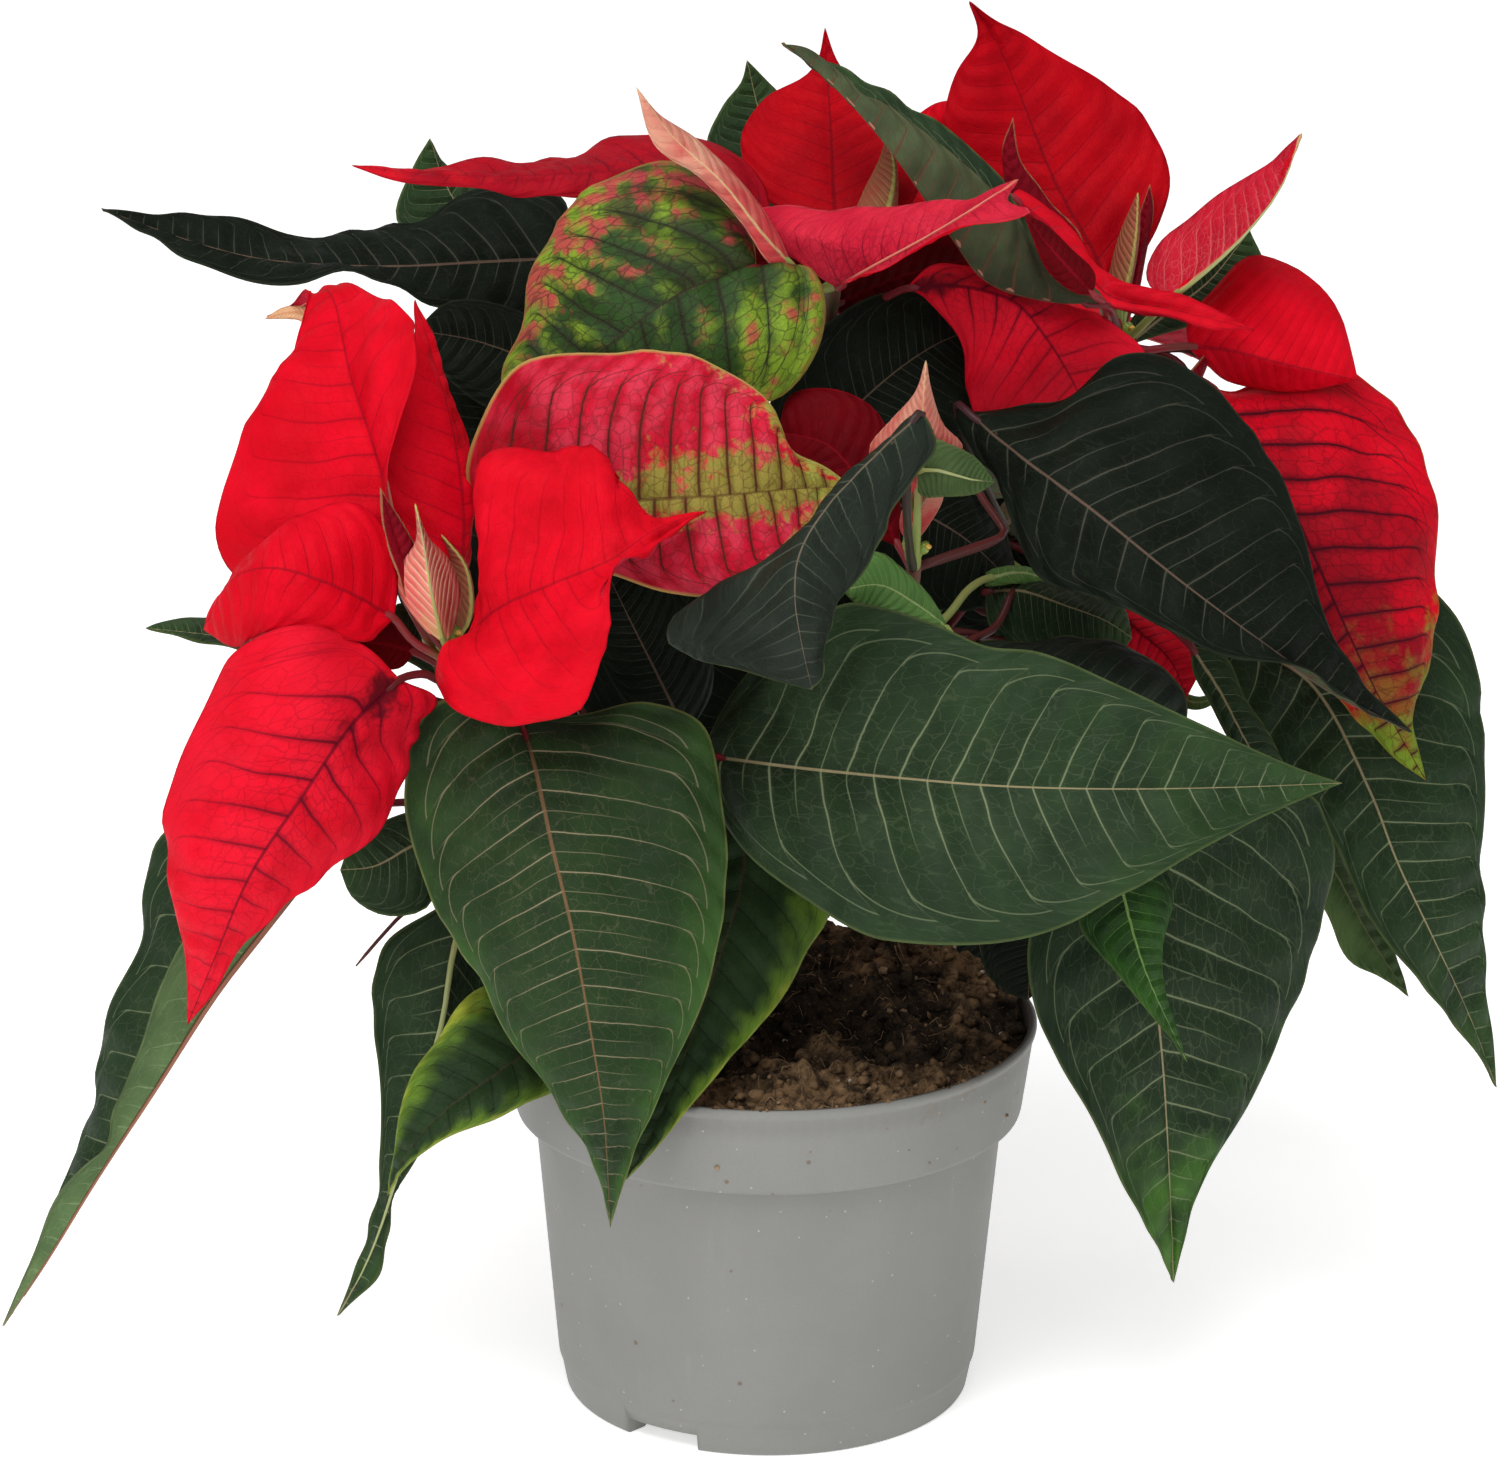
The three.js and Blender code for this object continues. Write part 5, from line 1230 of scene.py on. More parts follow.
def lump(chance, centre, size, flat=1.0):
    """Vertices and faces of one small irregular grain."""
    rings, sides = LUMP_RINGS, LUMP_SIDES
    phase = chance.uniform(0, 100)
    turn = Matrix.Rotation(chance.uniform(0, 6.28), 3, Vector(
        (chance.uniform(-1, 1), chance.uniform(-1, 1), chance.uniform(0.1, 1))).normalized())

    def point(dip, swing):
        way = Vector((math.sin(dip) * math.cos(swing), math.sin(dip) * math.sin(swing),
                      math.cos(dip) * flat))
        rough = 1 + 0.45 * noise.noise(way * 1.7 + Vector((phase, 0, 0)))
        return tuple(Vector(centre) + turn @ (way * size * rough))

    vertices = [point(math.pi * (ring + 1) / (rings + 1), -2 * math.pi * k / sides)
                for ring in range(rings) for k in range(sides)]
    vertices += [point(0.0, 0.0), point(math.pi, 0.0)]
    return vertices, tube_faces(rings, sides)


def random_spot(chance, farthest):
    """A random [x, y] on the soil, no farther from the pot's axis than this."""
    radius = farthest * math.sqrt(chance.random())
    turn = chance.uniform(0, 2 * math.pi)
    return radius * math.cos(turn), radius * math.sin(turn)


def wall_radius(height):
    """The radius of the pot's outside at a height."""
    if height < BAND_BOTTOM:
        return NECK_RADIUS - 0.1 * (BAND_BOTTOM - height)
    share = (height - BAND_BOTTOM) / (POT_HEIGHT - BAND_BOTTOM)
    return BAND_RADIUS + (RIM_RADIUS - 0.7 - BAND_RADIUS) * share


# Crumbs stuck to the pot's wall, each [its angle in degrees, its size, its height].
STUCK_CRUMBS = [
    (-101, 1.0, 79.5), (-81, 0.45, 84), (-64, 0.5, 88), (-52, 0.4, 76), (-112, 0.4, 90),
    (-75, 0.35, 66), (-47, 0.6, 92), (-89, 0.4, 73), (-58, 0.35, 81), (-36, 0.8, 87),
    (-28, 0.6, 91), (-24, 0.8, 79), (-9, 0.7, 22), (-14, 0.6, 16), (-6, 0.5, 26),
    (-31, 0.4, 34), (-68, 0.5, 18), (-124, 0.5, 20),
]


def add_fibre(fibres, chance):
    """Adds one bent peat fibre, cut short where it would reach the pot's wall."""
    x, y = random_spot(chance, SOIL_EDGE_RADIUS - 3)
    heading, length = chance.uniform(0, 2 * math.pi), chance.uniform(2, 8)
    bend, lift = chance.uniform(-0.4, 0.4), chance.uniform(0.0, 0.7)
    centres = []
    for step in np.linspace(0, 1, 6):
        px = x + length * step * math.cos(heading + bend * step)
        py = y + length * step * math.sin(heading + bend * step)
        if math.hypot(px, py) > SOIL_EDGE_RADIUS - 1:
            break
        centres.append((px, py, soil_height(px, py) + 0.15 + lift * math.sin(math.pi * step)))
    if len(centres) > 2:
        fibres.add(*tube(centres, np.linspace(0.13, 0.06, len(centres)), 5))


def grain_material(name, scale, tints, roughness, strength, distance):
    """A rough stuff of two tints in a fine grain."""
    net = Net(name)
    grain = net.noise(net.spot(), scale, 3.0)
    base = net.mix(grain, *[colour(*tint) for tint in tints])
    return net.finish(base, roughness, net.bump(grain, strength, distance))


def make_soil_litter():
    """Loose crumbs, bits of white perlite and fibres lying on the soil and the pot's rim."""
    chance = random.Random(11)
    crumbs, pale, fibres = Shape(), Shape(), Shape()
    for number in range(CRUMB_COUNT):
        x, y = random_spot(chance, SOIL_EDGE_RADIUS * 0.985)
        size = 0.45 + 2.1 * chance.random() ** 3
        if from_trunk(x, y) < TRUNK_CLEARANCE:
            continue
        heap = fibres if number % 3 == 0 and size < 1.2 else crumbs
        spot = (x, y, soil_height(x, y) + 0.25 * size)
        heap.add(*lump(chance, spot, size, chance.uniform(0.6, 1.0)))
    for _ in range(PERLITE_COUNT):
        x, y = random_spot(chance, SOIL_EDGE_RADIUS - 3)
        size = chance.uniform(0.3, 1.2)
        pale.add(*lump(chance, (x, y, soil_height(x, y) + 0.4 * size), size))
    for _ in range(FIBRE_COUNT):
        add_fibre(fibres, chance)
    for angle, size, height in STUCK_CRUMBS:
        turn, radius = math.radians(angle), wall_radius(height)
        spot = (radius * math.cos(turn), radius * math.sin(turn), height)
        fibres.add(*lump(chance, spot, size * 0.6))
    for _ in range(RIM_CRUMB_COUNT):
        turn = math.radians(chance.uniform(-150, -30))
        radius = RIM_RADIUS - WALL / 2 - 0.2 + chance.uniform(-0.5, 0.4)
        size = 0.2 + 0.5 * chance.random() ** 2
        spot = (radius * math.cos(turn), radius * math.sin(turn), POT_HEIGHT + 0.1)
        crumbs.add(*lump(chance, spot, size, 0.7))
    crumbs.piece("soil_crumbs", [soil_material()], "soil")
    perlite = grain_material("perlite", 1500.0, [(150, 142, 124), (206, 200, 184)], 0.9, 0.6, 0.2)
    pale.piece("soil_perlite", [perlite], "soil")
    fibre = grain_material("peat_fibre", 900.0, [(88, 63, 43), (170, 142, 106)], 0.85, 0.4, 0.1)
    fibres.piece("soil_fibres", [fibre], "soil")


# ---------------------------------------------------------------- stem

# The trunk and each branch: its places from root to end, its radius at the root and at its end.
TRUNK = [[(704, 962, 1), (716, 900, 1), (722, 868, 0)], 5.2, 3.6]
BRANCHES = [
    [[(712, 912, 1), (680, 860, 8), (600, 772, 24), (520, 706, 37), (470, 676, 43), (446, 663, 46)],
     3.4, 2.0],
    [[(722, 880, 0), (745, 780, -9), (790, 600, -19), (815, 450, -24), (827, 330, -21),
      (836, 268, -15)], 3.2, 1.9],
    [[(720, 890, -1), (800, 760, -18), (930, 610, -30), (1040, 470, -37), (1105, 385, -40),
      (1117, 345, -39)], 3.2, 1.9],
    [[(718, 890, 1), (790, 790, 15), (870, 680, 27), (908, 600, 33), (916, 556, 34)], 2.8, 1.7],
    [[(716, 890, -1), (690, 760, -20), (652, 560, -40), (632, 400, -52), (625, 330, -56)], 3.0, 1.9],
    [[(722, 885, -2), (800, 740, -34), (880, 560, -56), (930, 420, -66), (942, 375, -67)], 3.0, 1.9],
]

# Points all along the middles of the trunk and the branches.
STEM_LINES = np.vstack([
    points_at(curve_through([place(spot) for spot in spots]), np.linspace(0.0, 0.97, 120))
    for spots, *_ in (TRUNK, *BRANCHES)
])


def rooted(points):
    """The points of a petiole or shoot, with one before them in the middle of the nearest branch."""
    gaps = np.linalg.norm(STEM_LINES - points[0], axis=1)
    return [STEM_LINES[gaps.argmin()], *points] if gaps.min() > 1.0 else list(points)


def branch_tube(points, root_radius, end_radius, phase):
    """A branch with slight swellings where leaves grew, its end rounded off."""
    line = curve_through(points)
    reach = reach_along(line)[-1]
    steps = int(reach / 1.6)
    shares = np.linspace(0.0, 1.0, steps)
    radii = root_radius + (end_radius - root_radius) * shares
    nodes = np.abs(np.sin(shares * reach / NODE_SPACING + phase)) ** 14
    radii = radii * (1 + NODE_SWELLING * nodes)
    radii[-2:] *= (0.85, 0.5)
    return tube(points_at(line, shares), radii, 20)


def stem_material():
    """The stem: greyish brown bark at its foot, green with reddish streaks higher up."""
    net = Net("stem_bark")
    spot = net.spot()
    drift = net.noise(spot, 60.0, 3.0)
    grain = net.noise(spot, 700.0, 4.0, 0.65)
    streak = net.noise(net.squeezed(spot, 0.2), 420.0, 3.0, 0.7)
    bark = net.mix(net.ramp(streak, 0.35, 0.7), colour(84, 68, 48), colour(116, 100, 74))
    young = net.mix(net.ramp(drift, 0.35, 0.65), colour(84, 98, 46), colour(104, 50, 40))
    base = net.mix(net.ramp(net.parts(spot)[2], 0.12, 0.19), bark, young)
    base = net.mix(net.ramp(grain, 0.55, 0.8, 0.0, 0.4), base, colour(60, 50, 34))
    return net.finish(base, 0.6, net.bump(net.times(streak, 0.8, grain), 0.5, 0.25))


def make_stem():
    """The trunk and branches melted into one skin."""
    shape = Shape()
    foot = np.array([*TRUNK_FOOT, TRUNK_START - 1.2])
    trunk, root_radius, end_radius = TRUNK
    points = [foot, foot + (0, 0, 7.0), *[place(spot) for spot in trunk]]
    shape.add(*branch_tube(points, root_radius * 1.05, end_radius, 0.4))
    for number, (spots, root_radius, end_radius) in enumerate(BRANCHES):
        points = [place(spot) for spot in spots]
        shape.add(*branch_tube(points, root_radius, end_radius, 0.9 * number))
    made = shape.piece("stem_branches", [stem_material()], "stem", ("stem",))
    melt = made.modifiers.new("melt", "REMESH")
    melt.mode = "VOXEL"
    melt.voxel_size = 0.8 * MM
    melt.use_smooth_shade = True
    soften = made.modifiers.new("soften", "SMOOTH")
    soften.factor = 0.5
    soften.iterations = 4


# ---------------------------------------------------------------- shoots and flower buds

# Bare petioles and young shoots, each [its places from root to end, root radius, end radius].
RED_SHOOTS = [
    [[(906, 572, 33), (935, 560, 30), (968, 549, 24), (1000, 538, 16)], 1.0, 0.9],
    [[(1004, 532, 14), (996, 518, 12), (982, 498, 10), (972, 476, 8)], 1.0, 0.9],
    [[(880, 690, 25), (930, 660, 18), (970, 640, 8), (996, 626, 2), (1014, 588, -4)], 1.2, 0.9],
    [[(900, 640, 18), (955, 632, 8), (1005, 642, -2), (1040, 650, -8)], 1.2, 1.0],
    [[(985, 612, -20), (1030, 616, -14), (1060, 630, -10), (1085, 645, -8)], 1.1, 0.9],
    [[(1117, 347, -39), (1150, 350, -37), (1188, 350, -35), (1215, 366, -33)], 1.1, 0.8],
    [[(500, 884, 20), (440, 890, 22), (404, 913, 22), (380, 938, 22), (356, 966, 22)], 0.8, 0.4],
]
GREEN_SHOOTS = [
    [[(916, 570, 33), (913, 540, 35), (914, 505, 36)], 1.1, 0.8],
    [[(1117, 345, -39), (1108, 326, -40), (1102, 306, -42)], 1.2, 0.8],
    [[(1117, 348, -39), (1122, 322, -40), (1128, 296, -41)], 1.2, 0.8],
    [[(446, 662, 46), (432, 650, 46), (424, 636, 45)], 1.2, 0.9],
]

# Each flower bud is [the place of its foot, its height, its radius, its lean sideways and forward].
FLOWER_BUDS = [
    [(453, 646, 47), 5.2, 1.7, 0.15, 0.2], [(455, 651, 49), 4.4, 1.5, 0.7, 0.5],
    [(446, 652, 49), 4.2, 1.5, -0.5, 0.5], [(450, 640, 43), 4.6, 1.6, 0.1, -0.5],
    [(1112, 336, -37), 5.0, 1.7, -0.2, 0.4], [(1122, 338, -38), 4.6, 1.6, 0.5, 0.3],
    [(1108, 341, -39), 4.2, 1.5, -0.8, 0.1], [(836, 262, -13), 5.0, 1.7, 0.0, 0.4],
    [(845, 266, -14), 4.4, 1.6, 0.7, 0.3], [(827, 266, -14), 4.2, 1.5, -0.7, 0.3],
    [(912, 552, 36), 4.0, 1.4, -0.5, 0.4], [(920, 554, 36), 3.8, 1.4, 0.5, 0.4],
    [(622, 322, -56), 4.6, 1.6, 0.2, 0.2], [(940, 366, -67), 4.6, 1.6, -0.2, 0.2],
]


def flower_bud(foot, height, radius, sideways, forward_lean):
    """A tiny egg-shaped flower bud on a short neck, with an open cleft at its top."""
    way = unit(np.array([sideways, -forward_lean, 1.0]))
    shares = np.array([-0.65, 0.0, 0.12, 0.25, 0.4, 0.55, 0.7, 0.82, 0.92, 0.97, 0.9, 0.8])
    sizes = np.array([0.4, 0.45, 0.5, 0.8, 0.97, 1.0, 0.88, 0.72, 0.6, 0.5, 0.3, 0.15])
    return tube(foot + way * (height * shares[:, None]), radius * sizes, 12)


def nectar_gland(foot, height, radius, sideways, forward_lean):
    """The two-lipped yellow gland on the side of a flower bud."""
    way = unit(np.array([sideways, -forward_lean, 1.0]))
    out = unit(np.array([0.6, -1.0, 0.1]))
    middle = foot + way * height * 0.72 + out * radius * 0.75
    side = unit(np.cross(way, out))
    steps = np.linspace(-1.0, 1.0, 7)
    centres = middle + side * (steps[:, None] * radius * 0.5) + out * (0.4 - 0.35 * steps[:, None] ** 2)
    return tube(centres, 0.42 * radius * np.sqrt(1.06 - steps ** 2) + 0.05, 8)


def bud_material(name, skin, shade):
    """Smooth fresh plant skin with a fine grain."""
    net = Net(name)
    spot = net.spot()
    grain = net.noise(spot, 700.0, 3.0)
    base = net.mix(net.ramp(grain, 0.35, 0.7), skin, shade)
    return net.finish(base, 0.4, net.bump(grain, 0.3, 0.1))


def make_buds():
    """The bare shoots, the flower buds in the middle of the heads, and their glands."""
    shoots = Shape()
    for kind, table in enumerate((RED_SHOOTS, GREEN_SHOOTS)):
        for spots, root_radius, end_radius in table:
            line = curve_through(rooted([place(spot) for spot in spots]))
            shares = np.linspace(0.0, 1.0, 22)
            radii = root_radius + (end_radius - root_radius) * shares
            radii[-1] *= 0.5
            shoots.add(*tube(points_at(line, shares), radii, 14), kind)
    shoots.piece("stem_shoots", [finish("petiole_red"), finish("petiole_green")], "stem")
    buds = Shape()
    for spot, *habit in FLOWER_BUDS:
        foot = place(spot)
        buds.add(*flower_bud(foot, *habit), 0)
        buds.add(*nectar_gland(foot, *habit), 1)
    skins = [
        bud_material("bud_green", colour(122, 148, 58), colour(150, 164, 70)),
        bud_material("gland_yellow", colour(206, 176, 60), colour(190, 120, 50)),
    ]
    buds.piece("flower_buds", skins, "stem")


# ---------------------------------------------------------------- camera, light and floor

def make_camera():
    """The camera at the drawing's eye."""
    data = bpy.data.cameras.new("camera")
    data.sensor_fit = "HORIZONTAL"
    data.sensor_width = 36.0
    data.lens = data.sensor_width * DRAWING_FOCUS / DRAWING_WIDTH
    data.clip_end = 20.0
    made = linked("camera", data)
    turn = Matrix((view_right, view_up, -forward)).transposed().to_4x4()
    made.matrix_world = Matrix.Translation(Vector(EYE * MM)) @ turn
    bpy.context.scene.camera = made


def make_floor():
    """A plain white floor."""
    mesh = bpy.data.meshes.new("floor")
    corners = [(x * FLOOR_REACH, y * FLOOR_REACH, 0) for x, y in ((-1, -1), (1, -1), (1, 1), (-1, 1))]
    mesh.from_pydata(corners, [], [(0, 1, 2, 3)])
    net = Net("floor_paint")
    white = (1.0, 1.0, 1.0, 1.0)
    glow = {"Emission Color": white, "Emission Strength": 0.5, "Specular IOR Level": 0.1}
    mesh.materials.append(net.finish(colour(250, 250, 250), 0.9, **glow))
    linked("floor", mesh)


# Each soft square lamp is [its name, its place, its size, its power], in metres and watts.
LAMPS = [
    ("lamp_above", (-0.2, -0.7, 1.45), 1.1, 19.0),
    ("lamp_left", (-1.1, -1.5, 0.8), 0.9, 7.0),
    ("lamp_right", (1.3, -0.9, 0.7), 1.0, 0.5),
]
LAMP_AIM = Vector((0.0, 0.0, 0.16))


def add_lamp(name, spot, size, power):
    """One lamp, turned towards the plant's middle."""
    data = bpy.data.lights.new(name, "AREA")
    data.size = size
    data.energy = power
    made = linked(name, data)
    made.location = spot
    made.rotation_euler = (LAMP_AIM - Vector(spot)).to_track_quat("-Z", "Y").to_euler()


def make_light():
    """An even soft sky, seen as a white wall, with the lamps: a large one above, two in front."""
    world = bpy.data.worlds.new("studio")
    world.use_nodes = True
    tree = world.node_tree
    sky = tree.nodes["Background"]
    sky.inputs["Color"].default_value = (1.0, 1.0, 1.0, 1.0)
    sky.inputs["Strength"].default_value = 0.5
    wall = tree.nodes.new("ShaderNodeBackground")
    wall.inputs["Color"].default_value = (1.0, 1.0, 1.0, 1.0)
    seen = tree.nodes.new("ShaderNodeLightPath").outputs["Is Camera Ray"]
    either = tree.nodes.new("ShaderNodeMixShader")
    for value, socket in zip((seen, sky.outputs[0], wall.outputs[0]), either.inputs):
        tree.links.new(value, socket)
    tree.links.new(either.outputs[0], tree.nodes["World Output"].inputs["Surface"])
    bpy.context.scene.world = world
    for lamp in LAMPS:
        add_lamp(*lamp)
    bpy.context.scene.view_settings.view_transform = "Standard"


# ---------------------------------------------------------------- leaf tables

# Each leaf is [its name, its skin, its stalk from the stem to the blade, its rib from the blade's base
# to its tip, its left margin, its right margin]. Left and right are as seen on the upper face,
# looking from base to tip.
LEAVES = [
    ["bract_left_tall", "red", [(440, 657, 47), (418, 622, 50)],
     [(400, 585, 50), (383, 478, 44), (352, 380, 28), (329, 292, 6), (300, 305, -10), (266, 316, -17)],
     [(345, 600, 44), (240, 580, 38), (214, 530, 34), (240, 440, 27), (288, 365, 15), (305, 292, 1),
      (288, 306, -12)],
     [(393, 535, 51), (387, 470, 52), (402, 415, 50), (417, 360, 42), (413, 323, 32), (385, 297, 16),
      (345, 286, 0), (302, 318, -14)]],
    ["bract_left_back", "red", [(436, 655, 42), (448, 640, 42)],
     [(456, 610, 41), (464, 530, 37), (453, 430, 27), (432, 355, 17), (415, 299, 8)],
     [(415, 595, 43), (383, 540, 42), (382, 470, 38), (392, 410, 32), (408, 350, 22)],
     [(469, 575, 32), (474, 497, 28), (464, 430, 20), (440, 362, 12)]],
    ["bract_left_side", "red", [(440, 657, 50), (412, 640, 54)],
     [(394, 618, 56), (355, 596, 65), (321, 581, 70), (275, 568, 71), (235, 577, 65), (203, 630, 56)],
     [(374, 640, 66), (337, 638, 73), (295, 628, 76), (262, 634, 74), (237, 647, 66)],
     [(400, 575, 55), (365, 512, 55), (321, 506, 56), (283, 524, 57), (249, 555, 58), (213, 600, 57)]],
    ["bract_left_low", "red_veined", [(443, 681, 49), (424, 674, 54)],
     [(400, 679, 60), (352, 724, 76), (300, 800, 85), (252, 872, 86), (214, 960, 79), (187, 1026, 69)],
     [(434, 702, 51), (412, 745, 56), (396, 805, 64), (340, 865, 74), (262, 928, 80), (214, 992, 74)],
     [(356, 639, 71), (299, 626, 82), (243, 644, 83), (199, 714, 77), (167, 800, 76), (169, 880, 75),
      (187, 970, 72)]],
    ["bract_left_near", "red_smooth", [(450, 660, 50)],
     [(466, 640, 55), (500, 608, 67), (555, 583, 76), (610, 560, 78), (655, 530, 70), (707, 511, 59)],
     [(482, 560, 59), (481, 500, 58), (497, 455, 55), (540, 447, 56), (590, 448, 58), (601, 480, 63),
      (640, 511, 66), (675, 513, 62)],
     [(441, 668, 61), (440, 695, 68), (474, 719, 78), (530, 722, 88), (583, 708, 92), (597, 670, 91),
      (608, 628, 89), (628, 572, 83), (672, 530, 69)]],
    ["bract_left_bud", "pink_bud", [(458, 664, 55)],
     [(445, 645, 56), (430, 585, 64), (422, 535, 59), (415, 503, 52)],
     [(455, 625, 52), (461, 590, 50), (449, 560, 50), (428, 536, 52)],
     [(425, 630, 57), (399, 590, 57), (402, 565, 55), (416, 540, 54)]],
    ["leaf_mottled_red", "mottled_red", [(590, 737, 27), (530, 620, 26)],
     [(508, 522, 34), (570, 506, 46), (640, 500, 53), (725, 495, 55), (790, 489, 49), (851, 486, 39)],
     [(474, 500, 30), (480, 425, 33), (520, 364, 34), (600, 352, 35), (695, 356, 37), (760, 396, 39),
      (790, 450, 41), (825, 466, 39)],
     [(540, 570, 44), (600, 572, 56), (668, 593, 61), (730, 595, 60), (785, 562, 55), (812, 522, 48)]],
    ["leaf_mottled_green", "mottled_green", [(815, 350, -17), (795, 292, -6)],
     [(757, 268, 6), (699, 284, 14), (657, 308, 20), (600, 352, 22), (550, 395, 15), (515, 430, 6)],
     [(775, 274, 7), (808, 264, 6), (826, 300, 10), (815, 355, 16), (780, 398, 20), (720, 405, 22),
      (640, 425, 18), (570, 440, 11)],
     [(752, 235, 0), (738, 210, -3), (715, 184, -6), (661, 163, -8), (600, 182, -6), (560, 218, -3),
      (533, 272, 0), (521, 328, 2), (501, 375, 3)]],
    ["bract_top_young", "pink_young", [(826, 288, -12), (806, 284, -3)],
     [(792, 266, 3), (766, 238, 8), (722, 182, 10), (672, 136, 8), (636, 87, 6)],
     [(770, 264, 8), (742, 224, 9), (700, 178, 9), (655, 146, 9)],
     [(776, 232, 4), (752, 194, 3), (702, 143, 2), (656, 112, 4)]],
    ["bract_top_left", "red_folded", [(826, 262, -18)],
     [(772, 218, -16), (690, 172, -12), (600, 172, -10), (500, 176, -9), (420, 173, -8), (351, 165, -10)],
     [(720, 212, -10), (640, 202, -9), (569, 197, -7), (500, 191, -5), (430, 186, -5), (385, 178, -7)],
     [(756, 172, -24), (690, 139, -30), (622, 142, -28), (536, 160, -22), (450, 163, -16),
      (395, 167, -12)]],
    ["bract_top_upright", "red_deep", [(840, 258, -15)],
     [(838, 240, -18), (834, 200, -26), (831, 132, -38), (827, 70, -44), (825, 27, -44)],
     [(790, 215, -24), (755, 188, -31), (741, 140, -38), (765, 98, -42), (814, 68, -44)],
     [(885, 225, -22), (918, 195, -27), (900, 140, -36), (866, 95, -41), (838, 62, -44)]],
    ["bract_top_fold", "pink_under", [(838, 272, -12)],
     [(838, 288, -2), (880, 264, 10), (930, 237, 19), (978, 207, 22), (1019, 179, 18)],
     [(866, 274, 14), (930, 246, 25), (980, 227, 28), (1031, 212, 24), (1007, 201, 20)],
     [(800, 264, 0), (742, 215, -1), (790, 208, -3), (850, 206, -1), (920, 203, 6), (975, 194, 14)]],
    ["bract_right_big", "red_deep", [(1119, 338, -36)],
     [(1114, 302, -40), (1095, 255, -44), (1055, 182, -50), (1018, 90, -56), (992, 33, -55),
      (969, 1, -51)],
     [(1070, 290, -42), (1010, 250, -46), (962, 190, -50), (944, 125, -52), (955, 75, -54),
      (977, 36, -53)],
     [(1129, 280, -44), (1160, 220, -50), (1169, 178, -54), (1147, 122, -58), (1114, 90, -60),
      (1043, 47, -58), (1001, 24, -54)]],
    ["bract_right_fold", "red_shadowed", [(842, 272, -22), (930, 226, -30)],
     [(1010, 196, -27), (1046, 224, -27), (1078, 262, -26), (1110, 296, -26), (1170, 309, -24),
      (1254, 330, -22)],
     [(1022, 188, -32), (1050, 212, -33), (1094, 262, -31), (1125, 281, -26), (1186, 296, -25),
      (1225, 314, -23)],
     [(1012, 212, -26), (1038, 250, -24), (1060, 275, -22), (1100, 305, -24), (1160, 319, -22),
      (1215, 327, -20)]],
    ["bract_right_pink", "pink_ribbed", [(1124, 345, -35), (1146, 322, -31)],
     [(1173, 297, -28), (1218, 260, -25), (1251, 227, -24), (1280, 188, -25), (1302, 133, -28)],
     [(1186, 280, -40), (1216, 250, -46), (1246, 218, -46), (1276, 180, -38)],
     [(1150, 287, -34), (1147, 266, -38), (1166, 238, -40), (1213, 201, -41), (1266, 163, -35)]],
    ["bract_right_round", "red", [(1127, 354, -33), (1155, 349, -31)],
     [(1188, 346, -31), (1232, 351, -26), (1275, 362, -24), (1320, 372, -26), (1358, 380, -30)],
     [(1188, 322, -36), (1214, 288, -43), (1251, 258, -48), (1295, 264, -49), (1330, 300, -43),
      (1350, 348, -35)],
     [(1202, 364, -33), (1235, 384, -33), (1275, 390, -32), (1320, 388, -31)]],
    ["bract_right_hanging", "red_tipped", [(1123, 364, -36), (1165, 366, -36)],
     [(1213, 388, -32), (1271, 468, -15), (1309, 545, -6), (1340, 615, -2), (1378, 695, -3),
      (1426, 781, -9)],
     [(1237, 393, -36), (1290, 371, -43), (1350, 368, -43), (1397, 410, -37), (1425, 460, -26),
      (1440, 550, -20), (1436, 640, -15), (1413, 716, -11)],
     [(1212, 440, -24), (1235, 520, -15), (1275, 600, -9), (1325, 685, -6), (1374, 740, -7)]],
    ["bract_centre_red", "red_veined", [(826, 338, -26), (862, 312, -22)],
     [(904, 289, -18), (960, 286, -10), (1015, 302, -8), (1044, 335, -9), (1072, 380, -14),
      (1100, 440, -24)],
     [(935, 268, -20), (1000, 264, -22), (1060, 300, -20), (1110, 322, -18), (1145, 352, -18),
      (1140, 405, -22)],
     [(928, 295, -15), (946, 320, -12), (962, 350, -11), (967, 392, -12), (985, 430, -15),
      (1035, 455, -20)]],
    ["bract_centre_dark", "red_dark", [(914, 575, 30)],
     [(900, 548, 26), (862, 485, 24), (828, 445, 22), (778, 432, 18)],
     [(862, 530, 28), (815, 500, 26), (782, 470, 22)],
     [(896, 470, 19), (877, 412, 16), (836, 389, 15), (790, 395, 15)]],
    ["bract_centre_bud", "pink_young", [(916, 552, 37)],
     [(918, 495, 40), (920, 450, 45), (923, 405, 46), (926, 360, 42)],
     [(885, 478, 38), (869, 450, 38), (891, 420, 40), (915, 393, 41)],
     [(946, 475, 34), (963, 448, 34), (943, 424, 38), (931, 388, 41)]],
    ["bract_right_small", "red_veined", [(1006, 542, -36), (1062, 565, -30)],
     [(1100, 596, -24), (1140, 632, -19), (1170, 660, -17), (1187, 698, -18)],
     [(1140, 610, -26), (1184, 636, -26), (1200, 662, -22)],
     [(1104, 640, -20), (1140, 672, -17), (1172, 700, -16)]],
    ["leaf_top_under", "green_turned", [(1118, 340, -34), (1114, 318, -22)],
     [(1104, 305, -10), (1044, 302, -3), (985, 282, 2), (949, 236, 4), (893, 156, 1), (845, 99, -8),
      (800, 57, -20), (781, 43, -26)],
     [(1100, 290, -14), (1040, 238, -16), (985, 160, -17), (925, 114, -20), (872, 88, -22),
      (812, 56, -26)],
     [(1094, 298, -7), (1053, 278, -3), (1020, 220, -1), (977, 175, 0), (911, 123, -4), (855, 85, -13),
      (808, 50, -23)]],
    ["leaf_right_behind", "green", [(1117, 372, -42)],
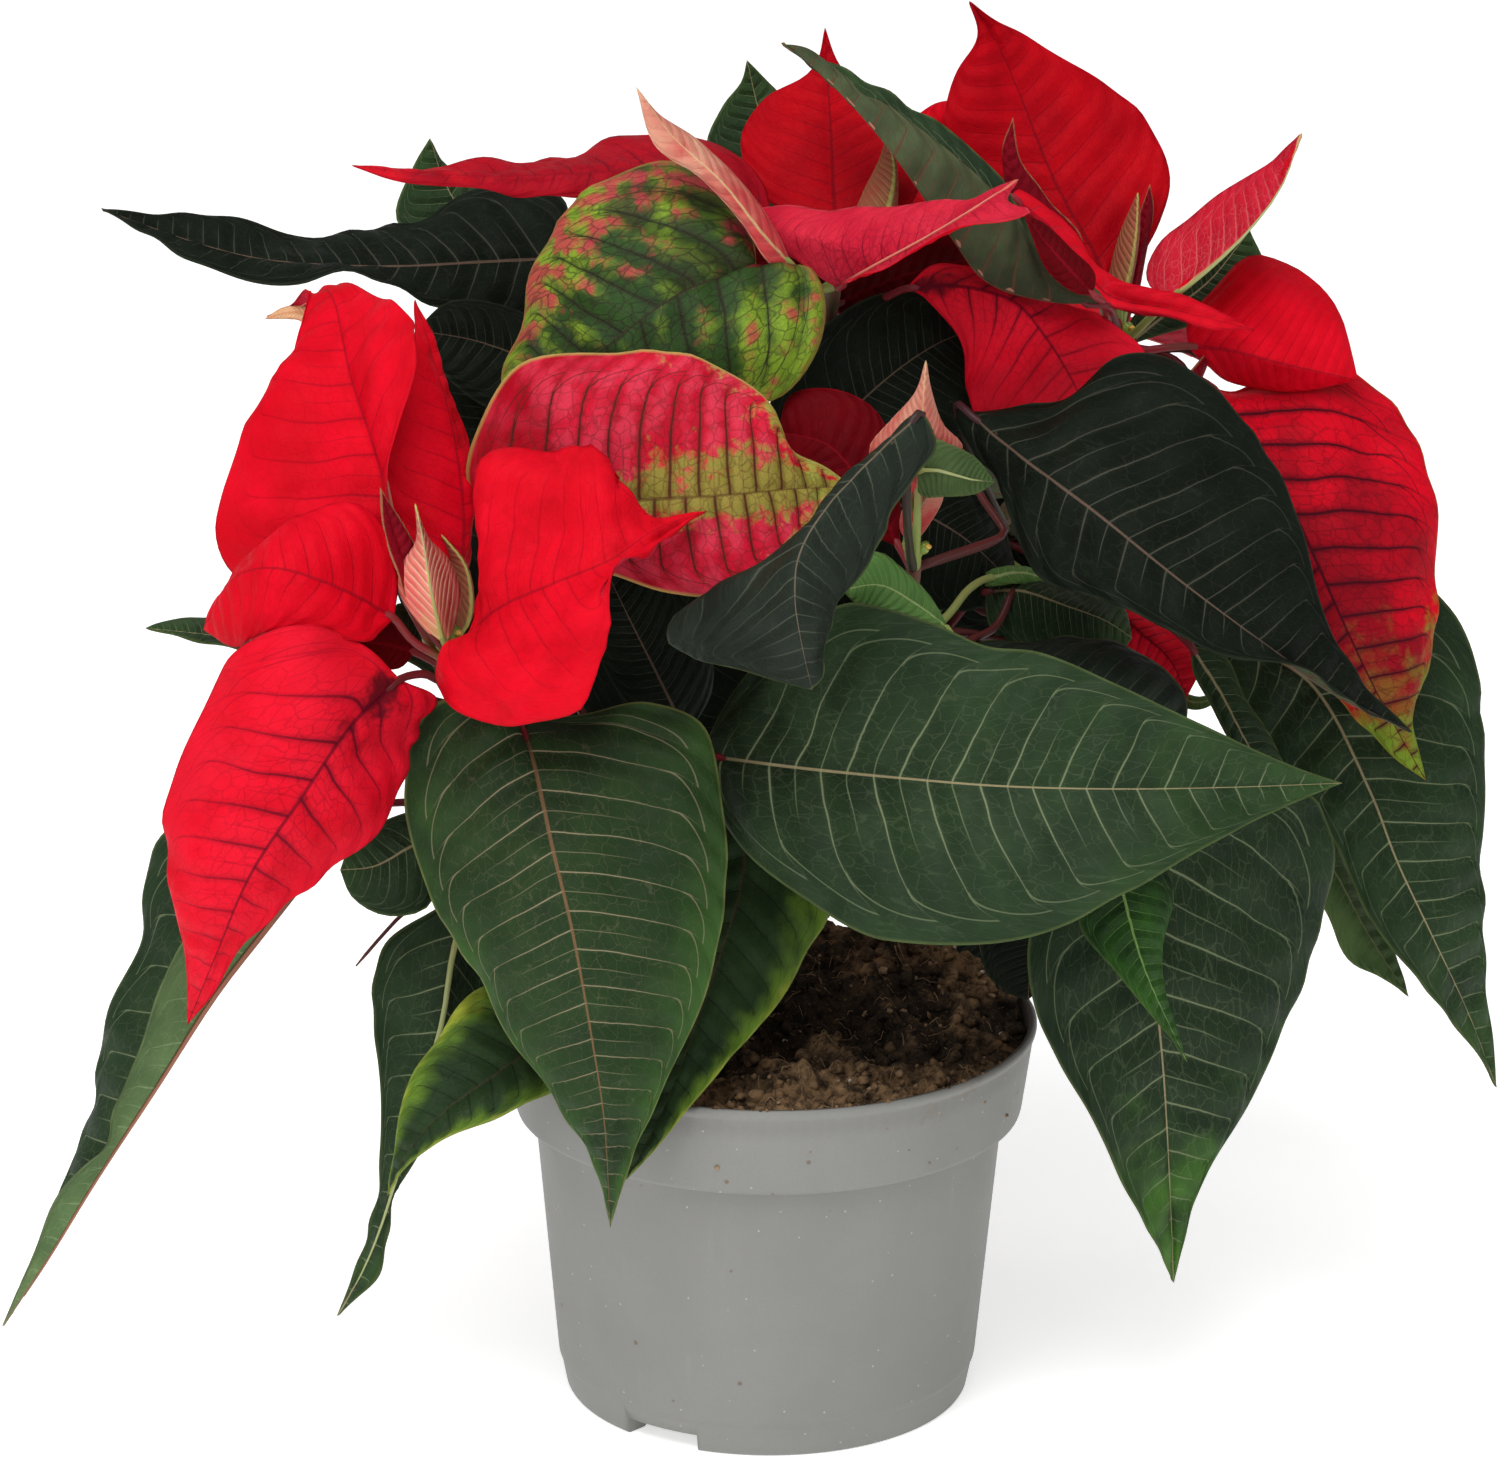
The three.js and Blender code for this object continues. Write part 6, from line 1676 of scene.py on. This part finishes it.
     [(1128, 345, -47), (1165, 315, -53), (1210, 280, -58), (1250, 230, -60)],
     [(1130, 322, -50), (1168, 282, -56), (1212, 246, -60)],
     [(1165, 334, -50), (1215, 315, -55), (1264, 272, -60)]],
    ["leaf_right_large", "green_dark", [(1005, 530, -30), (975, 465, -14)],
     [(958, 404, 5), (1017, 454, 21), (1095, 512, 33), (1182, 582, 39), (1260, 640, 38), (1340, 695, 31),
      (1413, 732, 20)],
     [(968, 413, 3), (1030, 404, 5), (1068, 396, 5), (1115, 360, 2), (1165, 355, 2), (1210, 384, 6),
      (1267, 453, 13), (1300, 530, 20), (1322, 610, 24), (1362, 680, 25)],
     [(950, 402, -5), (964, 442, 3), (1003, 492, 16), (1018, 540, 27), (1042, 580, 34), (1102, 599, 40),
      (1160, 628, 44), (1200, 649, 46), (1275, 661, 44), (1345, 698, 34)]],
    ["leaf_centre_dark", "green_greyish", [(910, 552, 39), (908, 470, 55)],
     [(922, 411, 56), (870, 460, 69), (825, 509, 79), (799, 555, 87), (795, 600, 95), (801, 640, 96),
      (812, 690, 90)],
     [(931, 425, 56), (935, 448, 57), (912, 480, 62), (886, 526, 69), (868, 562, 76), (842, 603, 84),
      (826, 635, 88), (824, 675, 90)],
     [(898, 424, 53), (850, 473, 62), (792, 548, 77), (737, 589, 74), (675, 617, 67), (671, 645, 64),
      (700, 660, 70), (757, 675, 84)]],
    ["leaf_front_right", "green", [(726, 847, 8), (706, 806, 16)],
     [(700, 755, 34), (800, 768, 52), (900, 778, 64), (1000, 786, 72), (1120, 789, 76), (1240, 787, 73),
      (1343, 783, 62)],
     [(735, 690, 30), (790, 640, 37), (850, 603, 52), (930, 622, 58), (985, 646, 62), (1040, 652, 65),
      (1110, 681, 69), (1205, 726, 71), (1290, 765, 67)],
     [(712, 800, 44), (740, 848, 56), (800, 896, 70), (870, 936, 82), (950, 945, 88), (1040, 934, 90),
      (1130, 892, 88), (1210, 845, 82), (1290, 805, 70)]],
    ["leaf_front_left", "green_bright", [(560, 746, 36), (530, 715, 42)],
     [(520, 722, 52), (533, 760, 62), (553, 850, 73), (572, 930, 79), (592, 1040, 82), (604, 1120, 81),
      (610, 1228, 74)],
     [(590, 712, 50), (650, 702, 50), (700, 722, 52), (722, 800, 60), (727, 885, 66), (700, 1008, 74),
      (650, 1117, 77), (622, 1190, 76)],
     [(470, 700, 52), (430, 705, 48), (408, 760, 51), (410, 840, 58), (440, 915, 67), (510, 1035, 73),
      (570, 1120, 76), (600, 1185, 75)]],
    ["leaf_front_dark", "green_edged", [(728, 913, 9), (728, 852, 17)],
     [(745, 805, 20), (742, 880, 31), (715, 970, 45), (675, 1080, 62), (648, 1140, 68), (626, 1180, 68)],
     [(800, 845, 19), (827, 912, 26), (808, 950, 33), (793, 983, 38), (751, 1036, 51), (717, 1074, 61),
      (657, 1148, 69)],
     [(700, 835, 24), (670, 920, 36), (640, 1010, 50), (620, 1100, 63)]],
    ["leaf_left_low", "green_edged", [(682, 928, 3), (662, 950, 16)],
     [(610, 980, 30), (560, 1028, 44), (497, 1073, 56), (440, 1115, 61), (405, 1155, 61), (387, 1196, 57)],
     [(620, 1040, 42), (585, 1075, 53), (551, 1093, 59), (500, 1118, 64), (440, 1142, 65),
      (402, 1170, 61)],
     [(560, 975, 34), (473, 992, 46), (437, 1039, 52), (412, 1073, 55), (396, 1130, 57)]],
    ["leaf_left_hanging", "green_same", [(679, 942, -1), (560, 890, 14)],
     [(470, 890, 29), (452, 950, 35), (441, 1020, 41), (415, 1110, 44), (392, 1190, 45), (367, 1262, 44),
      (337, 1316, 40)],
     [(430, 912, 30), (384, 945, 31), (372, 990, 34), (376, 1060, 37), (382, 1150, 41), (366, 1232, 42),
      (350, 1282, 42)],
     [(490, 930, 22), (485, 1000, 26), (460, 1080, 32), (420, 1150, 38), (390, 1215, 42), (378, 1275, 42)]],
    ["leaf_left_long", "green_paler_below", [(606, 794, 19), (470, 800, 22)],
     [(345, 812, 22), (300, 878, 30), (262, 928, 36), (214, 991, 42), (153, 1087, 46), (96, 1175, 46),
      (42, 1265, 42), (2, 1326, 34)],
     [(296, 850, 30), (228, 900, 42), (184, 942, 48), (160, 985, 51), (142, 1049, 53), (124, 1090, 52),
      (103, 1148, 50), (66, 1180, 48), (35, 1250, 43)],
     [(290, 800, 14), (210, 800, 16), (163, 835, 22), (149, 866, 24), (141, 930, 28), (110, 1010, 31),
      (92, 1083, 34), (84, 1130, 35), (52, 1222, 37), (22, 1284, 34)]],
    ["leaf_left_under", "green_rounded", [(584, 808, 17), (490, 822, 26)],
     [(440, 830, 30), (408, 848, 34), (375, 866, 35), (340, 870, 33)],
     [(442, 880, 30), (425, 908, 33), (385, 915, 35), (352, 897, 34)],
     [(420, 812, 27), (380, 824, 30), (350, 846, 32)]],
    ["leaf_left_edge", "green_under", [(486, 708, 38), (400, 690, 30)],
     [(330, 655, 22), (260, 642, 20), (200, 634, 18), (145, 628, 16)],
     [(300, 664, 26), (240, 650, 25), (190, 641, 21)],
     [(300, 622, 10), (225, 618, 8), (165, 621, 12)]],
    ["leaf_centre_left", "green_dark", [(744, 800, -2), (716, 770, 10)],
     [(688, 738, 24), (660, 680, 30), (630, 620, 33), (604, 566, 30)],
     [(648, 722, 28), (606, 672, 32), (590, 615, 32)],
     [(712, 690, 20), (702, 625, 22), (660, 574, 24)]],
    ["leaf_centre_pale", "green_pale", [(905, 640, 32), (945, 650, 36)],
     [(950, 631, 40), (915, 604, 44), (880, 585, 47), (842, 590, 46)],
     [(925, 622, 46), (886, 612, 48), (856, 604, 47)],
     [(934, 604, 40), (905, 572, 42), (877, 551, 43), (852, 566, 43)]],
    ["leaf_centre_olive", "green", [(942, 628, -28), (966, 606, -18)],
     [(985, 592, -8), (1022, 591, -3), (1064, 605, 0), (1104, 620, 0), (1132, 638, -4)],
     [(1005, 574, -10), (1040, 572, -12), (1090, 586, -12), (1124, 606, -9)],
     [(992, 630, -3), (1030, 655, 1), (1080, 662, 2), (1120, 652, -1)]],
    ["leaf_centre_low", "green_greyish", [(852, 694, -17), (900, 670, 0)],
     [(950, 664, 8), (1010, 664, 16), (1070, 676, 21), (1130, 696, 22), (1186, 730, 16)],
     [(985, 643, 6), (1040, 638, 8), (1100, 641, 10), (1152, 657, 12), (1185, 694, 13)],
     [(985, 700, 14), (1040, 728, 24), (1100, 745, 28), (1155, 748, 24)]],
    ["leaf_right_olive", "green", [(1040, 478, -33), (1120, 580, -20)],
     [(1190, 645, -14), (1219, 690, -10), (1245, 740, -7), (1272, 785, -7), (1302, 830, -10)],
     [(1226, 656, -15), (1245, 698, -12), (1272, 740, -11), (1296, 786, -11)],
     [(1194, 672, -11), (1210, 702, -8), (1227, 738, -5), (1256, 784, -4), (1280, 816, -7)]],
    ["leaf_right_low", "green_arched", [(905, 655, -22), (1050, 700, 2), (1140, 750, 18)],
     [(1172, 800, 31), (1158, 890, 41), (1157, 990, 48), (1164, 1076, 49), (1170, 1180, 46),
      (1174, 1283, 40)],
     [(1258, 790, 24), (1318, 800, 22), (1333, 866, 24), (1310, 966, 30), (1256, 1092, 39),
      (1203, 1180, 43), (1182, 1250, 42)],
     [(1110, 825, 34), (1050, 880, 40), (1028, 945, 45), (1037, 1015, 50), (1090, 1118, 54),
      (1138, 1208, 52), (1162, 1258, 45)]],
    ["leaf_right_young", "green_fresh", [(890, 670, -21), (1000, 735, 12), (1080, 790, 40)],
     [(1115, 850, 53), (1126, 905, 60), (1145, 970, 63), (1187, 1062, 60)],
     [(1150, 852, 48), (1173, 885, 50), (1163, 940, 54), (1172, 1010, 57)],
     [(1088, 880, 56), (1079, 925, 61), (1118, 974, 66), (1165, 1032, 63)]],
    ["leaf_right_far", "green", [(1014, 520, -39), (1130, 572, -39)],
     [(1240, 640, -31), (1311, 684, -25), (1369, 789, -18), (1397, 861, -13), (1431, 933, -10),
      (1469, 1014, -15), (1497, 1088, -20)],
     [(1330, 600, -34), (1400, 568, -38), (1445, 604, -38), (1474, 655, -35), (1486, 756, -30),
      (1482, 870, -25), (1486, 980, -21), (1492, 1040, -20)],
     [(1220, 690, -31), (1244, 740, -27), (1290, 790, -20), (1330, 835, -15), (1369, 918, -9),
      (1426, 990, -8), (1470, 1045, -14)]],
    ["leaf_right_tip", "green_mid", [(900, 668, -30), (1080, 700, -34), (1200, 750, -32)],
     [(1280, 800, -28), (1330, 864, -22), (1367, 932, -20), (1409, 997, -22)],
     [(1322, 812, -32), (1356, 880, -28), (1390, 938, -25)],
     [(1285, 855, -23), (1324, 910, -18), (1351, 962, -17), (1382, 977, -19)]],
    ["leaf_back_left", "green_dark", [(646, 434, -46), (606, 335, -50)],
     [(560, 258, -46), (480, 262, -40), (400, 266, -35), (320, 264, -32), (258, 258, -33),
      (201, 244, -36), (143, 224, -41), (101, 208, -46)],
     [(520, 325, -32), (440, 306, -27), (363, 276, -24), (300, 287, -22), (249, 282, -25),
      (172, 251, -31), (124, 222, -39)],
     [(564, 201, -58), (497, 186, -60), (430, 215, -56), (380, 227, -52), (330, 236, -48),
      (290, 230, -46), (240, 218, -44), (172, 215, -44)]],
    ["leaf_back_inner", "green_dark", [(800, 520, -28), (730, 470, -30)],
     [(640, 430, -28), (560, 375, -22), (480, 342, -18), (415, 330, -16)],
     [(600, 460, -22), (520, 425, -14), (450, 380, -12)],
     [(600, 370, -32), (520, 310, -28), (450, 302, -22)]],
    ["leaf_back_top", "green", [(822, 303, -27)],
     [(795, 232, -50), (772, 160, -66), (756, 100, -70), (747, 60, -68)],
     [(752, 212, -54), (706, 150, -64), (722, 106, -68), (741, 83, -69)],
     [(832, 190, -62), (815, 130, -70), (775, 88, -72)]],
    ["leaf_back_upright", "green", [(628, 370, -58), (596, 330, -70)],
     [(545, 300, -72), (482, 240, -74), (446, 185, -74), (430, 138, -72)],
     [(470, 298, -66), (420, 250, -68), (395, 216, -70), (414, 165, -72)],
     [(560, 250, -80), (500, 200, -80), (446, 163, -76)]],
    ["leaf_top_inner", "green_dark", [(826, 372, -26)],
     [(842, 352, -32), (880, 355, -30), (930, 375, -30), (984, 412, -34)],
     [(860, 312, -42), (915, 305, -44), (968, 345, -42)],
     [(846, 392, -26), (895, 425, -22), (950, 436, -27)]],
]

# Each far leaf is [its name, its skin, its root, its turn in degrees from straight back, and in
# millimetres its stalk's length, its blade's length and width, its rise and its droop].
FAR_LEAVES = [
    ["far_bract_1", "red", (618, 342, -58), -24, 16, 78, 40, 3, 18],
    ["far_bract_2", "red", (627, 328, -62), 7, 16, 84, 44, 18, 26],
    ["far_bract_3", "red", (634, 338, -61), 42, 14, 74, 40, 6, 16],
    ["far_bract_4", "red", (936, 386, -71), -18, 15, 78, 42, 7, 24],
    ["far_bract_5", "red", (950, 386, -71), 44, 16, 82, 44, 8, 26],
    ["far_leaf_1", "green", (646, 480, -50), -62, 34, 78, 54, 6, 60],
    ["far_leaf_2", "green", (660, 560, -45), -12, 36, 112, 62, 4, 84],
    ["far_leaf_3", "green", (905, 500, -65), 14, 30, 104, 58, 4, 78],
    ["far_leaf_4", "green", (900, 542, -61), 66, 34, 106, 58, 2, 70],
    ["far_leaf_5", "green", (745, 800, -20), 24, 44, 96, 54, 8, 62],
]

# Small leaves, which the frame leaves out.
SMALL_LEAVES = [
    ["bract_top_hidden", "red", [(846, 262, -18)],
     [(868, 240, -28), (902, 185, -44), (938, 135, -58), (972, 100, -66)],
     [(870, 205, -32), (893, 140, -50), (922, 112, -60), (948, 101, -65)],
     [(895, 240, -34), (950, 190, -54), (985, 150, -64), (987, 115, -68)]],
    ["bract_top_shaded", "red_dark", [(830, 320, -22)],
     [(836, 305, -26), (865, 290, -30), (905, 275, -34), (955, 262, -38), (1000, 256, -42)],
     [(836, 280, -26), (858, 250, -28), (900, 226, -32), (955, 222, -38)],
     [(845, 330, -30), (890, 325, -36), (935, 312, -40), (980, 285, -42)]],
    ["leaf_centre_light", "green_flat", [(916, 540, 34), (908, 490, 38)],
     [(918, 470, 43), (940, 470, 46), (966, 478, 44), (995, 482, 38)],
     [(920, 495, 44), (945, 496, 44), (978, 493, 41)],
     [(930, 438, 45), (950, 444, 45), (976, 458, 42)]],
    ["leaf_left_small", "green", [(470, 708, 42)],
     [(445, 692, 38), (425, 655, 36), (402, 636, 35), (378, 638, 34)],
     [(430, 676, 40), (405, 660, 40), (386, 656, 38)],
     [(445, 650, 32), (425, 615, 31), (400, 602, 31)]],
    ["leaf_centre_back", "green_dark", [(815, 520, -24)],
     [(850, 500, -20), (900, 505, -14), (960, 535, -10), (1020, 590, -14)],
     [(870, 455, -26), (940, 450, -28), (1000, 510, -26)],
     [(850, 545, -14), (890, 590, -6), (960, 612, -6)]],
    ["bract_left_sliver", "red_edged", [(446, 652, 55), (430, 632, 56)],
     [(416, 612, 56), (409, 576, 55), (398, 545, 54), (380, 487, 54)],
     [(401, 592, 58), (396, 568, 58), (383, 528, 56)],
     [(425, 594, 53), (424, 562, 52), (402, 524, 52)]],
    ["bract_left_peach", "peach_tip", [(330, 330, -4)],
     [(318, 318, -6), (300, 313, -8), (282, 314, -9), (265, 319, -10)],
     [(312, 327, -6), (298, 320, -7), (280, 319, -9)],
     [(316, 306, -9), (300, 305, -10), (282, 308, -11)]],
    ["bract_left_olive", "olive_bud", [(448, 655, 46)],
     [(453, 646, 46), (468, 624, 46), (471, 597, 45), (465, 566, 44), (441, 534, 42)],
     [(456, 620, 42), (454, 590, 40), (450, 556, 41)],
     [(471, 620, 44), (474, 596, 43), (466, 563, 42)]],
    ["bract_top_olive", "olive_bud", [(850, 266, -14)],
     [(880, 236, -13), (889, 205, -15), (894, 172, -20), (887, 133, -27)],
     [(854, 222, -14), (862, 195, -18), (879, 160, -23)],
     [(893, 226, -16), (898, 192, -19), (895, 156, -25)]],
    ["bract_right_rib", "red_edged", [(1112, 325, -39)],
     [(1078, 268, -41), (1038, 214, -42), (1008, 165, -42), (1013, 117, -41)],
     [(1054, 262, -44), (1014, 212, -45), (1004, 150, -43)],
     [(1084, 242, -44), (1050, 200, -45), (1020, 158, -43)]],
    ["bract_right_olive", "olive_bud", [(1118, 335, -38)],
     [(1120, 305, -38), (1130, 275, -38), (1136, 235, -39), (1138, 192, -40)],
     [(1108, 296, -41), (1111, 266, -42), (1122, 228, -42)],
     [(1127, 298, -41), (1136, 262, -42), (1140, 222, -42)]],
    ["bract_right_tip", "red_edged", [(1120, 336, -40)],
     [(1132, 300, -43), (1139, 260, -45), (1146, 222, -46), (1150, 184, -46)],
     [(1124, 290, -46), (1131, 255, -48), (1140, 218, -48)],
     [(1140, 292, -46), (1148, 250, -48), (1152, 212, -48)]],
    ["bract_right_hook", "red_edged", [(1150, 352, -38), (1178, 362, -34)],
     [(1192, 380, -32), (1200, 370, -31), (1206, 360, -31), (1210, 348, -31)],
     [(1190, 372, -30), (1198, 362, -30)],
     [(1198, 384, -34), (1206, 370, -34)]],
    ["leaf_centre_young", "pink_young", [(912, 560, 33), (908, 548, 34)],
     [(906, 540, 35), (915, 520, 37), (926, 500, 38), (944, 486, 38)],
     [(900, 528, 33), (903, 508, 34), (918, 490, 35)],
     [(918, 538, 33), (932, 520, 34), (942, 502, 35)]],
    ["leaf_centre_tiny", "green_pale", [(868, 668, 26), (856, 640, 33)],
     [(842, 612, 42), (838, 624, 43), (841, 637, 43), (849, 648, 42)],
     [(848, 618, 40), (848, 628, 41), (850, 638, 41)],
     [(834, 618, 40), (830, 630, 41), (836, 642, 41)]],
    ["leaf_centre_arch", "green_pale", [(900, 650, 20), (945, 618, 12), (968, 590, 4)],
     [(985, 579, -2), (1020, 572, -6), (1060, 584, -10), (1100, 598, -16), (1122, 612, -22)],
     [(990, 572, -10), (1025, 565, -14), (1065, 578, -18), (1100, 590, -22)],
     [(985, 586, -2), (1020, 584, -5), (1060, 596, -9), (1098, 608, -15)]],
    ["leaf_right_curl", "green_pale", [(1140, 660, -30), (1168, 690, -28)],
     [(1184, 700, -26), (1196, 703, -24), (1208, 701, -23), (1222, 694, -22)],
     [(1186, 694, -30), (1198, 697, -30), (1210, 695, -27)],
     [(1184, 707, -24), (1197, 710, -22), (1210, 706, -22)]],
    ["leaf_inner_left", "green_dark", [(600, 640, -4)],
     [(560, 560, -10), (520, 480, -20), (490, 400, -28), (470, 330, -34), (455, 270, -38)],
     [(484, 620, -10), (455, 540, -20), (436, 450, -28), (440, 350, -34)],
     [(600, 510, -16), (570, 420, -26), (535, 345, -32), (495, 290, -38)]],
    ["leaf_inner_centre", "green_dark", [(540, 690, 6)],
     [(560, 650, 0), (620, 640, -6), (680, 630, -14), (740, 600, -20), (800, 560, -24)],
     [(560, 600, -6), (620, 565, -12), (690, 545, -20), (750, 540, -24)],
     [(575, 735, -2), (650, 748, -6), (730, 742, -12), (790, 690, -18)]],
    ["leaf_inner_top", "green_dark", [(770, 560, -24)],
     [(790, 500, -12), (835, 430, -12), (885, 380, -14), (935, 345, -20), (985, 325, -30)],
     [(765, 440, -10), (785, 370, -10), (840, 312, -12), (915, 290, -26)],
     [(855, 510, -10), (920, 475, -14), (975, 440, -18), (1000, 385, -26)]],
    ["leaf_inner_right", "green_dark", [(810, 690, -14)],
     [(835, 655, -18), (890, 605, -26), (950, 560, -34), (1010, 540, -40), (1075, 540, -44)],
     [(822, 590, -22), (872, 532, -30), (950, 508, -40), (1020, 500, -44)],
     [(895, 665, -24), (950, 645, -30), (1010, 625, -36), (1065, 590, -42)]],
    ["leaf_inner_low", "green_dark", [(880, 730, -24)],
     [(950, 695, -30), (1010, 672, -36), (1065, 655, -40), (1120, 645, -44), (1172, 652, -46)],
     [(975, 640, -36), (1035, 612, -42), (1095, 602, -46), (1145, 615, -48)],
     [(975, 730, -30), (1040, 735, -36), (1095, 720, -40), (1140, 690, -44)]],
    ["bract_inner_top", "red_dark", [(835, 345, -40)],
     [(826, 322, -42), (804, 290, -47), (776, 255, -51), (748, 215, -53)],
     [(785, 325, -44), (755, 290, -49), (740, 252, -52)],
     [(850, 285, -46), (825, 245, -50), (785, 215, -53)]],
    ["leaf_right_inner", "green_dark", [(1050, 845, 14)],
     [(1060, 880, 20), (1045, 915, 24), (1032, 955, 27), (1028, 1000, 28)],
     [(1085, 905, 22), (1075, 950, 25), (1045, 985, 27)],
     [(1010, 890, 20), (984, 930, 24), (984, 968, 26), (1006, 992, 27)]],
    ["leaf_back_low", "green_dark", [(905, 790, -44)],
     [(930, 830, -50), (955, 880, -58), (975, 930, -64), (990, 990, -66)],
     [(985, 850, -56), (1010, 905, -62), (1012, 955, -66)],
     [(890, 860, -50), (895, 920, -58), (930, 965, -64)]],
    ["leaf_right_shaded", "green_dark", [(1120, 610, -42)],
     [(1150, 622, -46), (1185, 638, -50), (1220, 652, -53), (1256, 662, -54)],
     [(1166, 606, -46), (1200, 618, -49), (1234, 638, -52)],
     [(1160, 650, -50), (1190, 668, -53), (1226, 674, -55)]],
    ["leaf_left_inner", "green_dark", [(530, 720, 30)],
     [(500, 700, 22), (470, 650, 20), (440, 590, 16), (420, 540, 12)],
     [(455, 690, 24), (420, 640, 20), (396, 590, 16), (392, 560, 13)],
     [(520, 640, 16), (495, 590, 12), (465, 550, 10)]],
    ["bract_right_inner", "red_dark", [(1104, 304, -12)],
     [(1093, 295, -2), (1070, 270, 3), (1046, 243, 4), (1024, 214, 2)],
     [(1076, 293, 3), (1048, 272, 5), (1032, 240, 5)],
     [(1094, 272, 0), (1068, 246, 1), (1040, 222, 1)]],
    ["bract_inner_left", "red_dark", [(440, 664, 46)],
     [(415, 652, 48), (390, 645, 50), (362, 642, 52), (338, 646, 52)],
     [(400, 668, 50), (375, 668, 52), (350, 660, 53)],
     [(402, 628, 48), (375, 620, 50), (350, 626, 51)]],
]


make_camera()
make_floor()
make_light()
make_pot()
make_soil()
make_soil_litter()
make_stem()
make_buds()
for row in LEAVES:
    drawn_leaf(*row)
for row in FAR_LEAVES:
    far_leaf(*row)
for row in SMALL_LEAVES:
    drawn_leaf(*row, stands_for=False)
